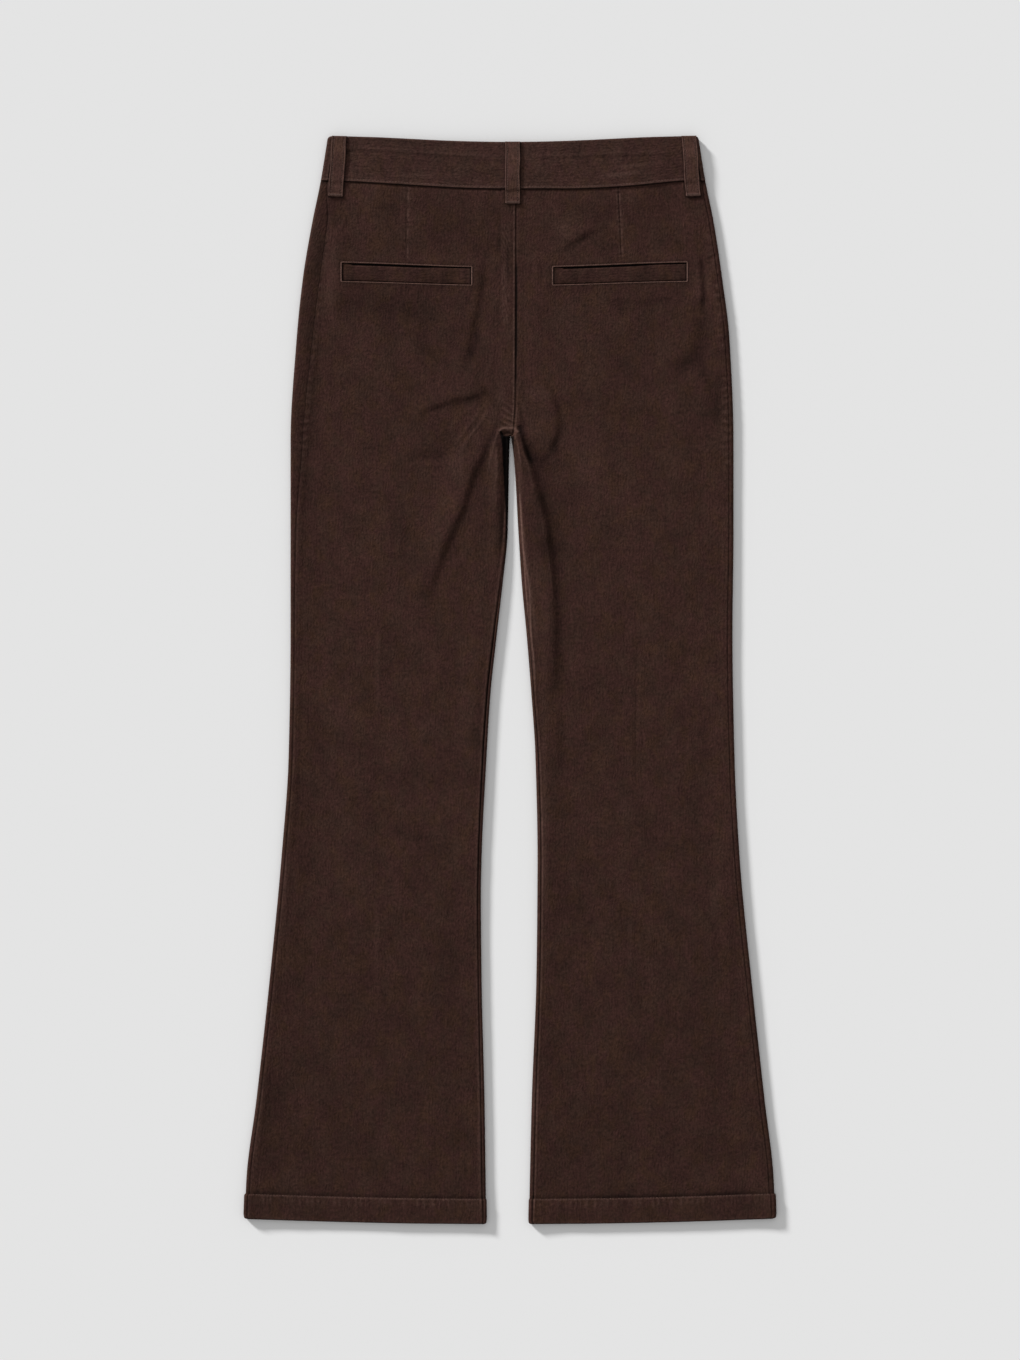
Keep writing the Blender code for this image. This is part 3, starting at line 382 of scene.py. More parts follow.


# The folds that give the back its form, and then the smaller ones.
# After its path a row gives its two fades, the lighter paint of worn nap and painted highlight on its crest,
# and its painted shade.
FOLDS = (
    # inner left thigh: the long crest with its steep lower side, and the low strip beside the gap
    Crease(2.2, 6.2, 15, ((-17, 788), (-24, 772), (-30, 757), (-37, 740), (-47, 711), (-54, 694),
        (-66.5, 667), (-77, 635), (-84, 614)), 0.22, 0.2),
    Crease(-0.4, 3.2, 2.8, ((-12.3, 786), (-19.7, 770), (-25, 755), (-32.2, 738), (-42, 709), (-49, 692),
        (-61.5, 665), (-72.5, 633), (-81, 606)), 0.08, 0.16, 0, 0.1),
    Crease(-0.2, 8, 5, ((-13, 784), (-20.5, 765), (-27, 749), (-33, 732), (-41, 710), (-50, 690)),
        0.12, 0.4, 0, 0.16),
    Crease(-0.2, 12, 5, ((-44, 708), (-54, 684), (-61, 663), (-68, 642)), 0.3, 0.4, 0, 0.16),
    Crease(-0.2, 12, 12, ((-98, 742), (-106, 712), (-104, 668), (-98, 640)), 0.3, 0.3, 0, 0.12),
    Crease(1.5, 3.6, 6, ((-11.5, 779), (-13.5, 768), (-14, 745), (-14.5, 715), (-16.5, 680)),
        0.12, 0.4, 0.12),
    Crease(-0.3, 3, 4.5, ((-6.5, 716), (-8.5, 692), (-9.5, 672), (-11, 648)), 0.3, 0.3, 0, 0.4),
    # inner right thigh: the crest beside the gap, the dark fall behind it and the wedge at its head
    Crease(2.4, 4.2, 12, ((5.5, 783), (12, 763.5), (20, 743), (27, 716.5), (33.5, 690)), 0.1, 0.35),
    Crease(2.2, 7, 12, ((22, 743), (29, 716), (34, 690), (36.5, 668), (39.5, 640), (41.3, 610), (41.5, 580),
        (41.5, 550), (40.5, 520)), 0.2, 0.16),
    Crease(-0.4, 4.6, 3, ((22.6, 750), (26.5, 744), (34, 717.6), (40, 687), (42, 665.5), (45.5, 633),
        (47.2, 594), (47, 564), (46, 525)), 0.06, 0.3, 0, 0.1),
    Crease(-0.2, 3, 2.4, ((34, 708), (37.5, 698), (39.3, 687), (40.2, 672), (41, 658)), 0.3, 0.3, 0, 0.06),
    Crease(-0.3, 22, 5, ((26, 752), (31, 735), (36, 715), (41, 690), (44, 662)), 0.2, 0.4, 0, 0.18),
    Crease(-0.3, 9, 7, ((42, 676), (44.5, 640), (46, 606), (46, 580), (46, 550), (45, 526)),
        0.3, 0.12, 0, 0.15),
    Crease(-0.3, 5, 5, ((48, 515), (50, 485), (51, 456), (49, 424)), 0.3, 0.4, 0, 0.1),
    Crease(-0.5, 4, 1.3, ((8.9, 786), (10.4, 780), (13.4, 770.7), (16, 761), (20.5, 751), (24, 743)),
        0.03, 0.25, 0, 0.46),
    Crease(-0.3, 7.5, 2.6, ((12, 775), (17.5, 762), (22.5, 751), (26.5, 741)), 0.35, 0.4, 0, 0.34),
    Crease(-0.1, 4, 4, ((16, 752), (21, 735), (27, 712), (32, 695)), 0.3, 0.3, 0, 0.12),
    Crease(0.1, 3, 3, ((10, 712), (14.5, 676), (18.5, 645), (22, 612), (25, 580), (28, 545)), 0.2, 0.3, 0.32),
    Crease(-0.1, 2.5, 2.5, ((-26, 966), (-26.5, 948), (-27, 932), (-30, 915)), 0.3, 0.3, 0, 0.2),
    Crease(-0.1, 9, 6, ((38, 712), (41, 690), (43.5, 668), (45, 646)), 0.3, 0.3, 0, 0.14),
    Crease(-0.1, 9, 9, ((22, 758), (32, 748), (44, 744)), 0.3, 0.4, 0, 0.1),
    # seat: the arc beside the right crest, and the fold that runs out from the left one
    Crease(1.4, 3.8, 11, ((32, 828), (38.5, 812.5), (43.5, 802.5), (46, 792), (46, 783), (43, 773), (38, 764),
        (31, 756)), 0.25, 0.3),
    Crease(-0.3, 2.2, 2, ((35.6, 830), (43.5, 815.4), (49, 804.6), (51.6, 793.7), (52, 783)),
        0.3, 0.3, 0, 0.24),
    Crease(-0.3, 4.2, 4, ((51, 795), (52, 783), (49, 772), (43, 761), (36, 753), (26, 744)),
        0.3, 0.2, 0, 0.3),
    Crease(1.3, 4, 11, ((-24, 824), (-36, 816), (-50, 813), (-62, 810), (-74, 805.5), (-87, 800), (-94, 784)),
        0.2, 0.4),
    Crease(-0.3, 4.2, 3.6, ((-20, 824), (-34, 812.5), (-48, 809), (-62, 805)), 0.16, 0.35, 0, 0.38),
    Crease(-0.2, 2, 2, ((-56, 807), (-72, 801.3), (-82.6, 797), (-88, 789), (-90, 779)), 0.2, 0.4, 0, 0.24),
    Crease(-0.5, 8, 2.2, ((-106, 754), (-90, 752.5), (-72, 753), (-54, 757)), 0.25, 0.3, 0, 0.26),
    Crease(-1, 10, 4.4, ((-24, 939), (-26, 925), (-28, 908.5), (-31, 892), (-35, 877), (-37.5, 863),
        (-40.5, 850), (-44.5, 826)), 0.14, 0.3),
    Crease(-0.2, 5, 2.6, ((-24.5, 940), (-27, 925), (-29, 908.5), (-32.5, 892), (-37, 877)),
        0.12, 0.3, 0, 0.3),
    Crease(-0.2, 9, 3.6, ((-33, 890), (-36.5, 877), (-38.5, 863), (-41, 850), (-46, 828)), 0.3, 0.4, 0, 0.3),
    Crease(-0.2, 5, 26, ((-38, 905), (-44, 880), (-47, 855), (-54, 828)), 0.3, 0.4, 0, 0.13),
    Crease(-0.9, 14, 12, ((-176, 902), (-137, 903), (-103, 902), (-72, 896), (-48, 884)),
        0.12, 0.35, 0, 0.22),
    Crease(-0.5, 7, 7, ((-91, 889), (-82, 862), (-62, 845)), 0.3, 0.4, 0, 0.18),
    Crease(-0.3, 9, 9, ((-118, 1012), (-116, 988), (-112, 962)), 0.3, 0.4, 0, 0.05),
    Crease(0.8, 12, 3.4, ((48, 962.5), (54, 968), (61, 972), (70, 975.5), (76, 979.5), (86, 984), (95, 985)),
        0.3, 0.4),
    Crease(-0.2, 3.2, 3.2, ((49, 958), (56.4, 965), (63, 969), (72.3, 972.5), (78, 976.5), (87, 981)),
        0.3, 0.4, 0, 0.3),
    Crease(-0.2, 2.6, 3, ((60, 967.5), (66, 970), (72.3, 972.5), (79, 977.5)), 0.4, 0.4, 0, 0.32),
    Crease(-0.3, 9, 9, ((92, 1008), (98, 984)), 0.4, 0.4, 0, 0.08),
    Crease(-0.4, 2.6, 5, ((90, 911), (122, 909), (149, 911), (170, 913)), 0.3, 0.2, 0, 0.2),
    Crease(-0.4, 7, 9, ((96, 904), (124, 901), (152, 905)), 0.3, 0.3, 0, 0.15),
    Crease(-0.7, 14, 14, ((96, 838), (128, 846), (156, 862)), 0.4, 0.4, 0, 0.05),
    # hips
    Crease(0.9, 2.6, 6, ((184, 953), (185, 935), (186, 921), (186, 907), (183, 896)), 0.15, 0.3, 0.1),
    Crease(-0.2, 3, 2.6, ((187, 952), (188.2, 935), (189.3, 921), (189.3, 907.7), (186, 896)),
        0.15, 0.2, 0, 0.3),
    Crease(-0.8, 9, 8, ((184.8, 896), (188, 871), (185.8, 860), (177, 848.6), (163, 839.5), (155, 833)),
        0.2, 0.25, 0, 0.36),
    Crease(-0.3, 4.6, 4.6, ((187, 862), (188.2, 849), (195, 826), (200, 808)), 0.3, 0.4, 0, 0.2),
    Crease(-0.2, 5, 5, ((211, 912), (214.5, 870), (217, 826)), 0.3, 0.4, 0, 0.18),
    Crease(-1.2, 7, 9.5, ((-177.5, 1010), (-179, 987), (-183, 957.5), (-186, 940), (-188, 918), (-188, 898),
        (-187, 872)), 0.3, 0.35),
    Crease(0.8, 11, 4.5, ((-166, 985), (-172, 957), (-175, 940), (-176.5, 908), (-171, 878)), 0.25, 0.3, 0.1),
    Crease(-0.2, 1.8, 1.8, ((-177.4, 1010), (-178, 987), (-182, 957.5), (-184.6, 946)), 0.2, 0.2, 0, 0.16),
    Crease(-0.5, 7.5, 7, ((-186, 965), (-189.5, 940), (-191, 908), (-193.5, 880), (-197.6, 820),
        (-200.5, 751), (-202, 690), (-205, 640)), 0.12, 0.35, 0, 0.2),
    # legs: broad, faint waves across the knees and down the calves
    Crease(0.5, 16, 20, ((-150, 640), (-146, 560), (-150, 470)), 0.4, 0.4),
    Crease(-0.5, 20, 20, ((-70, 560), (-60, 480), (-66, 400)), 0.4, 0.4),
    Crease(0.5, 18, 22, ((80, 640), (76, 540), (84, 440)), 0.4, 0.4),
    Crease(-0.4, 20, 16, ((170, 640), (176, 540), (168, 440)), 0.4, 0.4),
    Crease(-0.2, 5, 4, ((-205.5, 456), (-208.4, 417), (-211, 388)), 0.3, 0.4, 0, 0.14),
    Crease(-0.2, 3.6, 4, ((-215, 356), (-216.6, 318), (-220, 282)), 0.3, 0.4, 0, 0.16),
    Crease(-0.3, 12, 12, ((-229, 162), (-235, 101), (-238, 36)), 0.4, 0.2, 0, 0.06),
    Crease(-0.3, 9, 9, ((-54, 300), (-50, 200), (-48, 36)), 0.3, 0.2, 0, 0.05),
    Crease(-0.4, 24, 24, ((-110, 330), (-98, 230), (-110, 120)), 0.4, 0.4),
    Crease(0.4, 24, 24, ((96, 320), (108, 220), (98, 110)), 0.4, 0.4),
    Crease(-0.3, 5, 4, ((201, 316), (204, 272), (208, 224)), 0.3, 0.4, 0, 0.1),
)

# Short puckers: the seat seam's, the hips' and those over the knees.
# Like the folds, a pucker may paint its crest lighter, as worn nap and painted highlight, and itself darker,
# as painted shade.
PUCKERS = (
    # the fine crests of both thighs, and the ridges beside the right inseam
    Crease(0.5, 1.4, 1.2, ((-10.8, 779), (-12.5, 777), (-14.9, 769.7), (-18.2, 757), (-21.1, 741),
        (-23, 725)), 0.02, 0.5, 0.4),
    Crease(0.3, 1.4, 1.4, ((-12, 771), (-13, 758), (-12.5, 742), (-15, 722)), 0.3, 0.4, 0.25),
    Crease(0.5, 1.2, 1.3, ((8, 780.5), (10.3, 775.6), (13.1, 760.8), (17.7, 747), (21.6, 729), (26.5, 703)),
        0.02, 0.5, 0.35),
    Crease(0.5, 1.1, 1.1, ((5.2, 779), (5.6, 773), (8.4, 764), (9.6, 754), (12.4, 738)), 0.1, 0.4, 0.5),
    Crease(0.45, 1.1, 1.2, ((8.4, 731), (10.2, 706), (12.3, 668), (16, 646), (19.4, 620), (21, 582),
        (24.2, 548), (26.4, 508)), 0.1, 0.2, 1),
    Crease(0.3, 0.9, 0.9, ((12, 672), (13.6, 650), (16, 618), (18.6, 582), (21, 550), (23, 520)),
        0.2, 0.3, 0.75),
    Crease(0.3, 1, 1, ((27.5, 716), (30.5, 698), (34.5, 674), (37.5, 658), (41, 630), (43.5, 606)),
        0.2, 0.3, 0.22),
    # the fine lines over the left crest
    Crease(0.4, 1.5, 1.5, ((-16, 806), (-28, 789), (-39.3, 774.5), (-47.2, 762), (-58, 748)), 0.2, 0.3, 0.16),
    Crease(0.35, 1.5, 1.5, ((-24, 806), (-37, 789), (-48, 774), (-60, 758)), 0.3, 0.3, 0.12),
    Crease(0.3, 2, 2, ((-38, 806), (-50, 793), (-60, 776)), 0.3, 0.4, 0.05),
    # the seat seam's
    Crease(0.4, 1.5, 1.3, ((-3, 952), (-6, 946), (-9.5, 939)), 0.35, 0.35, 0.3),
    Crease(0.4, 1.5, 1.3, ((-1, 944), (-4, 937), (-8, 929)), 0.35, 0.35, 0.25),
    Crease(0.4, 1.5, 1.3, ((-1, 934), (-4, 926), (-8.5, 916)), 0.35, 0.35, 0.25),
    Crease(0.4, 1.5, 1.3, ((0, 920), (-4, 911), (-8, 903)), 0.35, 0.35, 0.2),
    Crease(0.35, 1.5, 1.3, ((0, 899), (-4, 889), (-8, 881)), 0.35, 0.35, 0.12),
    Crease(-0.35, 1.3, 1.3, ((20.6, 953), (21, 940), (20.6, 927)), 0.3, 0.3, 0, 0.26),
    Crease(-0.35, 1.3, 1.3, ((30.5, 953), (30.8, 940), (30, 927)), 0.3, 0.3, 0, 0.3),
    Crease(0.3, 1.6, 1.6, ((25.5, 955), (26, 940), (25, 924)), 0.3, 0.3, 0.06),
    Crease(-0.3, 1.3, 1.3, ((-9.8, 1008), (-10, 984), (-9.6, 954)), 0.3, 0.4, 0, 0.14),
    Crease(0.3, 2, 2, ((-12, 915), (-17, 896), (-19, 874)), 0.35, 0.4),
    Crease(0.3, 2, 2, ((14, 905), (20, 884), (25, 858)), 0.35, 0.4),
    Crease(0.3, 1.7, 1.7, ((-14, 862), (-20, 846), (-24, 826)), 0.35, 0.4, 0.1),
    Crease(-0.5, 1.3, 1.3, ((5.9, 814), (8.8, 809), (10.8, 798), (15.1, 787.4), (19.5, 780)),
        0.2, 0.3, 0, 0.3),
    Crease(0.3, 1.6, 1.6, ((9.5, 815), (13, 803), (17.5, 792)), 0.3, 0.4, 0.1),
    Crease(-0.4, 1.6, 1.4, ((-8, 808), (-10.5, 797), (-12, 788)), 0.3, 0.35, 0, 0.2),
    # the hips'
    Crease(0.4, 1.8, 1.8, ((-158, 996), (-164, 984), (-168, 970)), 0.4, 0.4),
    Crease(0.4, 1.8, 1.8, ((-146, 1001), (-151, 990), (-157, 976)), 0.4, 0.4),
    Crease(-0.4, 1.8, 1.8, ((-141, 1008), (-147, 995), (-153, 983)), 0.4, 0.4, 0, 0.08),
    Crease(0.5, 1.6, 1.4, ((201, 935), (205, 924), (207, 911)), 0.35, 0.35, 0.15),
    Crease(0.4, 1.6, 1.4, ((198, 922), (202, 912), (205, 900)), 0.35, 0.35, 0.12),
    Crease(0.4, 1.6, 1.4, ((203, 946), (204, 938), (204, 930)), 0.35, 0.35, 0.12),
    Crease(0.4, 1.7, 1.6, ((36, 1016), (44, 1006), (56, 1000)), 0.4, 0.4, 0.08),
    Crease(-0.35, 1.7, 2, ((30, 1018), (37, 1008), (48, 1001)), 0.4, 0.4, 0, 0.08),
    Crease(0.35, 1.7, 1.7, ((-128, 1018), (-122, 1008), (-114, 1003)), 0.4, 0.4, 0.06),
    Crease(0.3, 2.5, 2.5, ((-84, 905), (-91, 886), (-95, 866)), 0.4, 0.4),
    # the faint pressed lines of both legs, and a thin crease across the left shin
    Crease(0.3, 2.5, 2.5, ((-100, 700), (-108, 672), (-112, 640)), 0.4, 0.4),
    Crease(0.35, 1.7, 3.4, ((-128, 596), (-128.8, 540), (-128.8, 483)), 0.2, 0.3, 0.1),
    Crease(0.3, 2.4, 3.4, ((-129.5, 330), (-129.8, 262), (-128, 205)), 0.3, 0.4, 0.08),
    Crease(-0.3, 1.8, 1.8, ((125.5, 592), (124.6, 540), (124, 495), (123, 407)), 0.2, 0.3, 0, 0.12),
    Crease(0.3, 2, 3, ((119.8, 322), (119, 274), (119, 225)), 0.3, 0.4, 0.1),
    Crease(-0.35, 1.4, 1.4, ((-124, 391), (-103.2, 383.4), (-88.5, 379.4), (-73, 374)), 0.2, 0.3, 0, 0.24),
    Crease(0.3, 5, 4, ((-126, 396), (-102, 389), (-74, 381)), 0.4, 0.4),
)

# Soft patches of painted shade, or of painted highlight where they are negative: their x, level,
# half width, half height and how much.
SHADES = (
    (-47, 910, 14, 8, 0.26), (-33, 880, 4, 14, 0.36), (-38, 858, 4, 8, 0.26), (-108, 892, 40, 14, 0.13),
    (-66, 994, 13, 28, 0.17), (-42, 985, 12, 24, 0.08), (-25, 963, 12, 7, 0.15), (-90, 965, 8, 7, 0.14),
    (-12, 971, 1.6, 6, 0.3), (-93, 820, 10, 10, 0.14), (16, 738, 5, 14, 0.2), (20, 705, 4.5, 24, 0.2),
    (27, 668, 5, 24, 0.16), (197, 942, 3, 12, 0.28), (207, 840, 3.6, 34, 0.24), (10.5, 782, 3, 6, 0.3),
    (13.5, 774, 3, 6, 0.18), (-15.7, 776, 3, 8, 0.28), (-215, 800, 2.2, 60, 0.25), (30, 700, 5, 22, 0.26),
    (35, 664, 5, 20, 0.2), (-194, 965, 6, 40, -0.14), (181.5, 900, 3, 8, 0.3), (-208, 800, 3, 40, 0.18),
    (193, 925, 3, 10, -0.2), (-59, 774, 11, 16, 0.2), (-91, 736, 8, 10, 0.18), (-86, 670, 6, 18, 0.2),
    (-133, 771, 18, 16, 0.1), (-81, 619, 9, 7, 0.28), (13, 782, 4, 5, 0.2), (21, 761, 4, 8, 0.16),
    (41, 665, 11, 18, 0.3), (52, 554, 5, 14, 0.18), (42, 525, 9, 10, 0.24), (46, 761, 5, 9, 0.2),
    (189, 901, 4, 9, 0.26), (179, 865, 5, 5, 0.22), (138, 796, 12, 7, 0.22), (155, 830, 7, 8, 0.13),
    (200, 805, 10, 28, 0.3), (166, 724, 12, 10, 0.13), (208, 736, 8, 16, 0.18), (155, 684, 16, 12, 0.12),
    (162, 657, 10, 8, 0.16), (202, 623, 10, 12, 0.18), (-192, 835, 5, 50, 0.14), (-187, 946, 5, 30, 0.16),
    (-4, 948, 8, 32, 0.15), (-34, 474, 7, 16, 0.26), (192, 466, 8, 26, 0.26), (49, 486, 5, 34, 0.22),
    (67, 304, 12, 36, 0.18), (-177, 436, 12, 10, 0.16), (189, 348, 16, 10, 0.18), (184, 235, 12, 14, 0.18),
    (-138, 284, 8, 16, 0.17), (-182, 250, 6, 20, 0.16), (-57, 260, 9, 44, 0.18), (-234, 110, 14, 18, 0.18),
    (-175, 102, 8, 10, 0.16), (128, 235, 7, 20, 0.16), (219, 299, 6, 60, 0.18), (199, 201, 8, 40, 0.14),
    (-98, 33, 20, 8, 0.14), (-251, 48, 20, 10, 0.14), (-29, 505, 4, 60, 0.16), (-26, 690, 6, 34, 0.16),
    (-169, 887, 8, 14, -0.08), (54, 891, 12, 14, -0.11), (49, 985, 22, 26, -0.11), (-8, 815, 5, 10, -0.15),
    (25, 818, 11, 9, -0.13), (-28, 798, 9, 12, -0.1), (-54, 749, 10, 14, -0.13), (74, 749, 16, 30, -0.1),
    (-167, 377, 16, 50, -0.05), (112, 411, 8, 12, -0.1), (-162, 500, 16, 24, -0.08),
    (-79, 491, 14, 12, -0.08), (-113, 503, 8, 12, -0.08), (202, 314, 6, 20, -0.1), (-143, 333, 12, 16, -0.08),
    (33, 388, 4, 128, -0.24), (25, 117, 4, 44, -0.26), (-29, 135, 3, 84, -0.18), (-249, 117, 4.5, 44, -0.24),
    (-221, 325, 4, 50, -0.16), (-26, 476, 3, 34, -0.2),
)

# The ridge over the crotch, its top painted lighter as worn nap and painted highlight, and the step
# below it, painted darker as painted shade.
CROTCH = (
    Crease(0.9, 1.7, 1.3, ((-11.4, 778.4), (-8.8, 781), (-5.5, 782.4), (0, 782.6), (3.6, 781.9), (6.6, 780),
        (8.4, 777.5)), 0.05, 0.05, 0.8),
    Crease(-1.6, 1.6, 2.6, ((-8.5, 779), (-4.5, 778), (1, 777.8), (4.5, 779)), 0.1, 0.1, 0, 0.12),
)

# The belt loops of the back and of the front: their leg, and how far out their feet and their tops lie.
BACK_LOOPS = {
    "left": (LEFT_LEG, 171.5, 167.6),
    "center": (RIGHT_LEG, 2.5, 2.5),
    "right": (RIGHT_LEG, 180.0, 176.0),
}
FRONT_LOOPS = {"front_left": (LEFT_LEG, 94.0, 92.0), "front_right": (RIGHT_LEG, 96.0, 94.0)}


@dataclass(frozen=True)
class Relief:
    """What lies above or below the plain cloth: its height, how much it is painted lighter, as worn nap
    and painted highlight, and how much darker, as painted shade.
    """

    broad: Array
    fine: Array
    wear_and_highlight: Array
    painted_shade: Array


# --- the laid form ---------------------------------------------------------------------------------


@dataclass(frozen=True)
class Rim:
    """A rounded edge, with the cloth running round it from the underside to the upper side."""

    roll: float

    @property
    def quarter(self) -> float:
        """The lap at which the cloth has come round to the flat."""
        return self.roll * math.pi / 2

    def line(self, lap: Array, depth: float) -> tuple[Array, Array]:
        """Inset and height at each lap of a line that runs so deep under the cloth's outer face."""
        turn = np.clip(lap / self.roll, -math.pi / 2, math.pi / 2)
        beyond = np.maximum(np.abs(lap) - self.quarter, 0.0)
        reach = self.roll - depth
        return self.roll - reach * np.cos(turn) + beyond, self.roll + reach * np.sin(turn)

    def inset(self, lap: Array) -> Array:
        """How far in from the outermost line each lap lies."""
        return self.line(lap, 0.0)[0]

    def faces(self, lap: Array, cloth: Array) -> tuple[Array, ...]:
        """Both faces of the cloth.

        Args:
            lap: distances along the outer face.
            cloth: the cloth's thickness.

        Returns:
            Inset and height of the outer face, the same of the inner face, and how far the cloth looks up.
        """
        inset, height = self.line(lap, 0.0)
        deep_inset, deep_height = self.line(lap, 1.0)
        deep_inset = inset + (deep_inset - inset) * cloth
        deep_height = height + (deep_height - height) * cloth
        up = np.clip(np.sin(np.minimum(lap / self.roll, math.pi / 2)), 0, 1)
        return inset, height, deep_inset, deep_height, up


RIM = Rim(SIZES.roll)
BAND_RIM = Rim(SIZES.band_roll)


class LaidForm:
    """The laid trousers as points over the table, with every fold, seam and pucker."""

    FOLD_UNEVEN = Unevenness(11, 78.0, 118.0)
    SOFT_UNEVEN = Unevenness(12, 27.0, 46.0)
    STREAK_UNEVEN = Unevenness(13, 8.0, 11.0)
    SEAM_UNEVEN = Unevenness(14, 9.0, 13.0)
    CLEFT_EDGE = Profile(
        [620, 660, 692, 731, 748, 764, 772, 779], [-9.5, -6.6, -4.1, -5.7, -7, -7.7, -9, -10.2]
    )

    def outer_out(self, leg: Leg, level: Array) -> Array:
        """How far out the outer edge lies, with the hem's step and the rounded corners."""
        return leg.outer_line(level) + self.hem_step(level) - self.corner(level)

    def inner_out(self, leg: Leg, level: Array) -> Array:
        """How far out the inner edge lies, with the hem's step and the rounded corner."""
        return leg.inner_line(level) - self.hem_step(level) / 2 + 0.7 * self.corner(level)

    def hem_step(self, level: Array) -> Array:
        """How far the turned hem stands out beyond the leg."""
        return SIZES.hem_step * (1 - ramp(level, SIZES.hem_depth - 0.8, SIZES.hem_depth + 0.4))

    def cloth(self, level: Array) -> Array:
        """The cloth's thickness, greater in the turned hem."""
        return np.where(level < SIZES.hem_depth, SIZES.hem_cloth, SIZES.cloth)

    def corner(self, level: Array) -> Array:
        """How much the corners at the hem and at the waist are rounded off."""
        radius = SIZES.corner
        near_end = np.maximum(radius - np.minimum(level, SIZES.length - level), 0.0)
        return radius - np.sqrt(np.maximum(radius**2 - near_end**2, 0.0))

    def place(self, leg: Leg, out: Array, level: Array, height: Array) -> Array:
        """Points of the laid garment, in metres, the waist dipping and the hem rising as they do."""
        x = leg.side * out
        bow = (1 + np.cos(math.pi * np.minimum(1.0, np.abs(x) / SIZES.half_waist))) / 2
        sag = SIZES.waist_dip * smooth(level, 820, 990) * bow
        rise = leg.hem_rise * ramp(out, 25, 260) ** 1.9 * (1 - smooth(level, 30, 140))
        sag = sag + SEAM_DIP(x) * bell(level - SIZES.band_foot, 24.0)
        y = level - SIZES.length / 2 - sag + rise
        return np.stack(np.broadcast_arrays(x, y, height), -1) * MILLIMETRE

    def lift(self, x: Array, level: Array) -> Array:
        """How far the front lies above the table, over its belt loops and button."""
        return SIZES.lift * (1 - ramp(np.abs(x), 130, 165)) * ramp(level, 960, 1010)

    def stack(self, x: Array, level: Array) -> Array:
        """Extra height of the back over the fly and over the fastened waistband."""
        fly = (1 - smooth(np.abs(x), 26, 60)) * smooth(level, 805, 835)
        band = 0.8 * (1 - smooth(np.abs(x), 38, 80)) * smooth(level, 990, 1024)
        return np.maximum(fly, band)

    def slump(self, leg: Leg, level: Array, inset: Array) -> Array:
        """How much of its height the cloth keeps near the inner edge of a leg, below the crotch."""
        if leg.side < 0:
            share = 0.34 * smooth(level, 625, 705) * (1 - smooth(level, 771, 777))
            return 1 - share * (1 - smooth(inset, 4.6, 7.4))
        share = 0.3 * smooth(level, 540, 640) * (1 - smooth(level, 740, 772))
        return 1 - share * (1 - smooth(inset, 2.0, 6.0))

    def relief(self, leg: Leg, out: Array, level: Array) -> Relief:
        """All that the back's upper face has beside its plain form, at points below the waistband.

        Args:
            leg: the side that the points are on.
            out: how far out they lie.
            level: their levels.

        Returns:
            The broad folds and the fine ones apart, with the lighter paint of worn nap and painted highlight,
            and the painted shade.
        """
        out, level = np.broadcast_arrays(out, level)
        x = leg.side * out
        broad, wear_and_highlight, painted_shade = (np.zeros(x.shape) for _ in range(3))
        fold_x = x + 1.3 * self.SOFT_UNEVEN(x + 310, level) + 0.6 * self.SEAM_UNEVEN(x, level + 90)
        fold_level = level + 1.3 * self.SOFT_UNEVEN(x, level + 470) + 0.6 * self.SEAM_UNEVEN(x + 90, level)
        patchy = 1 + 0.3 * self.SOFT_UNEVEN(1.6 * x, 1.6 * level) + 0.2 * self.SEAM_UNEVEN(x, level)
        for fold in FOLDS:
            share = fold.profile(fold_x, fold_level)
            broad += fold.height * share
            wear_and_highlight += fold.wear_and_highlight * share**3
            painted_shade += fold.painted_shade * share * patchy
        for middle, height, across, up, shade in SHADES:
            share = bell(np.hypot((fold_x - middle) / across, (fold_level - height) / up), 1.0) * patchy
            wear_and_highlight += max(-shade, 0) * share
            painted_shade += max(shade, 0) * share
        broad += 0.35 * self.FOLD_UNEVEN(x, level) + 0.14 * self.SOFT_UNEVEN(x, level)
        fine = 0.05 * self.STREAK_UNEVEN(x, level)
        for pucker in PUCKERS:
            share = pucker.profile(x, level)
            fine += pucker.height * share
            wear_and_highlight += pucker.wear_and_highlight * share**2
            painted_shade += pucker.painted_shade * share**2
        parts = self.seat_seam, self.side_seam, self.inseam, self.pocket, self.dart, self.waist, self.hem
        for part in parts:
            # Each part gives its height, its lighter paint of worn nap and painted highlight, and its painted
            # shade.
            height, lightened, pressed = part(leg, out, level)
            fine, wear_and_highlight, painted_shade = fine + height, wear_and_highlight + lightened, painted_shade + pressed
        for ridge in CROTCH:
            share = ridge.profile(x, level)
            fine += ridge.height * share
            wear_and_highlight += ridge.wear_and_highlight * share**2
            painted_shade += ridge.painted_shade * share
        # The cleft's painted shade, which takes away the lighter paint there, and the belt loops' painted
        # shadows.
        deep = self.cleft(x, level)
        wear_and_highlight = wear_and_highlight * (1 - deep)
        painted_shade = np.maximum(painted_shade + self.loop_shade(x, level), deep)
        return Relief(broad, fine, np.clip(wear_and_highlight, 0, 1), np.clip(painted_shade, 0, 1))

    def cleft(self, x: Array, level: Array) -> Array:
        """The deep shade between the thighs, under the crest of the left one."""
        near = self.CLEFT_EDGE(level)
        foot = mix(774.8, 780.0, smooth(-x, 4.8, 8.6))
        here = (1 - smooth(level, foot - 0.8, foot + 0.5)) * smooth(level, 650, 712)
        return here * smooth(x, near - 0.5, near + 0.6) * (1 - smooth(x, 3.4, 4.2))

    def deep_strip(self, leg: Leg, level: Array, inset: Array) -> Array:
        """How much painted shade darkens the cloth in the cleft beside the left thigh's crest."""
        if leg.side > 0:
            return 0 * inset * level
        reach = mix(1.5, 5.9, smooth(level, 670, 765))
        here = smooth(level, 610, 668) * (1 - smooth(level, 771.5, 776))
        return here * (1 - smooth(inset, reach - 1.2, reach + 1.0))

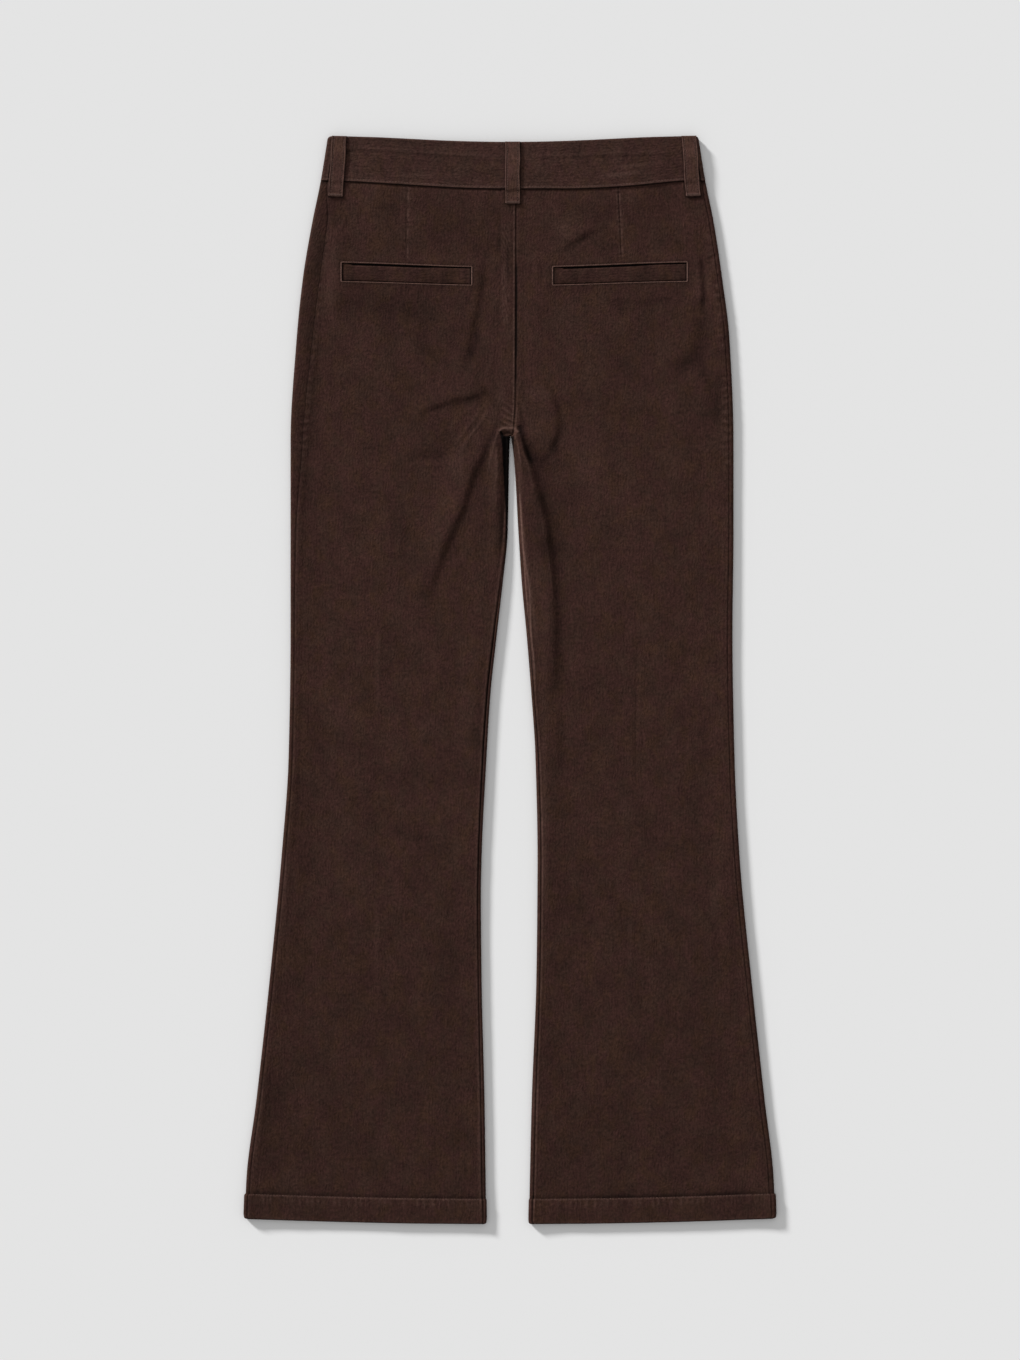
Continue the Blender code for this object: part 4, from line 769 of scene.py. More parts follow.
    def loop_shade(self, x: Array, level: Array) -> Array:
        """Painted shadows: narrow dark lines along both sides of the back's belt loops, and under their feet.
        """
        shade = np.zeros(np.shape(x))
        for leg, foot_out, top_out in BACK_LOOPS.values():
            side = leg.side
            middle = mix(foot_out, top_out, ramp(level, SIZES.loop_foot, SIZES.length))
            beside = np.abs(side * x - middle) - SIZES.loop_width / 2
            below = SIZES.loop_foot - level
            away = np.hypot(np.maximum(beside, 0), np.maximum(below, 0))
            uneven = 0.8 + 0.35 * self.SEAM_UNEVEN(x, level)
            near = (0.9 + 0.2 * (below > 0) - 0.3 * (side * x < middle)) * bell(away, 0.65) * uneven
            shade = np.maximum(shade, near + 0.08 * bell(away, 2.6))
        return shade

    def seat_seam(self, leg: Leg, out: Array, level: Array) -> tuple[Array, Array, Array]:
        """The seat seam: a sharp groove with its allowance pressed to the left, puckered near the crotch."""
        gap = leg.side * out - CENTRE_BACK(level)
        here = smooth(level, SIZES.crotch, SIZES.crotch + 4)
        groove = -0.35 * bell(gap - 0.9, 0.75) * here
        allowance = 0.4 * plateau(gap, -13.5, -1.2, 1.5) * here
        allowance += 0.16 * plateau(gap, 1.2, 6.0, 2.0) * here
        low = 1 - smooth(level, 798, 822)
        strength = 0.07 + 0.42 * low
        uneven = self.SEAM_UNEVEN(gap, level)
        puckers = strength * ripple(level + 0.5 * gap, 5.4, 2.2 * uneven) * bell(gap + 5.5, 6.0) * here
        # Lighter lines at the seam's edges, on its puckers and on the allowance's twill, as worn nap and
        # painted highlight.
        broken = 0.55 + 0.45 * ripple(level, 3.3)
        edges = 0.9 * bell(gap + 1.35, 0.6) + (0.12 + 0.4 * low) * bell(gap - 2.2, 0.6)
        wear_and_highlight = here * (0.45 + 0.55 * broken) * edges
        wear_and_highlight += 0.02 * here * plateau(gap, -12.5, -2.0, 1.5) + 0.75 * low * here * np.maximum(puckers, 0)
        twill = np.maximum(ripple(level - 1.1 * gap, 3.6, 1.5 * uneven), 0)
        wear_and_highlight += 0.32 * twill * plateau(gap, -12.8, -6.0, 0.9) * plateau(level, 890, 985, 8)
        # Painted shade: a dark line in the groove, widest over the seat, and soft dark lines beside the seam.
        wide = 0.5 * plateau(level, 832, 946, 7) + 0.5 * plateau(level, 858, 924, 7)
        line = (0.5 + 0.35 * wide - 0.25 * low) * bell(gap - 0.6, 0.65) + 0.9 * wide * bell(gap - 1.1, 1.05)
        beside = 0.14 * bell(gap + 14.6, 1.4) + 0.42 * plateau(level, 936, 960, 10) * bell(gap + 8.0, 1.0)
        return groove + allowance + puckers, wear_and_highlight, here * line + here * beside

    def side_seam(self, leg: Leg, out: Array, level: Array) -> tuple[Array, Array, Array]:
        """The side seam: a soft groove with a low ridge to its inner side, and puckers over the hip."""
        gap = self.outer_out(leg, level) - out - RIM.inset(leg.side_lap(level))
        hip = smooth(level, 700, 780) * (1 - smooth(level, 960, 1000))
        depth, paler = (0.3 - 0.2 * hip, 0.05) if leg.side < 0 else (0.3, 0.17)
        groove = -depth * bell(gap, 0.75)
        allowance = 0.22 * plateau(gap, 1.0, 5.5, 1.5)
        wave = ripple(level, 8.2, 3 * self.SEAM_UNEVEN(gap, level))
        puckers = (0.06 + 0.24 * hip) * wave * bell(gap, 4.5)
        # Lighter lines beside the groove and on the hip's puckers, as worn nap and painted highlight; painted
        # shade in the groove and beside it.
        broken = 0.5 + 0.5 * self.SEAM_UNEVEN(3 * gap, level)
        wear_and_highlight = (0.22 - 0.1 * hip) * broken * bell(gap - 1.4, 0.8)
        wear_and_highlight += 0.25 * hip * np.maximum(wave, 0) * bell(gap - 3.0, 3.0)
        painted_shade = (0.22 - paler * hip) * bell(gap, 0.7) + 0.08 * hip * bell(gap + 1.5, 2.5)
        return groove + allowance + puckers, wear_and_highlight, painted_shade

    def inseam(self, leg: Leg, out: Array, level: Array) -> tuple[Array, Array, Array]:
        """The inseam: a groove beside the inner edge, deep at the left knee, doubled at the right thigh."""
        gap = out - self.inner_out(leg, level) - RIM.inset(leg.inseam_lap(level))
        below = 1 - smooth(level, 700, 760)
        if leg.side < 0:
            deep = smooth(level, 430, 500) * (1 - smooth(level, 590, 640))
            depth = (0.45 + 0.75 * deep) * (1 - smooth(level, 600, 660))
        else:
            depth = 0.38 * (1 - smooth(level, 560, 640))
        groove = -depth * bell(gap, 0.8)
        ridge = 0.3 * bell(gap - 1.9, 1.2) * below
        puckers = 0.06 * ripple(level, 7.4, 3 * self.SEAM_UNEVEN(gap, level)) * bell(gap, 3.5) * below
        # Lighter lines on both sides of the groove, as worn nap and painted highlight; painted shade in the
        # deep groove, wider down the left calf.
        broken = 0.6 + 0.4 * self.SEAM_UNEVEN(3 * gap, level)
        wear_and_highlight = below * broken * (0.4 * bell(gap - 1.6, 0.8) + 0.15 * bell(gap + 1.3, 0.7))
        calf = smooth(level, 280, 380) * (1 - smooth(level, 560, 596)) if leg.side < 0 else 0.0
        painted_shade = (0.6 * bell(gap, 0.7) + 0.5 * calf * bell(gap, 1.0)) * (depth > 0.2)
        return groove + ridge + puckers, wear_and_highlight, painted_shade

    def pocket(self, leg: Leg, out: Array, level: Array) -> tuple[Array, Array, Array]:
        """The cloth round a pocket mouth: a low plateau over the pocket, puckered along its lower edge."""
        beyond_side = np.maximum(leg.pocket_near - out, out - leg.pocket_far)
        beyond_end = np.maximum(SIZES.pocket_foot - level, level - SIZES.pocket_top)
        away = np.hypot(np.maximum(beyond_side, 0), np.maximum(beyond_end, 0))
        plate = 0.3 * (1 - smooth(away, 3.0, 9.0))
        below = (1 - smooth(level, SIZES.pocket_foot, SIZES.pocket_foot + 1)) * (beyond_side < 1)
        ticks = 0.16 * ripple(out, 3.1) * bell(away - 2.6, 2.0) * (0.35 + 0.65 * below)
        # Lighter pucker ticks as worn nap and painted highlight, and a ring of painted shade round the mouth.
        return plate + ticks, 0.3 * np.maximum(ticks, 0), 0.25 * bell(away - 2.2, 0.9)

    def dart(self, leg: Leg, out: Array, level: Array) -> tuple[Array, Array, Array]:
        """The dart's seam from the waistband to the pocket, with its fold to one side and small puckers."""
        gap = out - leg.dart(level)
        here = smooth(level, SIZES.pocket_top + 1, SIZES.pocket_top + 12)
        groove = (-0.15 if leg.side < 0 else -0.4) * bell(gap, 0.65)
        fold = 0.2 * plateau(leg.side * gap, -5.5, -1.0, 1.4)
        wave = ripple(level, 4.6, 2.5 * self.SEAM_UNEVEN(gap, level))
        puckers = 0.2 * wave * bell(gap, 4.2)
        broken = 0.5 + 0.5 * ripple(level, 2.9)
        # A lighter line, as worn nap and painted highlight, and a line of painted shade beside the dart's
        # groove; lighter pucker crests.
        if leg.side < 0:
            wear_and_highlight, painted_shade = 0.7 * bell(gap + 0.2, 0.7), 0.25 * bell(gap - 1.6, 0.8)
        else:
            wear_and_highlight, painted_shade = 0.55 * bell(np.abs(gap) - 1.3, 0.6), (0.45 + 0.2 * broken) * bell(gap, 0.6)
        wear_and_highlight = broken * wear_and_highlight + 0.25 * np.maximum(wave, 0) * bell(gap, 3.5)
        return here * (groove + fold + puckers), here * wear_and_highlight, here * painted_shade

    def waist(self, leg: Leg, out: Array, level: Array) -> tuple[Array, Array, Array]:
        """The cloth drawn down just under the waistband, its pucker crests painted lighter as worn nap and
        painted highlight, and a line of painted shadow along the band's foot.
        """
        drop = SIZES.band_foot - level
        puckers = 0.1 * ripple(out, 5.3, 3 * self.SEAM_UNEVEN(out, level)) * bell(drop - 3.0, 3.5)
        return -0.4 * bell(drop, 1.8) + puckers, 0.3 * np.maximum(puckers, 0), 0.85 * bell(drop, 0.65)

    def hem(self, leg: Leg, out: Array, level: Array) -> tuple[Array, Array, Array]:
        """The turned hem: its line of stitching, and the puckers that the stitching draws."""
        x = leg.side * out
        from_line = level - SIZES.hem_depth
        groove = -0.2 * bell(from_line - 0.6, 1.4)
        wave = ripple(out, 5.4, 4.5 * self.SEAM_UNEVEN(out, level * 0.15))
        patchy = 0.55 + 0.45 * self.SOFT_UNEVEN(3 * out, 4 * level)
        under = ramp(level, 6, 24) * (1 - ramp(level, 24.6, 25.8))
        above = 0.35 * (1 - ramp(level, 27.5, 38)) * ramp(level, 26.5, 27.5)
        puckers = 0.3 * wave * (under + above) * patchy
        # Lighter pucker crests, a lighter foot and a lighter line at the stitching, as worn nap and painted
        # highlight.
        wear_and_highlight = 0.36 * np.maximum(wave, 0) ** 1.6 * patchy * (bell(from_line + 4.6, 3.0) + 0.2 * under)
        wear_and_highlight += 0.22 * bell(level - 1.6, 0.7) + 0.42 * (0.6 + 0.4 * patchy) * bell(from_line + 0.5, 0.6)
        # Painted shade above the stitch line and along the hem's foot.
        strength = 0.3 if leg.side < 0 else 0.44
        uneven = 0.85 + 0.45 * self.SOFT_UNEVEN(x * 1.5, 5 * level)
        shade = strength * uneven * (bell(from_line - 2.4, 2.0) + 0.5 * bell(from_line - 1.2, 0.7))
        return groove + puckers, wear_and_highlight, shade + 0.55 * bell(level, 0.9)

    def plain_rise(self, leg: Leg, out: Array, level: Array) -> Array:
        """What the back has above a rolled edge's height before any fold."""
        edge = np.minimum(self.outer_out(leg, level) - out, np.maximum(out - self.inner_out(leg, level), 0))
        body = smooth(level, SIZES.crotch, SIZES.crotch + 34)
        edge = mix(edge, self.outer_out(leg, level) - out, body)
        hem = 0.5 * (1 - ramp(level, SIZES.hem_depth - 1, SIZES.hem_depth + 25))
        x = leg.side * out
        return hem + self.lift(x, level) + self.stack(x, level) - SIZES.sag * smooth(edge, SIZES.roll, 35)

    def top(self, leg: Leg, out: Array, level: Array, above: float = 0.0) -> Array:
        """Points on the back's upper face below the waistband, in metres.

        Args:
            leg: the side that the points are on.
            out: how far out they lie, clear of the rounded edges.
            level: their levels.
            above: how far above the face they float.

        Returns:
            The points, in metres.
        """
        out, level = np.broadcast_arrays(np.asarray(out, float), np.asarray(level, float))
        relief = self.relief(leg, out, level)
        height = 2 * SIZES.roll + self.plain_rise(leg, out, level) + relief.broad + relief.fine
        height = height * self.slump(leg, level, out - self.inner_out(leg, level))
        return self.place(leg, out, level, height + above)


FORM = LaidForm()


# --- making meshes ---------------------------------------------------------------------------------


@dataclass
class Surface:
    """Rows and columns of points that a shell of cloth is made from.

    The grain holds, in metres, how far each point lies across the ribs and along them. A hole is left
    open between the rows and the columns that it names, as (row, row, column, column).
    """

    outer: Array
    inner: Array
    grain: Array
    # Then how much each point is painted lighter, as worn nap and painted highlight, and darker, as painted
    # shade.
    wear_and_highlight: Array
    painted_shade: Array
    hole: tuple[int, int, int, int] | None = None

    def __post_init__(self) -> None:
        """Spread the masks over all the points."""
        shape = self.outer.shape[:2]
        self.wear_and_highlight, self.painted_shade = np.broadcast_to(self.wear_and_highlight, shape), np.broadcast_to(self.painted_shade, shape)


def deselect() -> None:
    """Leave nothing selected, so that an operator acts on the new piece alone."""
    if bpy.context.object and bpy.context.object.mode != "OBJECT":
        bpy.ops.object.mode_set(mode="OBJECT")
    bpy.ops.object.select_all(action="DESELECT")


def numbers_of(items: bpy.types.bpy_prop_collection, name: str, width: int = 3) -> Array:
    """One property of all vertices or faces, as rows of numbers."""
    values = np.empty(len(items) * width)
    items.foreach_get(name, values)
    return values.reshape(-1, width) if width > 1 else values


def select_faces(mesh: bpy.types.Mesh, chosen: Array) -> None:
    """Select just the chosen faces, ready for edit mode."""
    bpy.context.tool_settings.mesh_select_mode = (False, False, True)
    mesh.vertices.foreach_set("select", np.zeros(len(mesh.vertices), bool))
    mesh.edges.foreach_set("select", np.zeros(len(mesh.edges), bool))
    mesh.polygons.foreach_set("select", chosen)


def apply_modifier(piece: Object, kind: str, **settings: object) -> None:
    """Add a modifier to the active piece and apply it.

    Args:
        piece: the active object.
        kind: the modifier's type.
        settings: its settings by name.
    """
    modifier = piece.modifiers.new(kind.title(), kind)
    for name, value in settings.items():
        setattr(modifier, name, value)
    bpy.ops.object.modifier_apply(modifier=modifier.name)


def cloth_shell(name: str, surface: Surface, finish: Material, reverse: Material) -> Object:
    """Make a closed shell of cloth: a flat grid given its thickness, then laid on the surface's points.

    Args:
        name: the piece's name.
        surface: its rows and columns of points.
        finish: the material of its outer face and its edges.
        reverse: the material of its inner face.

    Returns:
        The new object.
    """
    deselect()
    rows, columns = surface.wear_and_highlight.shape
    bpy.ops.mesh.primitive_grid_add(x_subdivisions=columns - 1, y_subdivisions=rows - 1, size=1.0)
    piece = bpy.context.object
    piece.name = piece.data.name = name
    if surface.hole:
        open_hole(piece, surface.hole, rows, columns)
    piece.data.materials.append(finish)
    piece.data.materials.append(reverse)
    thickness = 0.1
    apply_modifier(piece, "SOLIDIFY", thickness=thickness, offset=-1.0, material_offset=1)

    mesh = piece.data
    flat = numbers_of(mesh.vertices, "co")
    column = np.rint((flat[:, 0] + 0.5) * (columns - 1)).astype(int)
    row = np.rint((flat[:, 1] + 0.5) * (rows - 1)).astype(int)
    inside = flat[:, 2] < -thickness / 2
    points = np.where(inside[:, None], surface.inner[row, column], surface.outer[row, column])
    mesh.vertices.foreach_set("co", points.ravel())
    across = np.diff(surface.outer, axis=1)[:-1]
    along = np.diff(surface.outer, axis=0)[:, :-1]
    through = (surface.outer - surface.inner)[:-1, :-1]
    if (np.cross(across, along) * through).sum() < 0:
        mesh.flip_normals()

    give_masks(mesh, surface.grain[row, column], surface.wear_and_highlight[row, column], surface.painted_shade[row, column])
    mesh.update()
    bpy.ops.object.shade_smooth_by_angle(angle=math.radians(50))
    return piece


def give_masks(mesh: bpy.types.Mesh, grain: Array, wear_and_highlight: Array, painted_shade: Array) -> None:
    """Give a mesh the grain map and the masks that its finish reads.

    Args:
        mesh: the mesh.
        grain: how far each point lies across the ribs and along them, in metres.
        wear_and_highlight: how much lighter it is painted, as worn nap and as painted highlight.
        painted_shade: how much darker it is painted, as painted shade.
    """
    for label, value in (("wear_and_highlight", wear_and_highlight), ("painted_shade", painted_shade)):
        layer = mesh.attributes.new(label, "FLOAT", "POINT")
        layer.data.foreach_set("value", np.full(len(mesh.vertices), value, np.float32))
    while len(mesh.uv_layers) > 0:
        mesh.uv_layers.remove(mesh.uv_layers[0])
    corners = np.empty(len(mesh.loops), int)
    mesh.loops.foreach_get("vertex_index", corners)
    mesh.uv_layers.new(name="grain").data.foreach_set("uv", grain[corners].ravel())


def open_hole(piece: Object, hole: tuple[int, int, int, int], rows: int, columns: int) -> None:
    """Delete the faces of a flat grid between two rows and two columns."""
    centres = numbers_of(piece.data.polygons, "center")
    column = np.floor((centres[:, 0] + 0.5) * (columns - 1))
    row = np.floor((centres[:, 1] + 0.5) * (rows - 1))
    low, high, near, far = hole
    select_faces(piece.data, (row >= low) & (row < high) & (column >= near) & (column < far))
    bpy.ops.object.mode_set(mode="EDIT")
    bpy.ops.mesh.delete(type="FACE")
    bpy.ops.object.mode_set(mode="OBJECT")


def tube(name: str, points: Array, radius: float, finish: Material, cyclic: bool = False) -> Object:
    """Make a thin round tube along points.

    Args:
        name: the piece's name.
        points: the tube's middle line, in metres.
        radius: the tube's radius, in millimetres.
        finish: its material.
        cyclic: whether it closes on itself.

    Returns:
        The new object, a mesh.
    """
    deselect()
    bpy.ops.curve.primitive_nurbs_path_add(location=(0, 0, 0))
    piece = bpy.context.object
    piece.name = name
    curve = piece.data
    curve.splines.clear()
    spline = curve.splines.new("POLY")
    spline.points.add(len(points) - 1)
    spline.points.foreach_set("co", np.hstack([points, np.ones((len(points), 1))]).ravel())
    spline.use_cyclic_u = cyclic
    curve.dimensions = "3D"
    curve.bevel_depth = radius * MILLIMETRE
    curve.bevel_resolution = 1
    curve.use_fill_caps = not cyclic
    bpy.ops.object.convert(target="MESH")
    piece.data.name = name
    piece.data.materials.clear()
    piece.data.materials.append(finish)
    bpy.ops.object.shade_smooth_by_angle(angle=math.radians(60))
    return piece


@dataclass(frozen=True)
class Thread:
    """How a row of stitching looks: the length, pitch, width and height of its stitches."""

    length: float = 2.3
    pitch: float = 2.9
    width: float = 0.62
    height: float = 0.42
    sink: float = 0.12


TOPSTITCH = Thread()
EDGE_STITCH = Thread(length=1.9, pitch=2.4, width=0.55, height=0.4)
HEM_STITCH = Thread(sink=0.27)
BAR_TACK = Thread(length=1.6, pitch=0.75, width=0.5, height=0.5, sink=0.05)


def one_stitch() -> tuple[Array, Array]:
    """Model one stitch, a small bead drawn out along x, 1 long, wide and high.

    Returns:
        Its points, and its faces as rows of four corners, the last one doubled in a triangle.
    """
    deselect()
    bpy.ops.mesh.primitive_uv_sphere_add(segments=6, ring_count=4, radius=0.5)
    bead = bpy.context.object
    bpy.ops.object.mode_set(mode="EDIT")
    bpy.ops.transform.rotate(value=math.pi / 2, orient_axis="Y", center_override=(0, 0, 0))
    bpy.ops.object.mode_set(mode="OBJECT")
    points = numbers_of(bead.data.vertices, "co")
    points[:, 0] = np.sign(points[:, 0]) * np.abs(2 * points[:, 0]) ** 0.55 / 2
    # The sphere's faces come in no fixed order.
    faces = sorted(list(face.vertices) for face in bead.data.polygons)
    quads = np.array([face + face[-1:] * (4 - len(face)) for face in faces])
    mesh = bead.data
    bpy.data.objects.remove(bead)
    bpy.data.meshes.remove(mesh)
    return points, quads


class Stitching:
    """Rows of stitches, gathered and then made as one mesh."""

    def __init__(self, name: str, finish: Material) -> None:
        """Start with no stitches.

        Args:
            name: the piece's name.
            finish: the thread's material.
        """
        self.name, self.finish = name, finish
        self.middles: list[Array] = []
        self.runs: list[Array] = []
        self.sizes: list[Array] = []

    def add(self, line: Array, thread: Thread, side_up: float = 1.0) -> None:
        """Lay a row of stitches end to end along a line.

        Args:
            line: points close together along the row, in metres.
            thread: the stitches' sizes.
            side_up: 1 where the row is seen from above and -1 where it is seen from below.
        """
        steps = np.linalg.norm(np.diff(line, axis=0), axis=1)
        walked = np.concatenate([[0.0], np.cumsum(steps)])
        room = walked[-1] / (thread.pitch * MILLIMETRE)
        count = int(room)
        starts = (np.arange(count) + 0.5 * (room - count)) * thread.pitch
        ends = [
            np.stack([np.interp(s * MILLIMETRE, walked, line[:, k]) for k in range(3)], -1)
            for s in (starts, starts + thread.length)
        ]
        self.put(*ends, thread, side_up)

    def put(self, a: Array, b: Array, thread: Thread, side_up: float = 1.0) -> None:
        """Lay single stitches from points a to points b."""
        middle = (a + b) / 2
        middle[:, 2] += side_up * (thread.height / 2 - thread.sink) * MILLIMETRE
        self.middles.append(middle)
        self.runs.append(b - a)
        self.sizes.append(np.tile([thread.width * MILLIMETRE, thread.height * MILLIMETRE], (len(a), 1)))

    def build(self) -> Object:
        """Make the mesh of all the stitches.

        Returns:
            The new object.
        """
        bead, quads = one_stitch()
        middle, run, size = (np.vstack(parts) for parts in (self.middles, self.runs, self.sizes))
        length = np.linalg.norm(run, axis=1, keepdims=True)
        ahead = run / length
        aside = np.cross([0.0, 0.0, 1.0], ahead)
        aside /= np.linalg.norm(aside, axis=1, keepdims=True)
        axes = (ahead * length, aside * size[:, :1], np.cross(ahead, aside) * size[:, 1:])
        parts = sum(bead[None, :, k, None] * axis[:, None, :] for k, axis in enumerate(axes))
        points = (middle[:, None, :] + parts).reshape(-1, 3)
        offsets = (np.arange(len(middle)) * len(bead))[:, None, None]
        faces = (quads[None] + offsets).reshape(-1, 4)
        loops = [list(dict.fromkeys(face)) for face in faces.tolist()]
        mesh = bpy.data.meshes.new(self.name)
        mesh.from_pydata(points.tolist(), [], loops)
        mesh.materials.append(self.finish)
        mesh.shade_smooth()
        piece = bpy.data.objects.new(self.name, mesh)
        bpy.context.scene.collection.objects.link(piece)
        return piece


# --- finishes --------------------------------------------------------------------------------------


class Graph:
    """A node tree with short calls that add nodes and link them."""

    def __init__(self, tree: NodeTree) -> None:
        """Work on this tree."""
        self.tree = tree

    @property
    def ends(self) -> bpy.types.bpy_prop_collection:
        """What a group's graph takes in."""
        return self.tree.nodes["in"].outputs

    def feed(self, node: bpy.types.Node, inputs: Inputs) -> None:
        """Link sockets to a node's inputs, or set their values, by name or number."""
        for name, value in inputs.items():
            if isinstance(value, Socket):
                self.tree.links.new(value, node.inputs[name])
            else:
                node.inputs[name].default_value = value

    def node(self, kind: str, inputs: Inputs | None = None, **settings: object) -> bpy.types.Node:
        """Add a node.

        Args:
            kind: the node's type, without its ShaderNode prefix.
            inputs: values or sockets for its inputs, by name or number.
            settings: its properties by name.

        Returns:
            The new node.
        """
        node = self.tree.nodes.new(f"ShaderNode{kind}")
        for name, value in settings.items():
            setattr(node, name, value)
        self.feed(node, inputs or {})
        return node

    def group(self, tree: NodeTree, **inputs: object) -> bpy.types.bpy_prop_collection:
        """Place a node group and give its outputs."""
        node = self.node("Group", node_tree=tree)
        self.feed(node, {name.replace("_", " "): value for name, value in inputs.items()})
        return node.outputs

    def math(self, operation: str, a: object, b: object = 0.0, c: object = 0.0) -> Socket:
        """A Math node's result."""
        return self.node("Math", {0: a, 1: b, 2: c}, operation=operation).outputs[0]

    def times(self, *values: object) -> Socket:
        """The product of values."""
        return reduce(lambda a, b: self.math("MULTIPLY", a, b), values)

    def spread(self, value: Socket, low: float, high: float, first: float = 0.0, last: float = 1.0) -> Socket:
        """A value moved from between low and high to between first and last, and held there."""
        inputs = {"Value": value, "From Min": low, "From Max": high, "To Min": first, "To Max": last}
        return self.node("MapRange", inputs).outputs[0]

    def blend(self, share: object, a: object, b: object, kind: str = "MIX") -> Socket:
        """Two colours mixed by a share."""
        a, b = (value if isinstance(value, Socket) else (*value, 1.0) for value in (a, b))
        return self.node("Mix", {0: share, 6: a, 7: b}, data_type="RGBA", blend_type=kind).outputs[2]

    def shaded(self, colour: Socket, light: Socket) -> Socket:
        """A colour made lighter or darker."""
        tone = self.node("CombineColor", {0: light, 1: light, 2: light}).outputs[0]
        return self.blend(1.0, colour, tone, "MULTIPLY")

    def vector(self, operation: str, a: Socket, b: object) -> Socket:
        """A VectorMath node's result."""
        return self.node("VectorMath", {0: a, 1: b}, operation=operation).outputs[0]

    def drift(self, vector: Socket, scale: float, reach: float) -> Socket:
        """A vector that wanders by about a quarter of reach either way."""
        swirl = self.node("TexNoise", {"Vector": vector, "Scale": scale, "Detail": 2.0}).outputs["Color"]
        step = self.vector("MULTIPLY", self.vector("SUBTRACT", swirl, (0.5, 0.5, 0.5)), (reach, reach, reach))
        return self.vector("ADD", vector, step)

    def streaks(self, vector: Socket, x: float, y: float, detail: float = 2.0, rough: float = 0.5) -> Socket:
        """Noise drawn out along an axis, at so many bumps to the metre over x and over y."""
        return self.noise(self.vector("MULTIPLY", vector, (x, y, 1.0)), 1.0, detail, rough)

    def bump(self, height: Socket, strength: float, depth: float) -> Socket:
        """A bumped normal, the bumps so many millimetres deep."""
        inputs = {"Height": height, "Strength": strength, "Distance": depth * MILLIMETRE}
        return self.node("Bump", inputs).outputs["Normal"]

    def noise(self, vector: Socket, scale: float, detail: float = 2.0, roughness: float = 0.5) -> Socket:
        """Noise at so many bumps to the unit."""
        inputs = {"Vector": vector, "Scale": scale, "Detail": detail, "Roughness": roughness}
        return self.node("TexNoise", inputs).outputs["Fac"]


def new_group(name: str, inputs: dict[str, str | float], outputs: dict[str, str]) -> Graph:
    """Start a shader node group with named sockets.

    Args:
        name: the group's name.
        inputs: by name, the type of each input, or the value of a plain number.
        outputs: the type of each output by name.

    Returns:
        The group's graph, with its two end nodes named "in" and "out".
    """
    tree = bpy.data.node_groups.new(name, "ShaderNodeTree")
    for label, kind in inputs.items():
        plain = not isinstance(kind, str)
        socket_type = "NodeSocketFloat" if plain else f"NodeSocket{kind}"
        socket = tree.interface.new_socket(label, in_out="INPUT", socket_type=socket_type)
        if plain:
            socket.default_value = kind
    for label, kind in outputs.items():
        tree.interface.new_socket(label, in_out="OUTPUT", socket_type=f"NodeSocket{kind}")
    tree.nodes.new("NodeGroupInput").name = "in"
    tree.nodes.new("NodeGroupOutput").name = "out"
    return Graph(tree)


def put_out(graph: Graph, **results: Socket) -> NodeTree:
    """Link a group's results to its outputs and return the finished tree."""
    graph.feed(graph.tree.nodes["out"], results)
    return graph.tree


CORD_PITCH = 0.0029


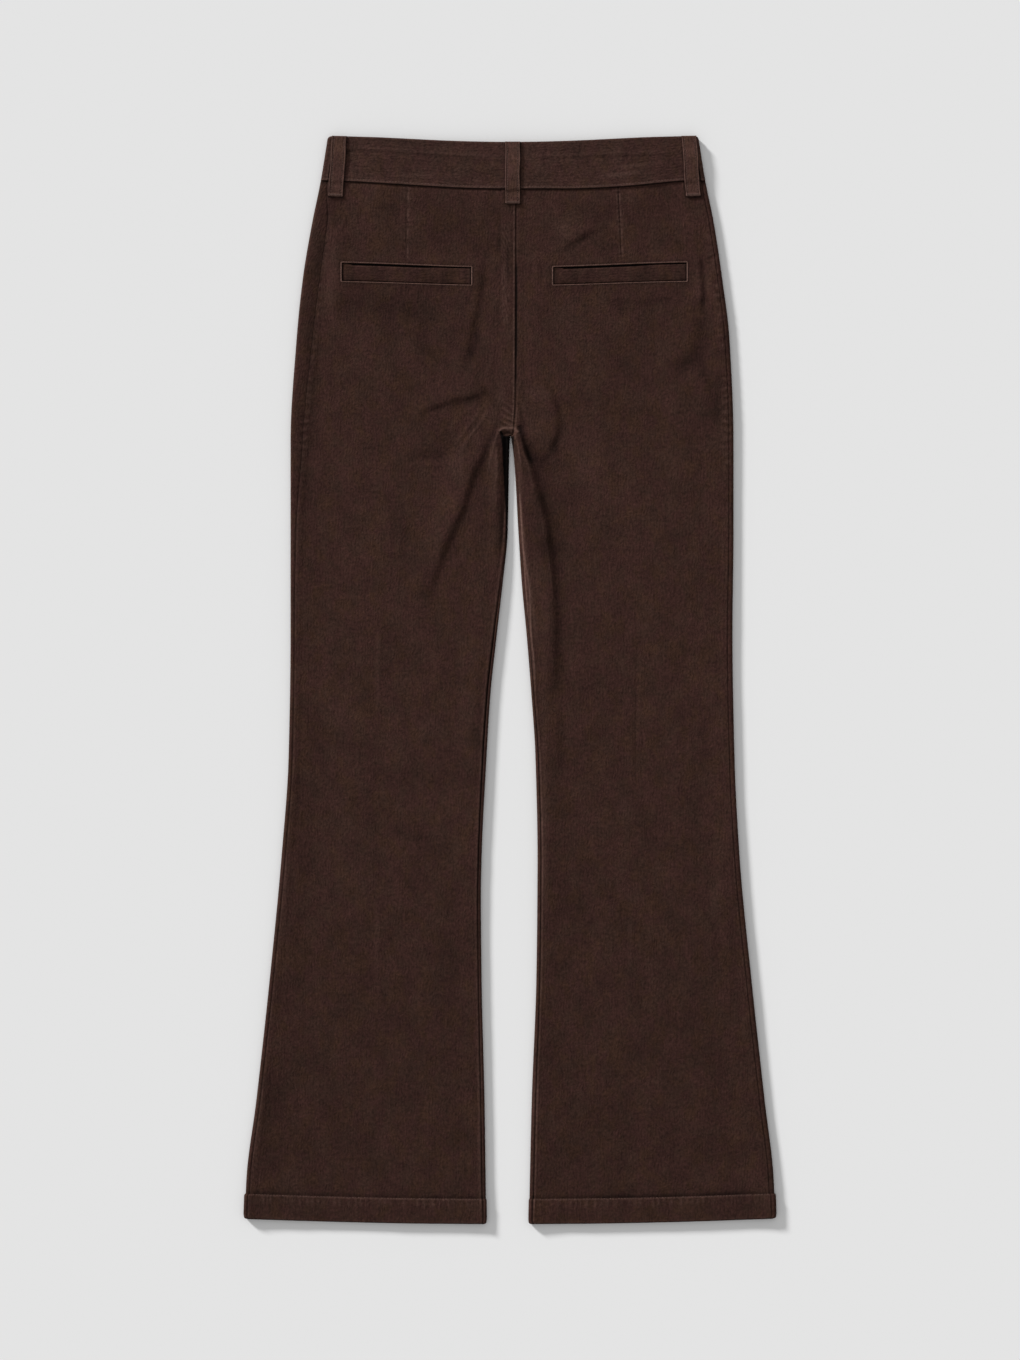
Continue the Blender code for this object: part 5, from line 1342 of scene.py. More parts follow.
class SharedEffects:
    """The node groups that more than one finish uses."""

    def __init__(self) -> None:
        """Build each group once."""
        self.cord = self.build_cord()
        self.mottle = self.build_mottle()
        self.wear_highlight_and_shade = self.build_wear_highlight_and_shade()
        self.weave = self.build_weave()

    def build_cord(self) -> NodeTree:
        """Needlecord: fine uneven ribs along the grain, the streaks of a nap that lies both ways, and painted
        shade in the valleys between the ribs.
        """
        outputs = {"Height": "Float", "Valley": "Float", "Streak": "Float"}
        graph = new_group("needlecord", {"Grain": "Vector", "Pitch": CORD_PITCH}, outputs)
        grain = graph.ends["Grain"]
        bent = graph.drift(grain, 60.0, 0.008)
        across = graph.node("SeparateXYZ", {0: bent}).outputs[0]
        turns = graph.math("DIVIDE", across, graph.ends["Pitch"])
        wave = graph.math("SINE", graph.times(turns, 2 * math.pi))
        gaps = graph.spread(graph.streaks(grain, 260.0, 130.0), 0.38, 0.62)
        rib = graph.times(graph.spread(wave, -1.0, 1.0), gaps)
        tufts = graph.streaks(bent, 520.0, 430.0, 2.0, 0.7)
        height = graph.math("MULTIPLY_ADD", tufts, 1.5, graph.times(rib, 0.35))
        # Painted shade in the valleys between the ribs.
        valley_shade = graph.times(graph.spread(wave, 0.2, -0.9), gaps)
        fine = graph.streaks(bent, 400.0, 330.0, 2.0, 0.75)
        wide = graph.streaks(bent, 140.0, 100.0)
        streak = graph.math("ADD", graph.times(fine, 0.78), graph.times(wide, 0.22))
        return put_out(graph, Height=height, Valley=valley_shade, Streak=graph.spread(streak, 0.34, 0.66))

    def build_mottle(self) -> NodeTree:
        """The cloudy change of a nap brushed this way and that, in wide and in small patches."""
        outputs = {"Cloud": "Float", "Patch": "Float", "Speck": "Float"}
        graph = new_group("nap_mottle", {"Vector": "Vector", "Size": 0.06}, outputs)
        spot = graph.node("VectorMath", {0: graph.ends["Vector"]}, operation="SCALE")
        graph.feed(spot, {"Scale": graph.math("DIVIDE", 1.0, graph.ends["Size"])})
        spot = graph.vector("MULTIPLY", spot.outputs[0], (1.0, 0.75, 1.0))
        cloud = graph.spread(graph.noise(spot, 2.2, 4.0, 0.62), 0.36, 0.64)
        patch = graph.spread(graph.noise(spot, 3.6, 3.0, 0.6), 0.46, 0.62)
        speck = graph.spread(graph.noise(spot, 34.0, 2.0, 0.6), 0.3, 0.7)
        return put_out(graph, Cloud=cloud, Patch=patch, Speck=speck)

    def build_wear_highlight_and_shade(self) -> NodeTree:
        """Paint the cloth lighter where it is worn and as painted highlight, and darker as painted shade."""
        # Rubbed Colour is the lighter colour of worn nap and of painted highlights.
        inputs = {"Colour": "Color", "Rubbed Colour": "Color", "Wear": 0.0, "Crush": 0.0, "Unevenness": 0.5}
        graph = new_group("seam_wear_highlight_and_shade", inputs, {"Colour": "Color"})
        ends = graph.ends
        share = graph.times(ends["Wear"], graph.spread(ends["Unevenness"], 0.15, 0.85, 0.55, 1.0))
        lighter = graph.blend(share, ends["Colour"], ends["Rubbed Colour"])
        return put_out(graph, Colour=graph.shaded(lighter, graph.spread(ends["Crush"], 0.0, 1.0, 1.0, 0.04)))

    def build_weave(self) -> NodeTree:
        """A plain weave of threads over and under."""
        inputs = {"Grain": "Vector", "Pitch": 0.0005}
        graph = new_group("plain_weave", inputs, {"Height": "Float", "Shade": "Float"})
        parts = graph.node("SeparateXYZ", {0: graph.ends["Grain"]}).outputs
        turn = graph.math("DIVIDE", math.pi, graph.ends["Pitch"])
        warp, weft = (graph.math("SINE", graph.times(part, turn)) for part in (parts[0], parts[1]))
        height = graph.spread(graph.times(warp, weft), -1.0, 1.0)
        slub = graph.streaks(graph.ends["Grain"], 500.0, 90.0)
        return put_out(graph, Height=height, Shade=graph.spread(slub, 0.3, 0.7))


def new_material(name: str) -> tuple[Material, Graph, bpy.types.Node]:
    """A material with its graph and its Principled shader."""
    material = bpy.data.materials.new(name)
    material.use_nodes = True
    graph = Graph(material.node_tree)
    return material, graph, material.node_tree.nodes["Principled BSDF"]


@dataclass(frozen=True)
class CordFinish:
    """Needlecord as it looks on one kind of piece."""

    name: str
    base: Colour
    tan: Colour
    dull: Colour
    # The lighter colour of worn nap and of painted highlights.
    lightened: Colour
    pitch: float = CORD_PITCH
    rib_depth: float = 0.42
    streak: float = 0.37
    cloud: float = 0.12
    sheen: float = 0.07

    def build(self, effects: SharedEffects) -> Material:
        """Make the material.

        Args:
            effects: the shared node groups.

        Returns:
            The material.
        """
        material, graph, shader = new_material(self.name)
        grain = graph.node("UVMap", uv_map="grain").outputs[0]
        place = graph.node("TexCoord").outputs["Object"]
        cord = graph.group(effects.cord, Grain=grain, Pitch=self.pitch)
        mottle = graph.group(effects.mottle, Vector=place, Size=0.055)
        aside = graph.vector("ADD", place, (0.31, 0.17, 0.0))
        shade = graph.group(effects.mottle, Vector=aside, Size=0.05)
        base = graph.blend(mottle["Patch"], self.base, self.tan)
        base = graph.blend(graph.times(shade["Patch"], 0.8), base, self.dull)
        height = graph.node("SeparateXYZ", {0: place}).outputs[1]
        # Random tone of the nap, its streaks and specks, painted shade in the rib valleys, and darker towards
        # the hems.
        light = graph.times(
            graph.spread(cord["Streak"], 0.0, 1.0, 1 - self.streak, 1 + self.streak),
            graph.spread(mottle["Speck"], 0.0, 1.0, 0.94, 1.06),
            graph.spread(shade["Cloud"], 0.0, 1.0, 1 - self.cloud, 1 + self.cloud),
            graph.spread(cord["Valley"], 0.0, 1.0, 1.03, 0.86),
            graph.spread(height, -0.5, 0.05, 0.87, 1.0),
        )
        # The colour painted lighter for wear and highlight, and darker as painted shade.
        lightened = graph.group(
            effects.wear_highlight_and_shade,
            Colour=graph.shaded(base, light),
            Rubbed_Colour=(*self.lightened, 1.0),
            Wear=graph.node("Attribute", attribute_name="wear_and_highlight").outputs["Fac"],
            Crush=graph.node("Attribute", attribute_name="painted_shade").outputs["Fac"],
            Unevenness=cord["Streak"],
        )
        looks = {
            "Base Color": lightened["Colour"],
            "Roughness": graph.spread(cord["Height"], 0.0, 1.4, 0.97, 0.84),
            "Normal": graph.bump(cord["Height"], 0.8, self.rib_depth),
            "Specular IOR Level": 0.06,
            "Sheen Weight": self.sheen,
            "Sheen Roughness": 0.42,
            "Sheen Tint": (0.66, 0.40, 0.32, 1.0),
        }
        graph.feed(shader, looks)
        return material


@dataclass(frozen=True)
class PatternFinish:
    """Two colours mixed by a pattern, with the bumps and the roughness that go with it."""

    name: str
    dark: Colour
    light: Colour
    strength: float
    depth: float
    rough: tuple[float, float]
    specular: float = 0.5
    metal: float = 0.0

    def pattern(self, graph: Graph, effects: SharedEffects) -> tuple[Socket, Socket, Socket]:
        """The share of the light colour, the height, and what the roughness follows."""
        raise NotImplementedError

    def build(self, effects: SharedEffects) -> Material:
        """Make the material.

        Args:
            effects: the shared node groups.

        Returns:
            The material.
        """
        material, graph, shader = new_material(self.name)
        share, height, follows = self.pattern(graph, effects)
        looks = {
            "Base Color": graph.blend(share, self.dark, self.light),
            "Normal": graph.bump(height, self.strength, self.depth),
            "Roughness": graph.spread(follows, 0.0, 1.0, *self.rough),
            "Specular IOR Level": self.specular,
            "Metallic": self.metal,
        }
        graph.feed(shader, looks)
        return material


class ReverseFinish(PatternFinish):
    """The smooth ground weave on the inner face of the cloth."""

    def pattern(self, graph: Graph, effects: SharedEffects) -> tuple[Socket, Socket, Socket]:
        """A plain weave in the cloth's own grain."""
        grain = graph.node("UVMap", uv_map="grain").outputs[0]
        weave = graph.group(effects.weave, Grain=grain, Pitch=0.0006)
        share = graph.math("MULTIPLY_ADD", weave["Shade"], 0.6, graph.times(weave["Height"], 0.4))
        return share, weave["Height"], share


class ThreadFinish(PatternFinish):
    """Sewing thread, a little lighter than the cloth, with the twist of its plies."""

    def pattern(self, graph: Graph, effects: SharedEffects) -> tuple[Socket, Socket, Socket]:
        """The plies' slanting bands."""
        place = graph.node("TexCoord").outputs["Object"]
        inputs = {"Vector": place, "Scale": 420.0, "Distortion": 1.5, "Detail": 1.0}
        twist = graph.node("TexWave", inputs, bands_direction="DIAGONAL").outputs["Fac"]
        mottle = graph.group(effects.mottle, Vector=place, Size=0.012)
        share = graph.math("MULTIPLY_ADD", mottle["Patch"], 0.6, graph.times(twist, 0.4))
        return share, twist, twist


class TapeFinish(PatternFinish):
    """The zip's woven tape with its closed chain of plastic teeth down the middle."""

    def pattern(self, graph: Graph, effects: SharedEffects) -> tuple[Socket, Socket, Socket]:
        """The teeth beside the middle line, and the weave beyond them."""
        place = graph.node("TexCoord").outputs["Object"]
        weave = graph.group(effects.weave, Grain=place, Pitch=0.0007)
        parts = graph.node("SeparateXYZ", {0: place}).outputs
        away = graph.math("ABSOLUTE", graph.math("SUBTRACT", parts[0], SIZES.centre_front * MILLIMETRE))
        chain = graph.spread(away, 0.0022, 0.0026, 1.0, 0.0)
        tooth = graph.math("SINE", graph.times(parts[1], 2 * math.pi / 0.0018))
        return chain, graph.blend(chain, weave["Height"], tooth), chain


class MetalFinish(PatternFinish):
    """The zip slider's dull antique brass, worn brighter in places."""

    def pattern(self, graph: Graph, effects: SharedEffects) -> tuple[Socket, Socket, Socket]:
        """Small worn patches."""
        place = graph.node("TexCoord").outputs["Object"]
        mottle = graph.group(effects.mottle, Vector=place, Size=0.004)
        return mottle["Cloud"], mottle["Speck"], mottle["Cloud"]


class HornFinish(PatternFinish):
    """The button's dark brown imitation horn, with soft streaks under a smooth face."""

    def pattern(self, graph: Graph, effects: SharedEffects) -> tuple[Socket, Socket, Socket]:
        """Streaks across the button."""
        place = graph.vector("MULTIPLY", graph.node("TexCoord").outputs["Object"], (1.0, 3.2, 1.0))
        mottle = graph.group(effects.mottle, Vector=place, Size=0.011)
        share = graph.math("MULTIPLY_ADD", mottle["Patch"], 0.4, graph.times(mottle["Cloud"], 0.6))
        return share, mottle["Cloud"], mottle["Speck"]


FINISHES = {
    "panel": CordFinish(
        "needlecord", (0.0358, 0.0155, 0.0124), (0.0367, 0.0171, 0.0111), (0.0334, 0.0166, 0.0121),
        (0.116, 0.063, 0.050),
    ),
    "band": CordFinish(
        "needlecord_band", (0.0387, 0.0174, 0.0142), (0.0396, 0.0192, 0.0131), (0.0362, 0.0186, 0.0142),
        (0.122, 0.069, 0.055), streak=0.42,
    ),
    "loop": CordFinish(
        "needlecord_loop", (0.0545, 0.0258, 0.0208), (0.0552, 0.0276, 0.0196), (0.0505, 0.0262, 0.0202),
        (0.148, 0.084, 0.068),
    ),
    "reverse": ReverseFinish(
        "cord_reverse", (0.046, 0.027, 0.022), (0.062, 0.039, 0.032), 0.4, 0.1, (0.92, 0.8), specular=0.2
    ),
    "thread": ThreadFinish(
        "sewing_thread", (0.056, 0.030, 0.024), (0.112, 0.064, 0.051), 0.4, 0.05, (0.72, 0.5), specular=0.12
    ),
    "tape": TapeFinish(
        "zip_tape_and_teeth", (0.018, 0.011, 0.009), (0.050, 0.034, 0.026), 0.5, 0.2, (0.9, 0.4)
    ),
    "metal": MetalFinish(
        "antique_brass", (0.16, 0.115, 0.06), (0.42, 0.32, 0.19), 0.15, 0.05, (0.52, 0.3), metal=1.0
    ),
    "horn": HornFinish("brown_horn", (0.014, 0.007, 0.005), (0.060, 0.033, 0.020), 0.06, 0.1, (0.3, 0.4)),
}


@dataclass
class Wardrobe:
    """All the materials, each made once."""

    panel: Material
    band: Material
    loop: Material
    reverse: Material
    thread: Material
    tape: Material
    metal: Material
    horn: Material

    @classmethod
    def build(cls) -> "Wardrobe":
        """Make the shared effects and every finish."""
        effects = SharedEffects()
        return cls(**{name: finish.build(effects) for name, finish in FINISHES.items()})


class Slot(Enum):
    """The record's material slots."""

    PANEL = "needlecord"
    BAND = "needlecord_band"
    LOOP = "needlecord_loop"


def dress(piece: Object, nodes: Sequence[str] = ()) -> Object:
    """Let a finished piece ride on the garment, in place of CAD nodes.

    Args:
        piece: the finished piece.
        nodes: the CAD nodes that it replaces.

    Returns:
        The piece.
    """
    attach(piece, BODY)
    if nodes:
        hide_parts(*nodes)
    log.info("%-26s %6d faces", piece.name, len(piece.data.polygons))
    return piece


# --- panels ----------------------------------------------------------------------------------------


def shares(count: int) -> Array:
    """A row of so many even shares from 0 to 1."""
    return np.linspace(0, 1, count)[None]


def eased(count: int, first: float, last: float, close: float = 0.6) -> Array:
    """Shares from first up to but without last, closer together towards both ends."""
    t = np.linspace(0, 1, count + 1)[:-1]
    even = mix(t, 0.5 - 0.5 * np.cos(math.pi * t), close)
    return mix(first, last, even)


@dataclass
class BackPanel:
    """A back panel, from the seat seam and the inseam to the side seam, open at the pocket's mouth."""

    leg: Leg
    finish: Material
    reverse: Material
    near_share: float = 0.2
    dart_share: float = 0.52
    far_share: float = 0.84

    COLUMNS = (38, 36, 36, 28)

    def columns(self) -> Array:
        """The panel's columns as shares of its width, close together at seams, dart and pocket ends."""
        ends = (0.0, self.near_share, self.dart_share, self.far_share, 1.0)
        return np.concatenate([*map(eased, self.COLUMNS, ends, ends[1:]), [1.0]])

    def levels(self) -> Array:
        """The panel's rows, close together at the hem, the crotch, the pocket and the waist."""
        hem = stations((0.0, 1.2, 0.4), (1.2, 22.0, 2.3), (22.0, 29.0, 0.6), (29.0, 200.0, 5.2))
        leg = stations((205.0, 560.0, 5.6), (560.0, 690.0, 4.0), (690.0, 764.0, 2.2), (764.0, 775.4, 0.95))
        seat = stations((776.0, 790.0, 0.75), (790.0, 825.0, 1.5), (825.0, 916.0, 3.0))
        pocket = stations((919.0, 926.0, 1.2), (926.6, SIZES.pocket_foot, 0.35))
        mouth = stations((SIZES.pocket_top, SIZES.pocket_top + 0.7, 0.35), (947.5, 956.0, 1.6))
        waist = stations((958.0, 1018.0, 2.5), (1018.0, SIZES.band_foot - 0.1, 1.0))
        return np.concatenate([hem, leg, seat, pocket, mouth, waist])

    def surface(self) -> Surface:
        """Lay the panel's rows: round the leg's inner edge below the crotch, and flat above it."""
        levels, columns = self.levels(), self.columns()
        seat = levels >= SIZES.crotch
        leg_rows = self.leg_rows(levels[~seat][:, None], columns[None])
        seat_rows = self.seat_rows(levels[seat][:, None], columns[None])
        parts = [np.concatenate(pair) for pair in zip(leg_rows, seat_rows)]
        foot = int(np.searchsorted(levels, SIZES.pocket_foot - 0.01))
        near, far = (int(np.argmin(np.abs(columns - share))) for share in (self.near_share, self.far_share))
        return Surface(*parts, hole=(foot, foot + 1, near, far))

    def leg_rows(self, level: Array, share: Array) -> tuple[Array, ...]:
        """The rows below the crotch, as outer points, inner points, grain, lighter paint and painted shade.
        """
        leg = self.leg
        inner, outer = FORM.inner_out(leg, level), FORM.outer_out(leg, level)
        side_inset = RIM.inset(leg.side_lap(level) + SIZES.seam / 2)
        first = leg.inseam_lap(level) + SIZES.seam / 2
        last = outer - inner - side_inset - RIM.roll + RIM.quarter
        lap = mix(first, last, share)
        inset, height, under_inset, under_height, up = RIM.faces(lap, FORM.cloth(level))
        out = inner + inset
        relief = FORM.relief(leg, out, level)
        rise = FORM.plain_rise(leg, out, level) + relief.broad
        end = 0.9 * drawn_in(level, 1.2)
        keep = FORM.slump(leg, level, inset)
        outer_z = (height + (rise + relief.fine) * up - end) * keep
        inner_z = np.minimum((under_height + rise * up + 0.4 * end) * keep, outer_z - 0.3 * up)
        return (
            FORM.place(leg, out, level, outer_z),
            FORM.place(leg, inner + under_inset, level, inner_z),
            grain_map(leg.side * (inner + lap + RIM.roll - RIM.quarter), level),
            relief.wear_and_highlight,
            np.clip(relief.painted_shade + FORM.deep_strip(leg, level, inset), 0, 1),
        )

    def seat_rows(self, level: Array, share: Array) -> tuple[Array, ...]:
        """The rows above the crotch, as outer points, inner points, grain, lighter paint and painted shade.
        """
        leg, roll = self.leg, SIZES.roll
        start = leg.side * CENTRE_BACK(level) + SIZES.seam / 2
        end = FORM.outer_out(leg, level) - RIM.inset(leg.side_lap(level) + SIZES.seam / 2)
        knots = [0.0, self.near_share, self.dart_share, self.far_share, 1.0]
        plain = mix(start, end, share)
        fitted = np.empty(plain.shape)
        for i, row in enumerate(level[:, 0]):
            places = [start[i, 0], leg.pocket_near, float(leg.dart(row)), leg.pocket_far, end[i, 0]]
            fitted[i] = np.interp(share[0], knots, places)
        out = mix(plain, fitted, smooth(level, 820, 915))
        across, up = np.maximum(out - start, 0.01), level - SIZES.crotch
        distance = np.hypot(across, up)
        turn = np.arccos(1 - np.minimum(distance, roll) / roll)
        turn = np.maximum(turn, SIZES.seam / 2 / roll)
        shift = SIZES.cloth * np.cos(turn) / distance
        relief = FORM.relief(leg, out, level)
        rise = FORM.plain_rise(leg, out, level) + relief.broad
        from_mouth = np.minimum(np.abs(level - SIZES.pocket_foot), np.abs(level - SIZES.pocket_top))
        beside = (out > leg.pocket_near - 0.2) * (out < leg.pocket_far + 0.2)
        lip = 0.35 * bell(from_mouth, 0.3) * beside
        outer_z = roll + (roll + rise + relief.fine) * np.sin(turn) - lip
        inner_z = np.minimum(roll + (roll - SIZES.cloth + rise) * np.sin(turn), outer_z - 0.3 * np.sin(turn))
        return (
            FORM.place(leg, out, level, outer_z),
            FORM.place(leg, out + across * shift, level + up * shift, inner_z),
            grain_map(leg.side * out, level),
            relief.wear_and_highlight,
            np.clip(relief.painted_shade + FORM.deep_strip(leg, level, out - FORM.inner_out(leg, level)), 0, 1),
        )

    def build(self) -> Object:
        """Make the panel in place of its CAD part."""
        surface = self.surface()
        piece = cloth_shell(f"panel_back_{self.leg.name}", surface, self.finish, self.reverse)
        dress(piece, [f"back_{self.leg.name}"])
        return piece


@dataclass
class FrontPanel:
    """A front panel, from its side seam round the outer edge, under the leg and up the inner edge."""

    leg: Leg
    finish: Material
    reverse: Material
    wrap_columns: int = 26
    flat_columns: int = 62
    inner_columns: int = 14
    seam_reach: float = 14.0

    def levels(self) -> Array:
        """The panel's rows, close together at the hem, the crotch and the waist."""
        hem = stations((0.0, 1.2, 0.4), (1.2, 22.0, 3.4), (22.0, 29.0, 1.0), (29.0, 560.0, 7.0))
        leg = stations((565.0, 690.0, 5.0), (690.0, 764.0, 3.0), (764.0, 775.4, 1.4))
        seat = stations((776.0, 790.0, 1.2), (790.0, 960.0, 4.5), (960.0, SIZES.band_foot - 0.1, 4.0))
        return np.concatenate([hem, leg, seat])

    def wrap(self, level: Array, share: Array) -> tuple[Array, ...]:
        """The columns round the outer edge, from the side seam to the underside.

        Args:
            level: the rows' levels, as a column.
            share: 0 at the seam and 1 where the cloth meets the table, as a row.

        Returns:
            Out and height of the outer and of the inner face, grain, lighter paint and painted shade.
        """
        leg = self.leg
        outer = FORM.outer_out(leg, level)
        lap = mix(leg.side_lap(level) - SIZES.seam / 2, -RIM.quarter, share)
        inset, height, deep_inset, deep_height, up = RIM.faces(lap, FORM.cloth(level))
        out = outer - inset
        relief = FORM.relief(leg, out, level)
        lift = FORM.lift(leg.side * out, level)
        rise = (FORM.plain_rise(leg, out, level) + relief.broad) * up + lift * (1 - up)
        end = 0.9 * drawn_in(level, 1.2)
        outer_z = height + rise + relief.fine * up - end * up
        inner_z = np.where(lap > 0, np.minimum(deep_height + rise, outer_z - 0.3 * up), deep_height + rise)
        across = outer - RIM.roll + lap + RIM.quarter
        return out, outer_z, outer - deep_inset, inner_z, across, relief.wear_and_highlight * up, relief.painted_shade * up

    def underside(self, level: Array, out: Array) -> tuple[Array, ...]:
        """The columns that lie on the table, just raised along the fly's stitching and in soft folds."""
        leg = self.leg
        x = leg.side * out
        low = FORM.lift(x, level) + UNDERSIDE.relief(leg, out, level)
        # Lighter lines along the hem's stitching and foot on the underside.
        lightened = 0.3 * bell(level - SIZES.hem_depth + 1.3, 0.9) + 0.3 * bell(level - 0.8, 1.0)
        return np.broadcast_arrays(out, low, out, low + FORM.cloth(level), out, lightened, 0.0)

    def leg_part(self, level: Array) -> tuple[Array, ...]:
        """The rows below the crotch."""
        leg = self.leg
        wrapped = self.wrap(level, shares(self.wrap_columns))
        outer, inner = FORM.outer_out(leg, level) - RIM.roll, FORM.inner_out(leg, level)
        flat = self.underside(level, mix(outer, inner + RIM.roll, shares(self.flat_columns + 2)[:, 1:-1]))
        lap = mix(-RIM.quarter, leg.inseam_lap(level) - SIZES.seam / 2, shares(self.inner_columns))
        inset, height, deep_inset, deep_height, up = RIM.faces(lap, FORM.cloth(level))
        relief = FORM.relief(leg, inner + inset, level)
        rise = (FORM.plain_rise(leg, inner + inset, level) + relief.broad) * up
        keep = FORM.slump(leg, level, inset)
        outer_z = (height + rise + relief.fine * up) * keep
        raised = np.minimum((deep_height + rise) * keep, outer_z - 0.3 * up)
        inner_z = np.where(lap > 0, raised, deep_height * keep)
        across = inner + RIM.roll - lap - RIM.quarter
        painted_shade = np.clip(relief.painted_shade * up + FORM.deep_strip(leg, level, inset) * up, 0, 1)
        turned = (inner + inset, outer_z, inner + deep_inset, inner_z, across, relief.wear_and_highlight * up, painted_shade)
        return tuple(np.concatenate(parts, axis=1) for parts in zip(wrapped, flat, turned))

    def seat_part(self, level: Array) -> tuple[Array, ...]:
        """The rows above the crotch, rolled up where they pass it."""
        leg, roll = self.leg, SIZES.roll
        wrapped = self.wrap(level, shares(self.wrap_columns))
        outer = FORM.outer_out(leg, level) - roll
        seam = leg.side * mix(0.5, SIZES.centre_front, ramp(level, SIZES.crotch, 800)) + SIZES.seam / 2
        places = mix(outer, seam + self.seam_reach, shares(self.flat_columns + 2)[:, 1:-1])
        flat = self.underside(level, places)
        across = self.seam_reach * (1 - shares(self.inner_columns)) ** 1.6
        up = level - SIZES.crotch
        distance = np.maximum(np.hypot(across, up), 0.01)
        turn = np.maximum(np.arccos(1 - np.minimum(distance, roll) / roll), SIZES.seam / 2 / roll)
        shift = SIZES.cloth * np.cos(turn) / distance
        out = seam + across
        low = FORM.lift(leg.side * out, level) + UNDERSIDE.relief(leg, out, level) * np.sin(turn)
        turned = np.broadcast_arrays(
            out,
            low + roll - roll * np.sin(turn),
            out + across * shift,
            low + roll - (roll - SIZES.cloth) * np.sin(turn),
            out,
            # Lighter paint along the turn, as worn nap and painted highlight, and painted shade in the
            # crotch's fold.
            0.4 * bell(across - 1.2, 1.0),
            0.5 * (1 - smooth(distance, 2, 6)),
        )
        return tuple(np.concatenate(parts, axis=1) for parts in zip(wrapped, flat, turned))

    def surface(self) -> Surface:
        """Lay all the panel's rows."""
        levels = self.levels()
        seat = levels >= SIZES.crotch
        parts = (self.leg_part(levels[~seat][:, None]), self.seat_part(levels[seat][:, None]))
        joined = (np.concatenate(pair) for pair in zip(*parts))
        out, height, deep_out, deep_height, across, wear_and_highlight, painted_shade = joined
        level = levels[:, None]
        faces = FORM.place(self.leg, out, level, height), FORM.place(self.leg, deep_out, level, deep_height)
        return Surface(*faces, grain_map(self.leg.side * across, level), wear_and_highlight, painted_shade)

    def build(self) -> Object:
        """Make the panel in place of its CAD part."""
        piece = cloth_shell(f"panel_front_{self.leg.name}", self.surface(), self.finish, self.reverse)
        dress(piece, [f"front_{self.leg.name}"])
        return piece


class Underside:
    """The face that lies on the table: flat, with low hollows where the front is stitched or creased."""

    FLY_WIDTH = 36.0
    FLY_FOOT = 842.0
    FLY_BEND = 30.0
    ROW_GAP = 6.0

    FOLDS = (
        Crease(0.9, 6, 8, ((-14, 770), (-34, 728), (-52, 690)), 0.3, 0.5),
        Crease(0.9, 6, 8, ((14, 770), (32, 722), (46, 676)), 0.3, 0.5),
        Crease(0.7, 7, 9, ((-30, 822), (-62, 806), (-98, 800)), 0.4, 0.4),
        Crease(0.7, 7, 9, ((28, 818), (58, 800), (92, 796)), 0.4, 0.4),
        Crease(0.6, 8, 8, ((-130, 420), (-96, 410), (-62, 418)), 0.4, 0.4),
        Crease(0.6, 8, 8, ((66, 402), (104, 412), (140, 404)), 0.4, 0.4),
    )

    def fly_line(self, inward: float) -> Array:
        """The curved line of stitching that holds the fly, as (x, level) points from the waist down.

        Args:
            inward: how far inside the outer row the line runs.
        """
        width, foot, bend = self.FLY_WIDTH - inward, self.FLY_FOOT + inward, self.FLY_BEND
        straight = np.stack([np.full(40, width), np.linspace(SIZES.band_foot - 2, foot + bend, 40)], -1)
        turn = np.linspace(0, math.pi / 2, 20)[1:]
        curve = np.stack([width - bend + bend * np.cos(turn), foot + bend - bend * np.sin(turn)], -1)
        return np.vstack([straight, curve, [[2.0, foot]]])

    def relief(self, leg: Leg, out: Array, level: Array) -> Array:
        """How far the underside rises off the table beside its lift."""
        out, level = np.broadcast_arrays(out, level)
        x = leg.side * out
        height = np.zeros(np.shape(x))
        for fold in self.FOLDS:
            height += fold.height * fold.profile(x, level)
        if leg.side > 0:
            line = self.fly_line(self.ROW_GAP / 2)
            path = tuple(map(tuple, np.vstack([line[:-1:6], line[-1:]])))
            height += 0.45 * Crease(1.0, 7.0, 7.0, path, 0.01, 0.01).profile(x, level)
        height += 0.45 * bell(level - SIZES.hem_depth, 1.0)
        return height


UNDERSIDE = Underside()


# --- pockets ---------------------------------------------------------------------------------------


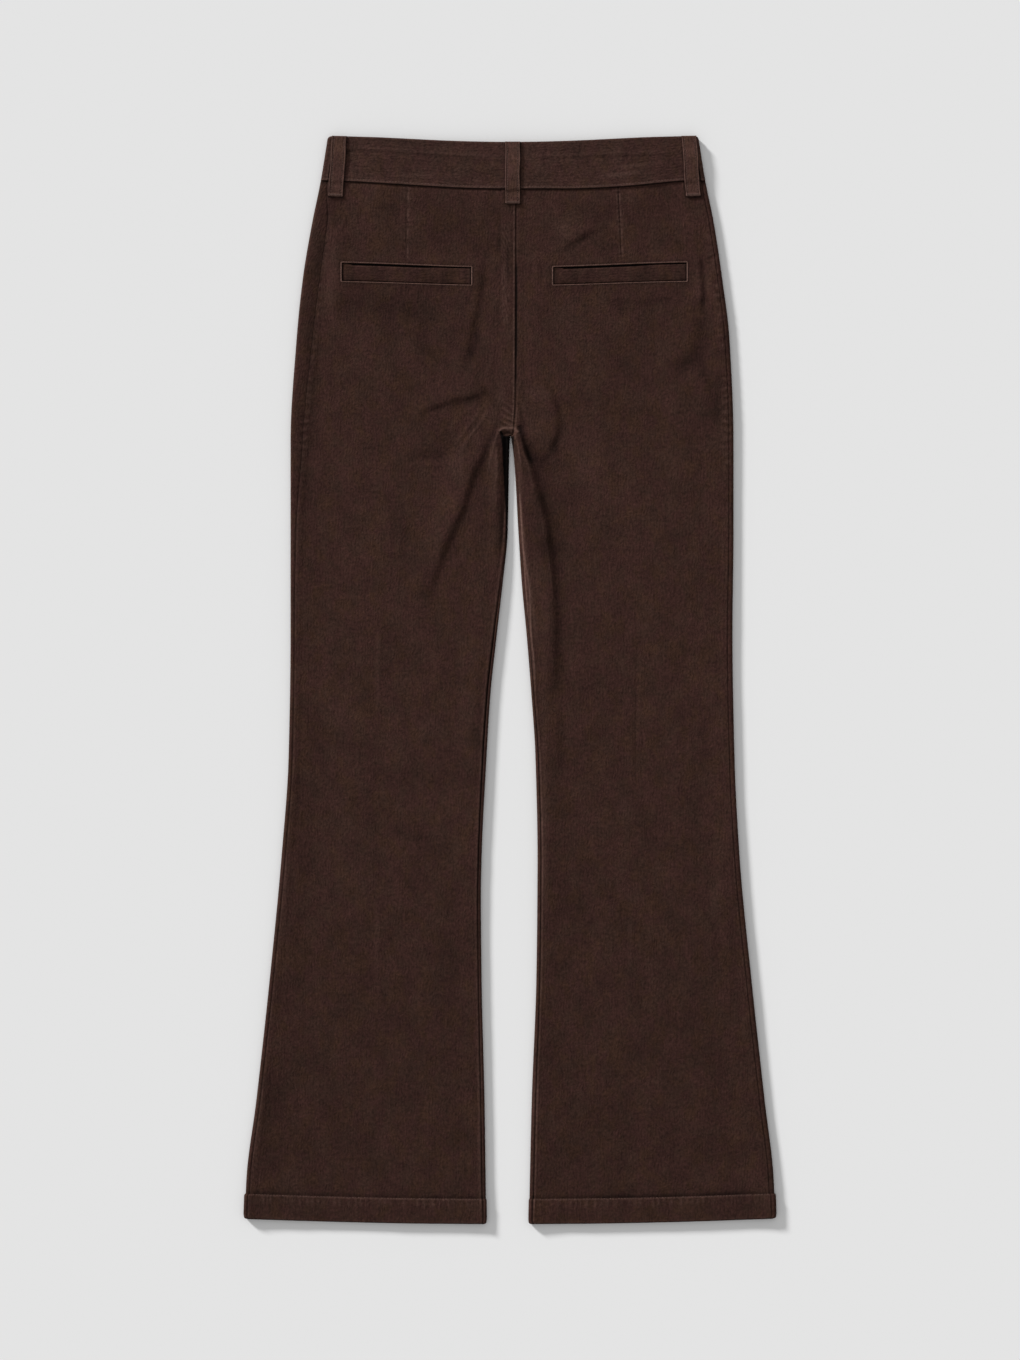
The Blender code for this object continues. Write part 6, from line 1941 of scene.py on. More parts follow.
@dataclass
class BackPocket:
    """A back pocket's welt, the rolled edge round its mouth and the stitching round that."""

    leg: Leg
    wardrobe: Wardrobe
    slit_start: float = 0.3
    slit: float = 2.1
    slit_end: float = 1.15
    thick: float = 1.3
    lip: float = 0.55
    stitch_gap: float = 0.85

    def slit_at(self, share: Array) -> Array:
        """How wide the mouth above the welt is, widest towards its left end; the welt runs on under it,
        lowered and painted black as painted shade.
        """
        along = 1 - share if self.leg.side < 0 else share
        widest = mix(self.slit, self.slit_end, smooth(along, 0.35, 0.9))
        return mix(self.slit_start, widest, smooth(along, 0.02, 0.11))

    def welt(self) -> Object:
        """The strip of double cloth across the mouth, its ribs along it, its top strip lowered and painted
        black as painted shade where the mouth stands open.
        """
        leg = self.leg
        near, far = leg.pocket_near + 0.4, leg.pocket_far - 0.4
        share = np.concatenate([[0, 0.002], np.linspace(0.006, 0.994, 96), [0.998, 1]])
        up = np.concatenate([[0, 0.02, 0.05], np.linspace(0.09, 0.91, 15), [0.95, 0.98, 1]])
        share, up = np.meshgrid(share, up)
        low, high = SIZES.pocket_foot + 0.3, SIZES.pocket_top - 0.25
        level, out = mix(low, high, up), mix(near, far, share)
        base = 2 * SIZES.roll + FORM.plain_rise(leg, out, level) + FORM.relief(leg, out, level).broad
        mouth = smooth(level - high + self.slit_at(share), -0.35, 0.15)
        edge = np.minimum(np.minimum(level - low, high - level), np.minimum(out - near, far - out))
        round_off = 0.5 * drawn_in(edge, 0.6)
        belly = 0.25 * np.sin(math.pi * up) + 0.06 * FORM.SOFT_UNEVEN(2.5 * out, 3 * level)
        ribs = 0.07 * FORM.STREAK_UNEVEN(out * 1.6, 0.0)
        ribs = ribs + 0.05 * ripple(out, 6.1, 3 * FORM.SOFT_UNEVEN(out, 0.0))
        top = base + belly + ribs - 0.35 * bell(level - low, 1.0) - 0.7 * mouth - 0.15
        # A lighter lip under the mouth as painted highlight; painted shade along the lower edge, at both ends
        # and in the mouth, and the whole welt darker in patches.
        wear_and_highlight = 0.12 * bell(high - self.slit_at(share) - level - 0.6, 0.6) * (1 - mouth)
        patchy = 0.12 + 0.14 * FORM.STREAK_UNEVEN(out * 1.6, 0.25 * level)
        patchy += 0.08 * FORM.SOFT_UNEVEN(3 * out, 3 * level)
        painted_shade = 0.95 * bell(level - low, 0.8) + bell(out - near, 0.75) + bell(far - out, 0.75)
        surface = Surface(
            FORM.place(leg, out, level, top - round_off),
            FORM.place(leg, out, level, top - self.thick + 0.8 * round_off),
            grain_map(level, leg.side * out),
            wear_and_highlight,
            np.clip(painted_shade + patchy + mouth, 0, 1),
        )
        piece = cloth_shell(f"pocket_welt_{leg.name}", surface, self.wardrobe.panel, self.wardrobe.reverse)
        dress(piece, [f"welt_{leg.name}"])
        return piece

    def ring(self, beyond: float, corner: float, above: float) -> Array:
        """Points of a line round the mouth, in metres.

        Args:
            beyond: how far outside the mouth it runs.
            corner: its corners' radius.
            above: how far above the panel it floats.
        """
        near, far = self.leg.pocket_near - beyond, self.leg.pocket_far + beyond
        low, high = SIZES.pocket_foot - beyond, SIZES.pocket_top + beyond
        turns = ((far, high, 0.0), (near, high, 0.5), (near, low, 1.0), (far, low, 1.5))
        points = []
        for out, level, start in turns:
            middle_out = out - corner if out == far else out + corner
            middle_level = level - corner if level == high else level + corner
            angle = math.pi * (start + np.linspace(0, 0.5, 5))
            points += zip(middle_out + corner * np.cos(angle), middle_level + corner * np.sin(angle))
        points.append(points[0])
        fine = []
        for (a, b), (c, d) in zip(points, points[1:]):
            count = max(1, round(math.dist((a, b), (c, d)) / 1.6))
            fine += [(mix(a, c, k / count), mix(b, d, k / count)) for k in range(count)]
        line = np.array(fine)
        return FORM.top(self.leg, line[:, 0], line[:, 1], above)

    def edge(self) -> Object:
        """The narrow rolled edge of the panel round the mouth."""
        line = self.ring(0.35, 0.9, -0.1)
        piece = tube(f"pocket_edge_{self.leg.name}", line, self.lip, self.wardrobe.loop, cyclic=True)
        points = numbers_of(piece.data.vertices, "co")
        out = self.leg.side * points[:, 0] / MILLIMETRE
        ends = bell(out - self.leg.pocket_near + 0.4, 0.9) + bell(out - self.leg.pocket_far - 0.4, 0.9)
        # Lighter all round and most at the ends, as worn nap and painted highlight.
        wear_and_highlight = 0.46 + 0.12 * FORM.STREAK_UNEVEN(1.4 * out, 2.0 * out) + 0.54 * ends
        give_masks(piece.data, points[:, :2], wear_and_highlight, 0 * wear_and_highlight)
        return dress(piece)

    def stitches(self) -> Object:
        """The row of edge stitches round the mouth."""
        row = Stitching(f"pocket_stitches_{self.leg.name}", self.wardrobe.thread)
        line = self.ring(self.stitch_gap, 1.2, 0.0)
        row.add(np.vstack([line, line[:1]]), EDGE_STITCH)
        return dress(row.build())

    def build(self) -> None:
        """Make the pocket's three pieces."""
        self.welt()
        self.edge()
        self.stitches()


# --- waistband -------------------------------------------------------------------------------------


class Waistband:
    """The waistband: one piece across the back, and two fronts that lap over each other and fasten."""

    OVERLAP = 11.0
    UNDERLAP = 34.0
    FRONT_HALF = 192.0
    WRAP_COLUMNS = 26
    FRONT_COLUMNS = 74
    STITCHES_UP = 2.3
    BACK_STITCHES = ((LEFT_LEG, 0.5, 4.4), (RIGHT_LEG, 0.5, 4.4))
    FRONT_STITCHES = ((LEFT_LEG, 14.0, 3.0), (RIGHT_LEG, -8.0, 3.0))
    # Their crests are painted lighter, as worn nap and painted highlight, and their troughs darker, as
    # painted shade.
    WRINKLES = (
        Crease(0.3, 1.2, 1.6, ((-160, 1057.5), (-145, 1059), (-110, 1058), (-60, 1057), (8, 1055)),
            0.1, 0.2, 0.14),
        Crease(-0.26, 1.3, 1.3, ((-165, 1054.4), (-146, 1056.4), (-110, 1055.4), (-60, 1054.5),
            (-15, 1052.5)), 0.05, 0.3, 0, 0.2),
        Crease(-0.1, 1.2, 1, ((-166, 1054.6), (-160, 1054.9), (-152, 1056)), 0.05, 0.5, 0, 0.4),
        Crease(0.3, 1.2, 1.6, ((12, 1055.5), (80, 1056), (168, 1054)), 0.15, 0.15, 0.08),
        Crease(-0.26, 1.3, 1.3, ((14, 1053), (80, 1053.5), (168, 1051.5)), 0.15, 0.15, 0, 0.16),
        Crease(0.28, 1.6, 1.6, ((84, 1036), (112, 1037), (136, 1038.5)), 0.3, 0.3, 0.3),
        Crease(0.25, 1.3, 1.6, ((98, 1043.5), (122, 1044), (150, 1045)), 0.3, 0.3, 0.2),
        Crease(0.22, 2, 2, ((-120, 1036), (-92, 1035), (-60, 1036.5)), 0.4, 0.4, 0.1),
        Crease(0.25, 1.5, 1.8, ((-28, 1043), (-18, 1047), (-12, 1052)), 0.3, 0.3, 0.1),
        Crease(-0.25, 2.5, 2.5, ((20, 1064), (26, 1056), (30, 1048)), 0.3, 0.3),
    )
    UNEVEN = Unevenness(21, 34.0, 12.0)

    def __init__(self, wardrobe: Wardrobe) -> None:
        """Keep the materials."""
        self.wardrobe = wardrobe

    def levels(self) -> Array:
        """The band's rows, close together at its two edges."""
        foot = SIZES.band_foot
        top = stations((1064.0, 1068.8, 0.8), (1068.8, SIZES.length, 0.3))
        return np.concatenate([stations((foot, foot + 1.2, 0.3), (foot + 1.2, 1064.0, 1.3))[:-1], top])

    def relief(self, x: Array, level: Array) -> tuple[Array, Array, Array]:
        """What the band's back has above its plain face, with its lighter paint of worn nap and painted
        highlight, and its painted shade.

        Args:
            x: places across.
            level: their levels.

        Returns:
            The height, the lighter paint and the painted shade.
        """
        x, level = np.broadcast_arrays(x, level)
        above_foot = level - SIZES.band_foot
        height = 0.2 * self.UNEVEN(x, level) + 0.06 * LaidForm.STREAK_UNEVEN(level * 2, x * 2)
        # Painted shadows beside the back's belt loops, and a line of painted shadow along the band's foot.
        wear_and_highlight, painted_shade = np.zeros(x.shape), FORM.loop_shade(x, level) + 0.9 * bell(above_foot, 0.45)
        for wrinkle in self.WRINKLES:
            share = wrinkle.profile(x, level)
            height += wrinkle.height * share
            wear_and_highlight += wrinkle.wear_and_highlight * share
            painted_shade += wrinkle.painted_shade * share
        height += -0.22 * bell(above_foot - 2.4, 0.7) + 0.3 * bell(above_foot - 0.9, 1.1)
        height += 0.06 * ripple(x, 3.1) * bell(above_foot - 3.4, 1.6)
        # Lighter lines at the foot, along the stitching and at the top edge, as worn nap and painted
        # highlight.
        wear_and_highlight += 0.42 * bell(above_foot - 0.9, 0.5) + 0.12 * bell(above_foot - 4.4, 0.6)
        wear_and_highlight += 0.25 * bell(SIZES.length - level - 0.6, 0.7)
        return height, np.clip(wear_and_highlight, 0, 1), np.clip(painted_shade, 0, 1)

    def ends(self, level: Array) -> Array:
        """How far the cloth's two faces draw together at the band's rounded edges."""
        return 0.85 * drawn_in(np.minimum(level - SIZES.band_foot, SIZES.length - level), 1.1)

    def rise(self, x: Array, level: Array, edge: Array) -> Array:
        """What the band's back has above its rolled edge's height."""
        return FORM.lift(x, level) + FORM.stack(x, level) - 0.2 * smooth(edge, SIZES.band_roll, 35)

    def back_top(self, x: Array, level: Array, above: float = 0.0) -> Array:
        """Points on the upper face of the band's back, in metres."""
        x, level = np.broadcast_arrays(np.asarray(x, float), np.asarray(level, float))
        leg = LEFT_LEG if float(np.mean(x)) < 0 else RIGHT_LEG
        out = leg.side * x
        edge = FORM.outer_out(leg, level) - out
        height = 2 * SIZES.band_roll + self.rise(x, level, edge) + self.relief(x, level)[0]
        return FORM.place(leg, out, level, height + above)

    def back(self) -> Object:
        """The band across the back, from side seam to side seam."""
        level = self.levels()[:, None]
        ends = {}
        for leg in (LEFT_LEG, RIGHT_LEG):
            inset = BAND_RIM.inset(leg.side_lap(level) + SIZES.seam / 2)
            ends[leg.side] = leg.side * (FORM.outer_out(leg, level) - inset)
        share = np.concatenate([[0, 0.0015], np.linspace(0.004, 0.996, 226), [0.9985, 1]])[None]
        x = mix(ends[-1], ends[1], share)
        left = x < 0
        edge = np.where(left, FORM.outer_out(LEFT_LEG, level), FORM.outer_out(RIGHT_LEG, level)) - np.abs(x)
        height, wear_and_highlight, painted_shade = self.relief(x, level)
        seam = np.minimum(x - ends[-1], ends[1] - x)
        height = height - 0.4 * bell(seam, 0.8)
        flat = 2 * SIZES.band_roll + self.rise(x, level, edge)
        shut = self.ends(level)
        top = flat + height - shut
        deep = np.minimum(flat - SIZES.band_cloth + 0.6 * shut, top - 0.15)
        places = [
            np.where(left[..., None], FORM.place(LEFT_LEG, -x, level, z), FORM.place(RIGHT_LEG, x, level, z))
            for z in (top, deep)
        ]
        # Lighter lines beside the side seams, as worn nap and painted highlight, and painted shade in them.
        wear_and_highlight = wear_and_highlight + 0.3 * bell(seam - 1.2, 0.9)
        painted_shade = np.clip(painted_shade + 0.5 * bell(seam, 0.7), 0, 1)
        surface = Surface(*places, grain_map(level, x), wear_and_highlight, painted_shade)
        piece = cloth_shell("waistband_back_cloth", surface, self.wardrobe.band, self.wardrobe.reverse)
        dress(piece, ["waistband_back"])
        return piece

    def front(self, leg: Leg, stop: float, behind: float) -> Object:
        """A front half of the band, from its side seam round the edge and along the table.

        Args:
            leg: the side it belongs to.
            stop: the x of its end.
            behind: how far its end lies above the other front's level.

        Returns:
            The new object.
        """
        level = self.levels()[:, None]
        flat_from = FORM.outer_out(leg, level) - BAND_RIM.roll
        lap = mix(leg.side_lap(level) - SIZES.seam / 2, -BAND_RIM.quarter, shares(self.WRAP_COLUMNS))
        inset, height, deep_inset, deep_height, up = BAND_RIM.faces(lap, SIZES.band_cloth)
        outer = FORM.outer_out(leg, level)
        out = outer - inset
        relief, wear_and_highlight, _ = self.relief(leg.side * out, level)
        rise = self.rise(leg.side * out, level, inset) * up + FORM.lift(leg.side * out, level) * (1 - up)
        shut = self.ends(level)
        wrap_top = height + rise + relief * up - shut * up + shut * (1 - up) * (lap < 0)
        wrap_deep = deep_height + rise
        # Lighter paint on the wrap and beside its side seam, as worn nap and painted highlight.
        wrap_wear_and_highlight = wear_and_highlight * up + 0.3 * bell(leg.side_lap(level) - lap - 1.2, 0.9)
        flat_out = mix(flat_from, leg.side * stop, shares(self.FRONT_COLUMNS + 1)[:, 1:])
        crossing = 1 - smooth(flat_out, -leg.side - 2.0, -leg.side + 14.0)
        groove = 0.2 * bell(level - SIZES.band_foot - 2.4, 0.8)
        low = FORM.lift(leg.side * flat_out, level) + behind * crossing + groove
        end = np.abs(flat_out - leg.side * stop)
        flat_shut = np.maximum(shut, 0.8 * drawn_in(end, 1.0))
        flat_low = low + 0.9 * flat_shut
        flat_deep = low + SIZES.band_cloth - groove - 0.9 * flat_shut
        flat_wear = 0.6 * bell(level - SIZES.band_foot - 0.6, 0.9) + 0.4 * bell(end - 0.6, 0.8)
        outs = np.concatenate([out, flat_out], 1)
        deep_outs = np.concatenate([outer - deep_inset, flat_out], 1)
        heights = np.concatenate([wrap_top, flat_low], 1)
        deep_heights = np.concatenate([wrap_deep, flat_deep], 1)
        across = np.concatenate([flat_from + lap + BAND_RIM.quarter, flat_out], 1)
        laps = np.concatenate([lap, np.broadcast_to(lap[:, -1:], flat_out.shape)], 1)
        surface = Surface(
            FORM.place(leg, outs, level, heights),
            FORM.place(leg, deep_outs, level, deep_heights),
            grain_map(level, leg.side * across),
            np.clip(np.concatenate([wrap_wear_and_highlight, flat_wear], 1), 0, 1),
            # Painted shade along the side seam.
            0.5 * bell(leg.side_lap(level) - laps, 0.7),
        )
        name = f"waistband_front_{leg.name}"
        piece = cloth_shell(f"{name}_cloth", surface, self.wardrobe.band, self.wardrobe.reverse)
        dress(piece, [name])
        return piece

    def stitch_line(self, leg: Leg, start: float, short: float) -> tuple[Array, Array]:
        """Places from start to so far short of the side, as out and level, just above the lower edge."""
        level = SIZES.band_foot + self.STITCHES_UP
        outs = np.arange(start, float(FORM.outer_out(leg, np.array(level))) - short, 1.0)
        return outs, np.full(len(outs), level)

    def stitches(self) -> None:
        """The line of stitching just above the band's lower edge, on the back and on the front."""
        row = Stitching("waistband_stitches_back", self.wardrobe.thread)
        for leg, start, short in self.BACK_STITCHES:
            outs, level = self.stitch_line(leg, start, short)
            row.add(self.back_top(leg.side * outs, level), TOPSTITCH)
        dress(row.build())
        row = Stitching("waistband_stitches_front", self.wardrobe.thread)
        for leg, start, short in self.FRONT_STITCHES:
            outs, level = self.stitch_line(leg, start, short)
            row.add(FORM.place(leg, outs, level, FORM.lift(outs, level) + 0.3), TOPSTITCH, side_up=-1.0)
        dress(row.build())

    def build(self) -> None:
        """Make the band and its stitching."""
        self.back()
        behind = SIZES.band_cloth + 0.3
        self.front(LEFT_LEG, SIZES.centre_front + self.UNDERLAP, behind)
        self.front(RIGHT_LEG, SIZES.centre_front - self.OVERLAP, 0.0)
        self.stitches()


# --- belt loops ------------------------------------------------------------------------------------


@dataclass
class BeltLoop:
    """A belt loop: a narrow strip folded along both edges, turned under and tacked at its foot."""

    name: str
    leg: Leg
    foot_out: float
    top_out: float
    band: Waistband
    wardrobe: Wardrobe
    seed: int
    on_back: bool
    corner: float = 1.7

    def middle(self, level: Array) -> Array:
        """How far out the strip's middle line lies."""
        return mix(self.foot_out, self.top_out, ramp(level, SIZES.loop_foot, SIZES.length))

    def bow(self, level: Array) -> Array:
        """How the strip stands off what it crosses, most over the middle of the waistband."""
        if not self.on_back:
            return 0 * level
        levels = [SIZES.loop_foot, 1015.5, 1028.0, 1040.0, 1052.0, 1063.0, SIZES.length]
        return SIZES.loop_bow * Profile(levels, [0.0, 0.1, 0.2, 0.9, 1.0, 0.5, 0.1])(level)

    def ground(self, out: Array, level: Array) -> Array:
        """Height of what the strip lies on, the step up to the waistband eased."""
        if not self.on_back:
            return 0 * out * level
        x = self.leg.side * out
        edge = FORM.outer_out(self.leg, level) - out
        panel = 2 * SIZES.roll + FORM.plain_rise(self.leg, out, np.minimum(level, SIZES.band_foot))
        band = 2 * SIZES.band_roll + self.band.rise(x, level, edge)
        return mix(panel, band, smooth(level, SIZES.band_foot - 3, SIZES.band_foot))

    def face(self, across: Array, level: Array) -> tuple[Array, Array]:
        """The strip's upper face.

        Args:
            across: shares of the width, -1 to 1 from edge to edge.
            level: the rows' levels.

        Returns:
            How far above the ground the face is, and how much lighter it is painted, as worn nap and painted
            highlight.
        """
        uneven = Unevenness(self.seed, 6.0, 9.0)
        edge, above_foot = 1 - np.abs(across), level - SIZES.loop_foot
        folds = 0.3 * bell(edge - 0.1, 0.12) - 0.2 * bell(edge - 0.28, 0.1)
        tack = 0.35 * bell(above_foot - 1.2, 1.3)
        height = SIZES.loop_thick + folds + tack + 0.07 * uneven(across * 7, level)
        crease = -0.2 * bell(above_foot - 4.0, 1.0)
        # Lighter edges, foot lip and top, as worn nap and painted highlight.
        wear_and_highlight = 0.42 * bell(edge - 0.1, 0.07) + 1.2 * bell(above_foot - 1.05, 0.65)
        wear_and_highlight = wear_and_highlight + 0.2 * bell(SIZES.length - level, 1.0)
        return height + crease, np.clip(wear_and_highlight, 0, 1)

    def surface(self) -> Surface:
        """Lay the strip's rows from its foot to the waist's edge."""
        foot, top = SIZES.loop_foot, SIZES.length
        spans = (foot, foot + 1, 0.25), (foot + 1, foot + 6, 0.7), (foot + 6, top - 1, 1.3)
        level = stations(*spans, (top - 1, top, 0.35))[:, None]
        across = np.concatenate([[-1, -0.985, -0.95], np.linspace(-0.9, 0.9, 25), [0.95, 0.985, 1]])[None]
        sway = 0.25 * ripple(level - foot, 41.0, self.seed)
        round_off = self.corner - np.sqrt(self.corner**2 - np.maximum(self.corner - (level - foot), 0.0) ** 2)
        half = SIZES.loop_width / 2 - round_off + 0.12 * np.sin(level / 3.7)
        out = self.middle(level) + across * half + sway
        low = self.ground(out, level) + self.bow(level) + 0.3 * self.on_back
        face, wear_and_highlight = self.face(across, level)
        edge = (1 - np.abs(across)) * SIZES.loop_width / 2
        end = np.minimum(level - foot, SIZES.length - level)
        shut = 0.62 * drawn_in(np.minimum(edge, end), 0.75)
        showing, hidden = low + face - shut, low + 0.6 * shut
        if not self.on_back:
            showing = low + (SIZES.loop_thick - face) * 0.5 + 0.36 + 0.6 * shut
            hidden = low + SIZES.loop_thick - 0.5 * shut
        # Painted shade along the strip's edges, in the lines inside them and under its foot.
        painted_shade = 0.5 * bell(edge, 0.35) + 0.3 * bell(edge - 2.2, 0.55) + 0.5 * bell(level - foot, 0.3)
        faces = (FORM.place(self.leg, out, level, height) for height in (showing, hidden))
        return Surface(*faces, grain_map(self.leg.side * out, level), wear_and_highlight, np.clip(painted_shade, 0, 1))

    def stitches(self) -> Object:
        """Both edges' stitching, and the tack's two rows at the foot."""
        row = Stitching(f"{self.name}_stitches", self.wardrobe.thread)
        facing = 1.0 if self.on_back else -1.0
        level = np.arange(SIZES.loop_foot + 3.4, SIZES.length - 2.0, 1.0)
        for across in (-0.66, 0.66):
            row.add(self.points(np.full(len(level), across), level), EDGE_STITCH, facing)
        places = np.linspace(-0.84, 0.84, 19)
        for foot in (1.3, 2.1):
            level = np.full(len(places), SIZES.loop_foot + foot)
            ends = self.points(places, level - 0.75), self.points(places + 0.04, level + 0.75)
            row.put(*ends, BAR_TACK, facing)
        return dress(row.build())

    def points(self, across: Array, level: Array) -> Array:
        """Points on the strip's showing face, in metres."""
        out = self.middle(level) + across * SIZES.loop_width / 2
        face, _ = self.face(across, level)
        height = self.ground(out, level) + self.bow(level) + 0.3 + face
        if not self.on_back:
            height = (SIZES.loop_thick - face) * 0.5 + 0.74 + 0 * out
        return FORM.place(self.leg, out, level, height)

    def build(self) -> None:
        """Make the strip and its stitching."""
        piece = cloth_shell(f"belt_{self.name}", self.surface(), self.wardrobe.loop, self.wardrobe.reverse)
        dress(piece, [self.name])
        self.stitches()


# --- hems, darts and front stitching ---------------------------------------------------------------


class SeamStitching:
    """The stitching of the hems and of the fly."""

    HEM_INSET = 3.2
    HEM_STEP = 1.2
    FLY_LOWEST = 0.33

    def __init__(self, wardrobe: Wardrobe) -> None:
        """Keep the materials."""
        self.wardrobe = wardrobe

    def hem(self, leg: Leg) -> None:
        """One leg's hem, on its upper and on its lower side."""
        level = SIZES.hem_depth + 0.1
        inner = float(FORM.inner_out(leg, np.array(level))) + self.HEM_INSET
        outer = float(FORM.outer_out(leg, np.array(level))) - self.HEM_INSET
        outs = np.arange(inner, outer, self.HEM_STEP)
        level = np.full(len(outs), level)
        row = Stitching(f"hem_stitches_{leg.name}", self.wardrobe.thread)
        row.add(FORM.top(leg, outs, level), HEM_STITCH)
        low = UNDERSIDE.relief(leg, outs, level)
        row.add(FORM.place(leg, outs, level, low + 0.1), TOPSTITCH, side_up=-1.0)
        dress(row.build())

    def fly(self) -> None:
        """The fly's two curved rows of stitching on the right front."""
        row = Stitching("fly_stitches", self.wardrobe.thread)
        for inward in (0.0, Underside.ROW_GAP):
            line = UNDERSIDE.fly_line(inward)
            x, level = line[:, 0], line[:, 1]
            low = np.maximum(FORM.lift(x, level) + UNDERSIDE.relief(RIGHT_LEG, x, level), self.FLY_LOWEST)
            row.add(FORM.place(RIGHT_LEG, x, level, low), TOPSTITCH, side_up=-1.0)
        dress(row.build())

    def build(self) -> None:
        """Make them all."""
        for leg in (LEFT_LEG, RIGHT_LEG):
            self.hem(leg)
        self.fly()


# --- fly and fastening -----------------------------------------------------------------------------


class Fastening:
    """The fly's shield, the zip with its slider, the button with its thread, and the buttonhole."""

    SHIELD_HALF = 20.0
    SHIELD_FOOT = 835.0
    SHIELD_TOP = 1004.0
    SHIELD_THICK = 1.1
    SHIELD_HEIGHT = 2.6
    BUTTON_LEVEL = 1048.0
    HOLE_SPREAD = 1.9
    BUTTONHOLE = 21.0
    HOLE_REACH = (0.7, 2.7)

    def __init__(self, wardrobe: Wardrobe) -> None:
        """Keep the materials."""
        self.wardrobe = wardrobe

    def shield(self) -> Object:
        """The tongue of cloth behind the zip, round at its foot."""
        foot, top = self.SHIELD_FOOT, self.SHIELD_TOP
        level = stations((foot, foot + 16, 0.8), (foot + 16, top, 3.0))[:, None]
        half = self.SHIELD_HALF * mix(0.3, 1.0, 1 - drawn_in(level - foot, 15))
        share = np.linspace(-1, 1, 31)[None]
        out = SIZES.centre_front + share * half
        low = FORM.lift(out, level) + self.SHIELD_HEIGHT + 0.02 * FORM.SOFT_UNEVEN(out * 2, level)
        edge = np.minimum((1 - np.abs(share)) * half, np.minimum(level - foot, top - level))
        shut = 0.45 * drawn_in(edge, 0.6)
        faces = (FORM.place(RIGHT_LEG, out, level, z) for z in (low + self.SHIELD_THICK - shut, low + shut))
        surface = Surface(*faces, grain_map(out, level), 0.4 * bell(edge - 0.5, 0.7), 0.0)
        piece = cloth_shell("fly_shield_cloth", surface, self.wardrobe.panel, self.wardrobe.reverse)
        dress(piece, ["fly_shield"])
        return piece

    def button_thread(self) -> Object:
        """The crossed threads through the button's four holes, on its face."""
        low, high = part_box("button")
        middle = np.array([(low[0] + high[0]) / 2, (low[1] + high[1]) / 2, 0.0])
        spread = self.HOLE_SPREAD * MILLIMETRE
        row = Stitching("button_thread", self.wardrobe.thread)
        crossing = Thread(length=1.0, pitch=1.0, width=0.55, height=0.4, sink=0.0)
        for side in (-1, 1):
            for shift in (-0.35, 0.0, 0.35):
                aside = np.array([side * shift, shift, 0.0]) * MILLIMETRE
                a = middle + np.array([-spread, -side * spread, 0.45 * MILLIMETRE]) + aside
                b = middle + np.array([spread, side * spread, 0.45 * MILLIMETRE]) + aside
                row.put(a[None], b[None], crossing, side_up=-1.0)
        return dress(row.build())

    def buttonhole(self) -> Object:
        """The worked buttonhole in the right end of the waistband, round the button's shank."""
        row = Stitching("buttonhole_stitches", self.wardrobe.thread)
        start = SIZES.centre_front - 2.0
        outs = np.arange(start, start + self.BUTTONHOLE, 0.62)
        lines = [[(outs, side * reach) for reach in self.HOLE_REACH] for side in (-1, 1)]
        turns = np.linspace(-math.pi / 2, math.pi / 2, 9)
        for end, facing in ((outs[0], -1), (outs[-1], 1)):
            along, across = facing * np.cos(turns), np.sin(turns)
            lines.append([(end + reach * along, reach * across) for reach in self.HOLE_REACH])
        for pair in lines:
            ends = (FORM.place(RIGHT_LEG, out, self.BUTTON_LEVEL + up, SIZES.lift + 0.1) for out, up in pair)
            row.put(*ends, BAR_TACK, side_up=-1.0)
        return dress(row.build())

    def repaint(self) -> None:
        """Give the hard pieces their finishes."""
        wardrobe = self.wardrobe
        finishes = {"zip": wardrobe.tape, "zip_slider": wardrobe.metal, "button": wardrobe.horn}
        for node, finish in finishes.items():
            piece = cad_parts[node]
            piece = bpy.data.objects[piece] if isinstance(piece, str) else piece
            for slot in piece.material_slots:
                slot.material = finish

    def build(self) -> None:
        """Make the cloth and the threads, and repaint the rest."""
        self.shield()
        self.button_thread()
        self.buttonhole()
        self.repaint()


# --- the studio ------------------------------------------------------------------------------------


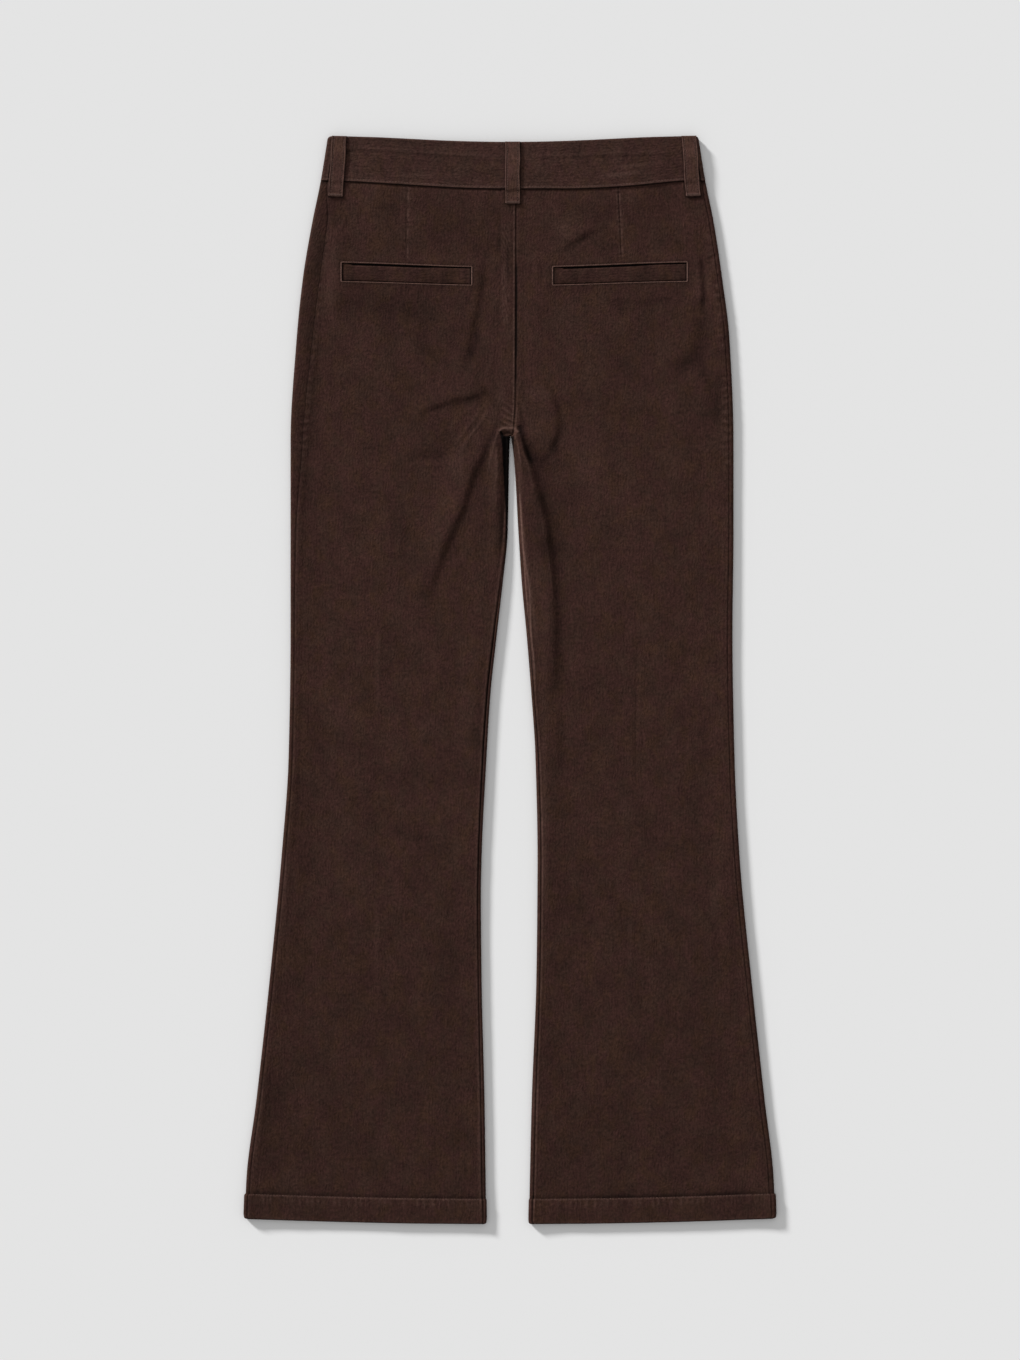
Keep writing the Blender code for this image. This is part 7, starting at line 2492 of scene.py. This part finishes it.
@dataclass(frozen=True)
class Studio:
    """A plain pale floor, a soft key from the upper left, an even fill, and the camera straight above."""

    floor_colour: Colour = (0.776, 0.776, 0.776)
    key_strength: float = 4.99
    key_height: float = 16.5
    key_spread: float = 8.0
    fill: float = 0.55
    lens: float = 85.0
    sensor: float = 36.0
    view_height: float = 1.337
    cloth_height: float = 0.005

    def floor(self) -> None:
        """A pale matt floor with the faintest unevenness."""
        deselect()
        bpy.ops.mesh.primitive_plane_add(size=12.0, location=(0, 0, 0))
        floor = bpy.context.object
        floor.name = floor.data.name = "floor"
        material, graph, shader = new_material("pale_floor")
        place = graph.node("TexCoord").outputs["Object"]
        darker = tuple(0.996 * c for c in self.floor_colour)
        colour = graph.blend(graph.noise(place, 1.5, 2.0), darker, self.floor_colour)
        graph.feed(shader, {"Base Color": colour, "Roughness": 1.0, "Specular IOR Level": 0.0})
        floor.data.materials.append(material)

    def lamps(self) -> None:
        """The key and the fill."""
        lamp = bpy.data.lights.new("key", "SUN")
        lamp.energy = self.key_strength
        lamp.angle = math.radians(self.key_spread)
        key = bpy.data.objects.new("key", lamp)
        height = math.radians(self.key_height)
        level = math.cos(height) * math.sqrt(0.5)
        heading = Vector((level, -level, -math.sin(height)))
        key.rotation_mode = "QUATERNION"
        key.rotation_quaternion = heading.to_track_quat("-Z", "Y")
        key.location = -2.0 * heading
        bpy.context.scene.collection.objects.link(key)
        world = bpy.data.worlds.new("studio")
        world.use_nodes = True
        graph = Graph(world.node_tree)
        seen = graph.node("LightPath").outputs["Is Camera Ray"]
        strength = graph.spread(seen, 0.0, 1.0, self.fill, self.floor_colour[0])
        graph.feed(world.node_tree.nodes["Background"], {"Color": (1, 1, 1, 1), "Strength": strength})
        bpy.context.scene.world = world

    def camera(self) -> None:
        """The camera, looking straight down with the waist at the top."""
        data = bpy.data.cameras.new("camera")
        data.lens = self.lens
        data.sensor_width = self.sensor
        data.clip_end = 50.0
        camera = bpy.data.objects.new("camera", data)
        distance = self.view_height / 2 * self.lens / (self.sensor / 2)
        camera.location = (0.0, 0.0, distance + self.cloth_height)
        bpy.context.scene.collection.objects.link(camera)
        bpy.context.scene.camera = camera

    def build(self) -> None:
        """Set the stage."""
        self.floor()
        self.lamps()
        self.camera()
        bpy.context.scene.view_settings.view_transform = "Standard"


def main() -> None:
    """Build the studio, then the garment from its panels to its fastening."""
    logging.basicConfig(level=logging.INFO, format="%(name)s: %(message)s")
    Studio().build()
    wardrobe = Wardrobe.build()
    for leg in (LEFT_LEG, RIGHT_LEG):
        FrontPanel(leg, wardrobe.panel, wardrobe.reverse).build()
        BackPanel(leg, wardrobe.panel, wardrobe.reverse).build()
        BackPocket(leg, wardrobe).build()
    band = Waistband(wardrobe)
    band.build()
    for seed, (name, place) in enumerate((BACK_LOOPS | FRONT_LOOPS).items(), start=31):
        BeltLoop(f"loop_{name}", *place, band, wardrobe, seed, on_back=name in BACK_LOOPS).build()
    SeamStitching(wardrobe).build()
    Fastening(wardrobe).build()


if __name__ == "__main__":
    main()
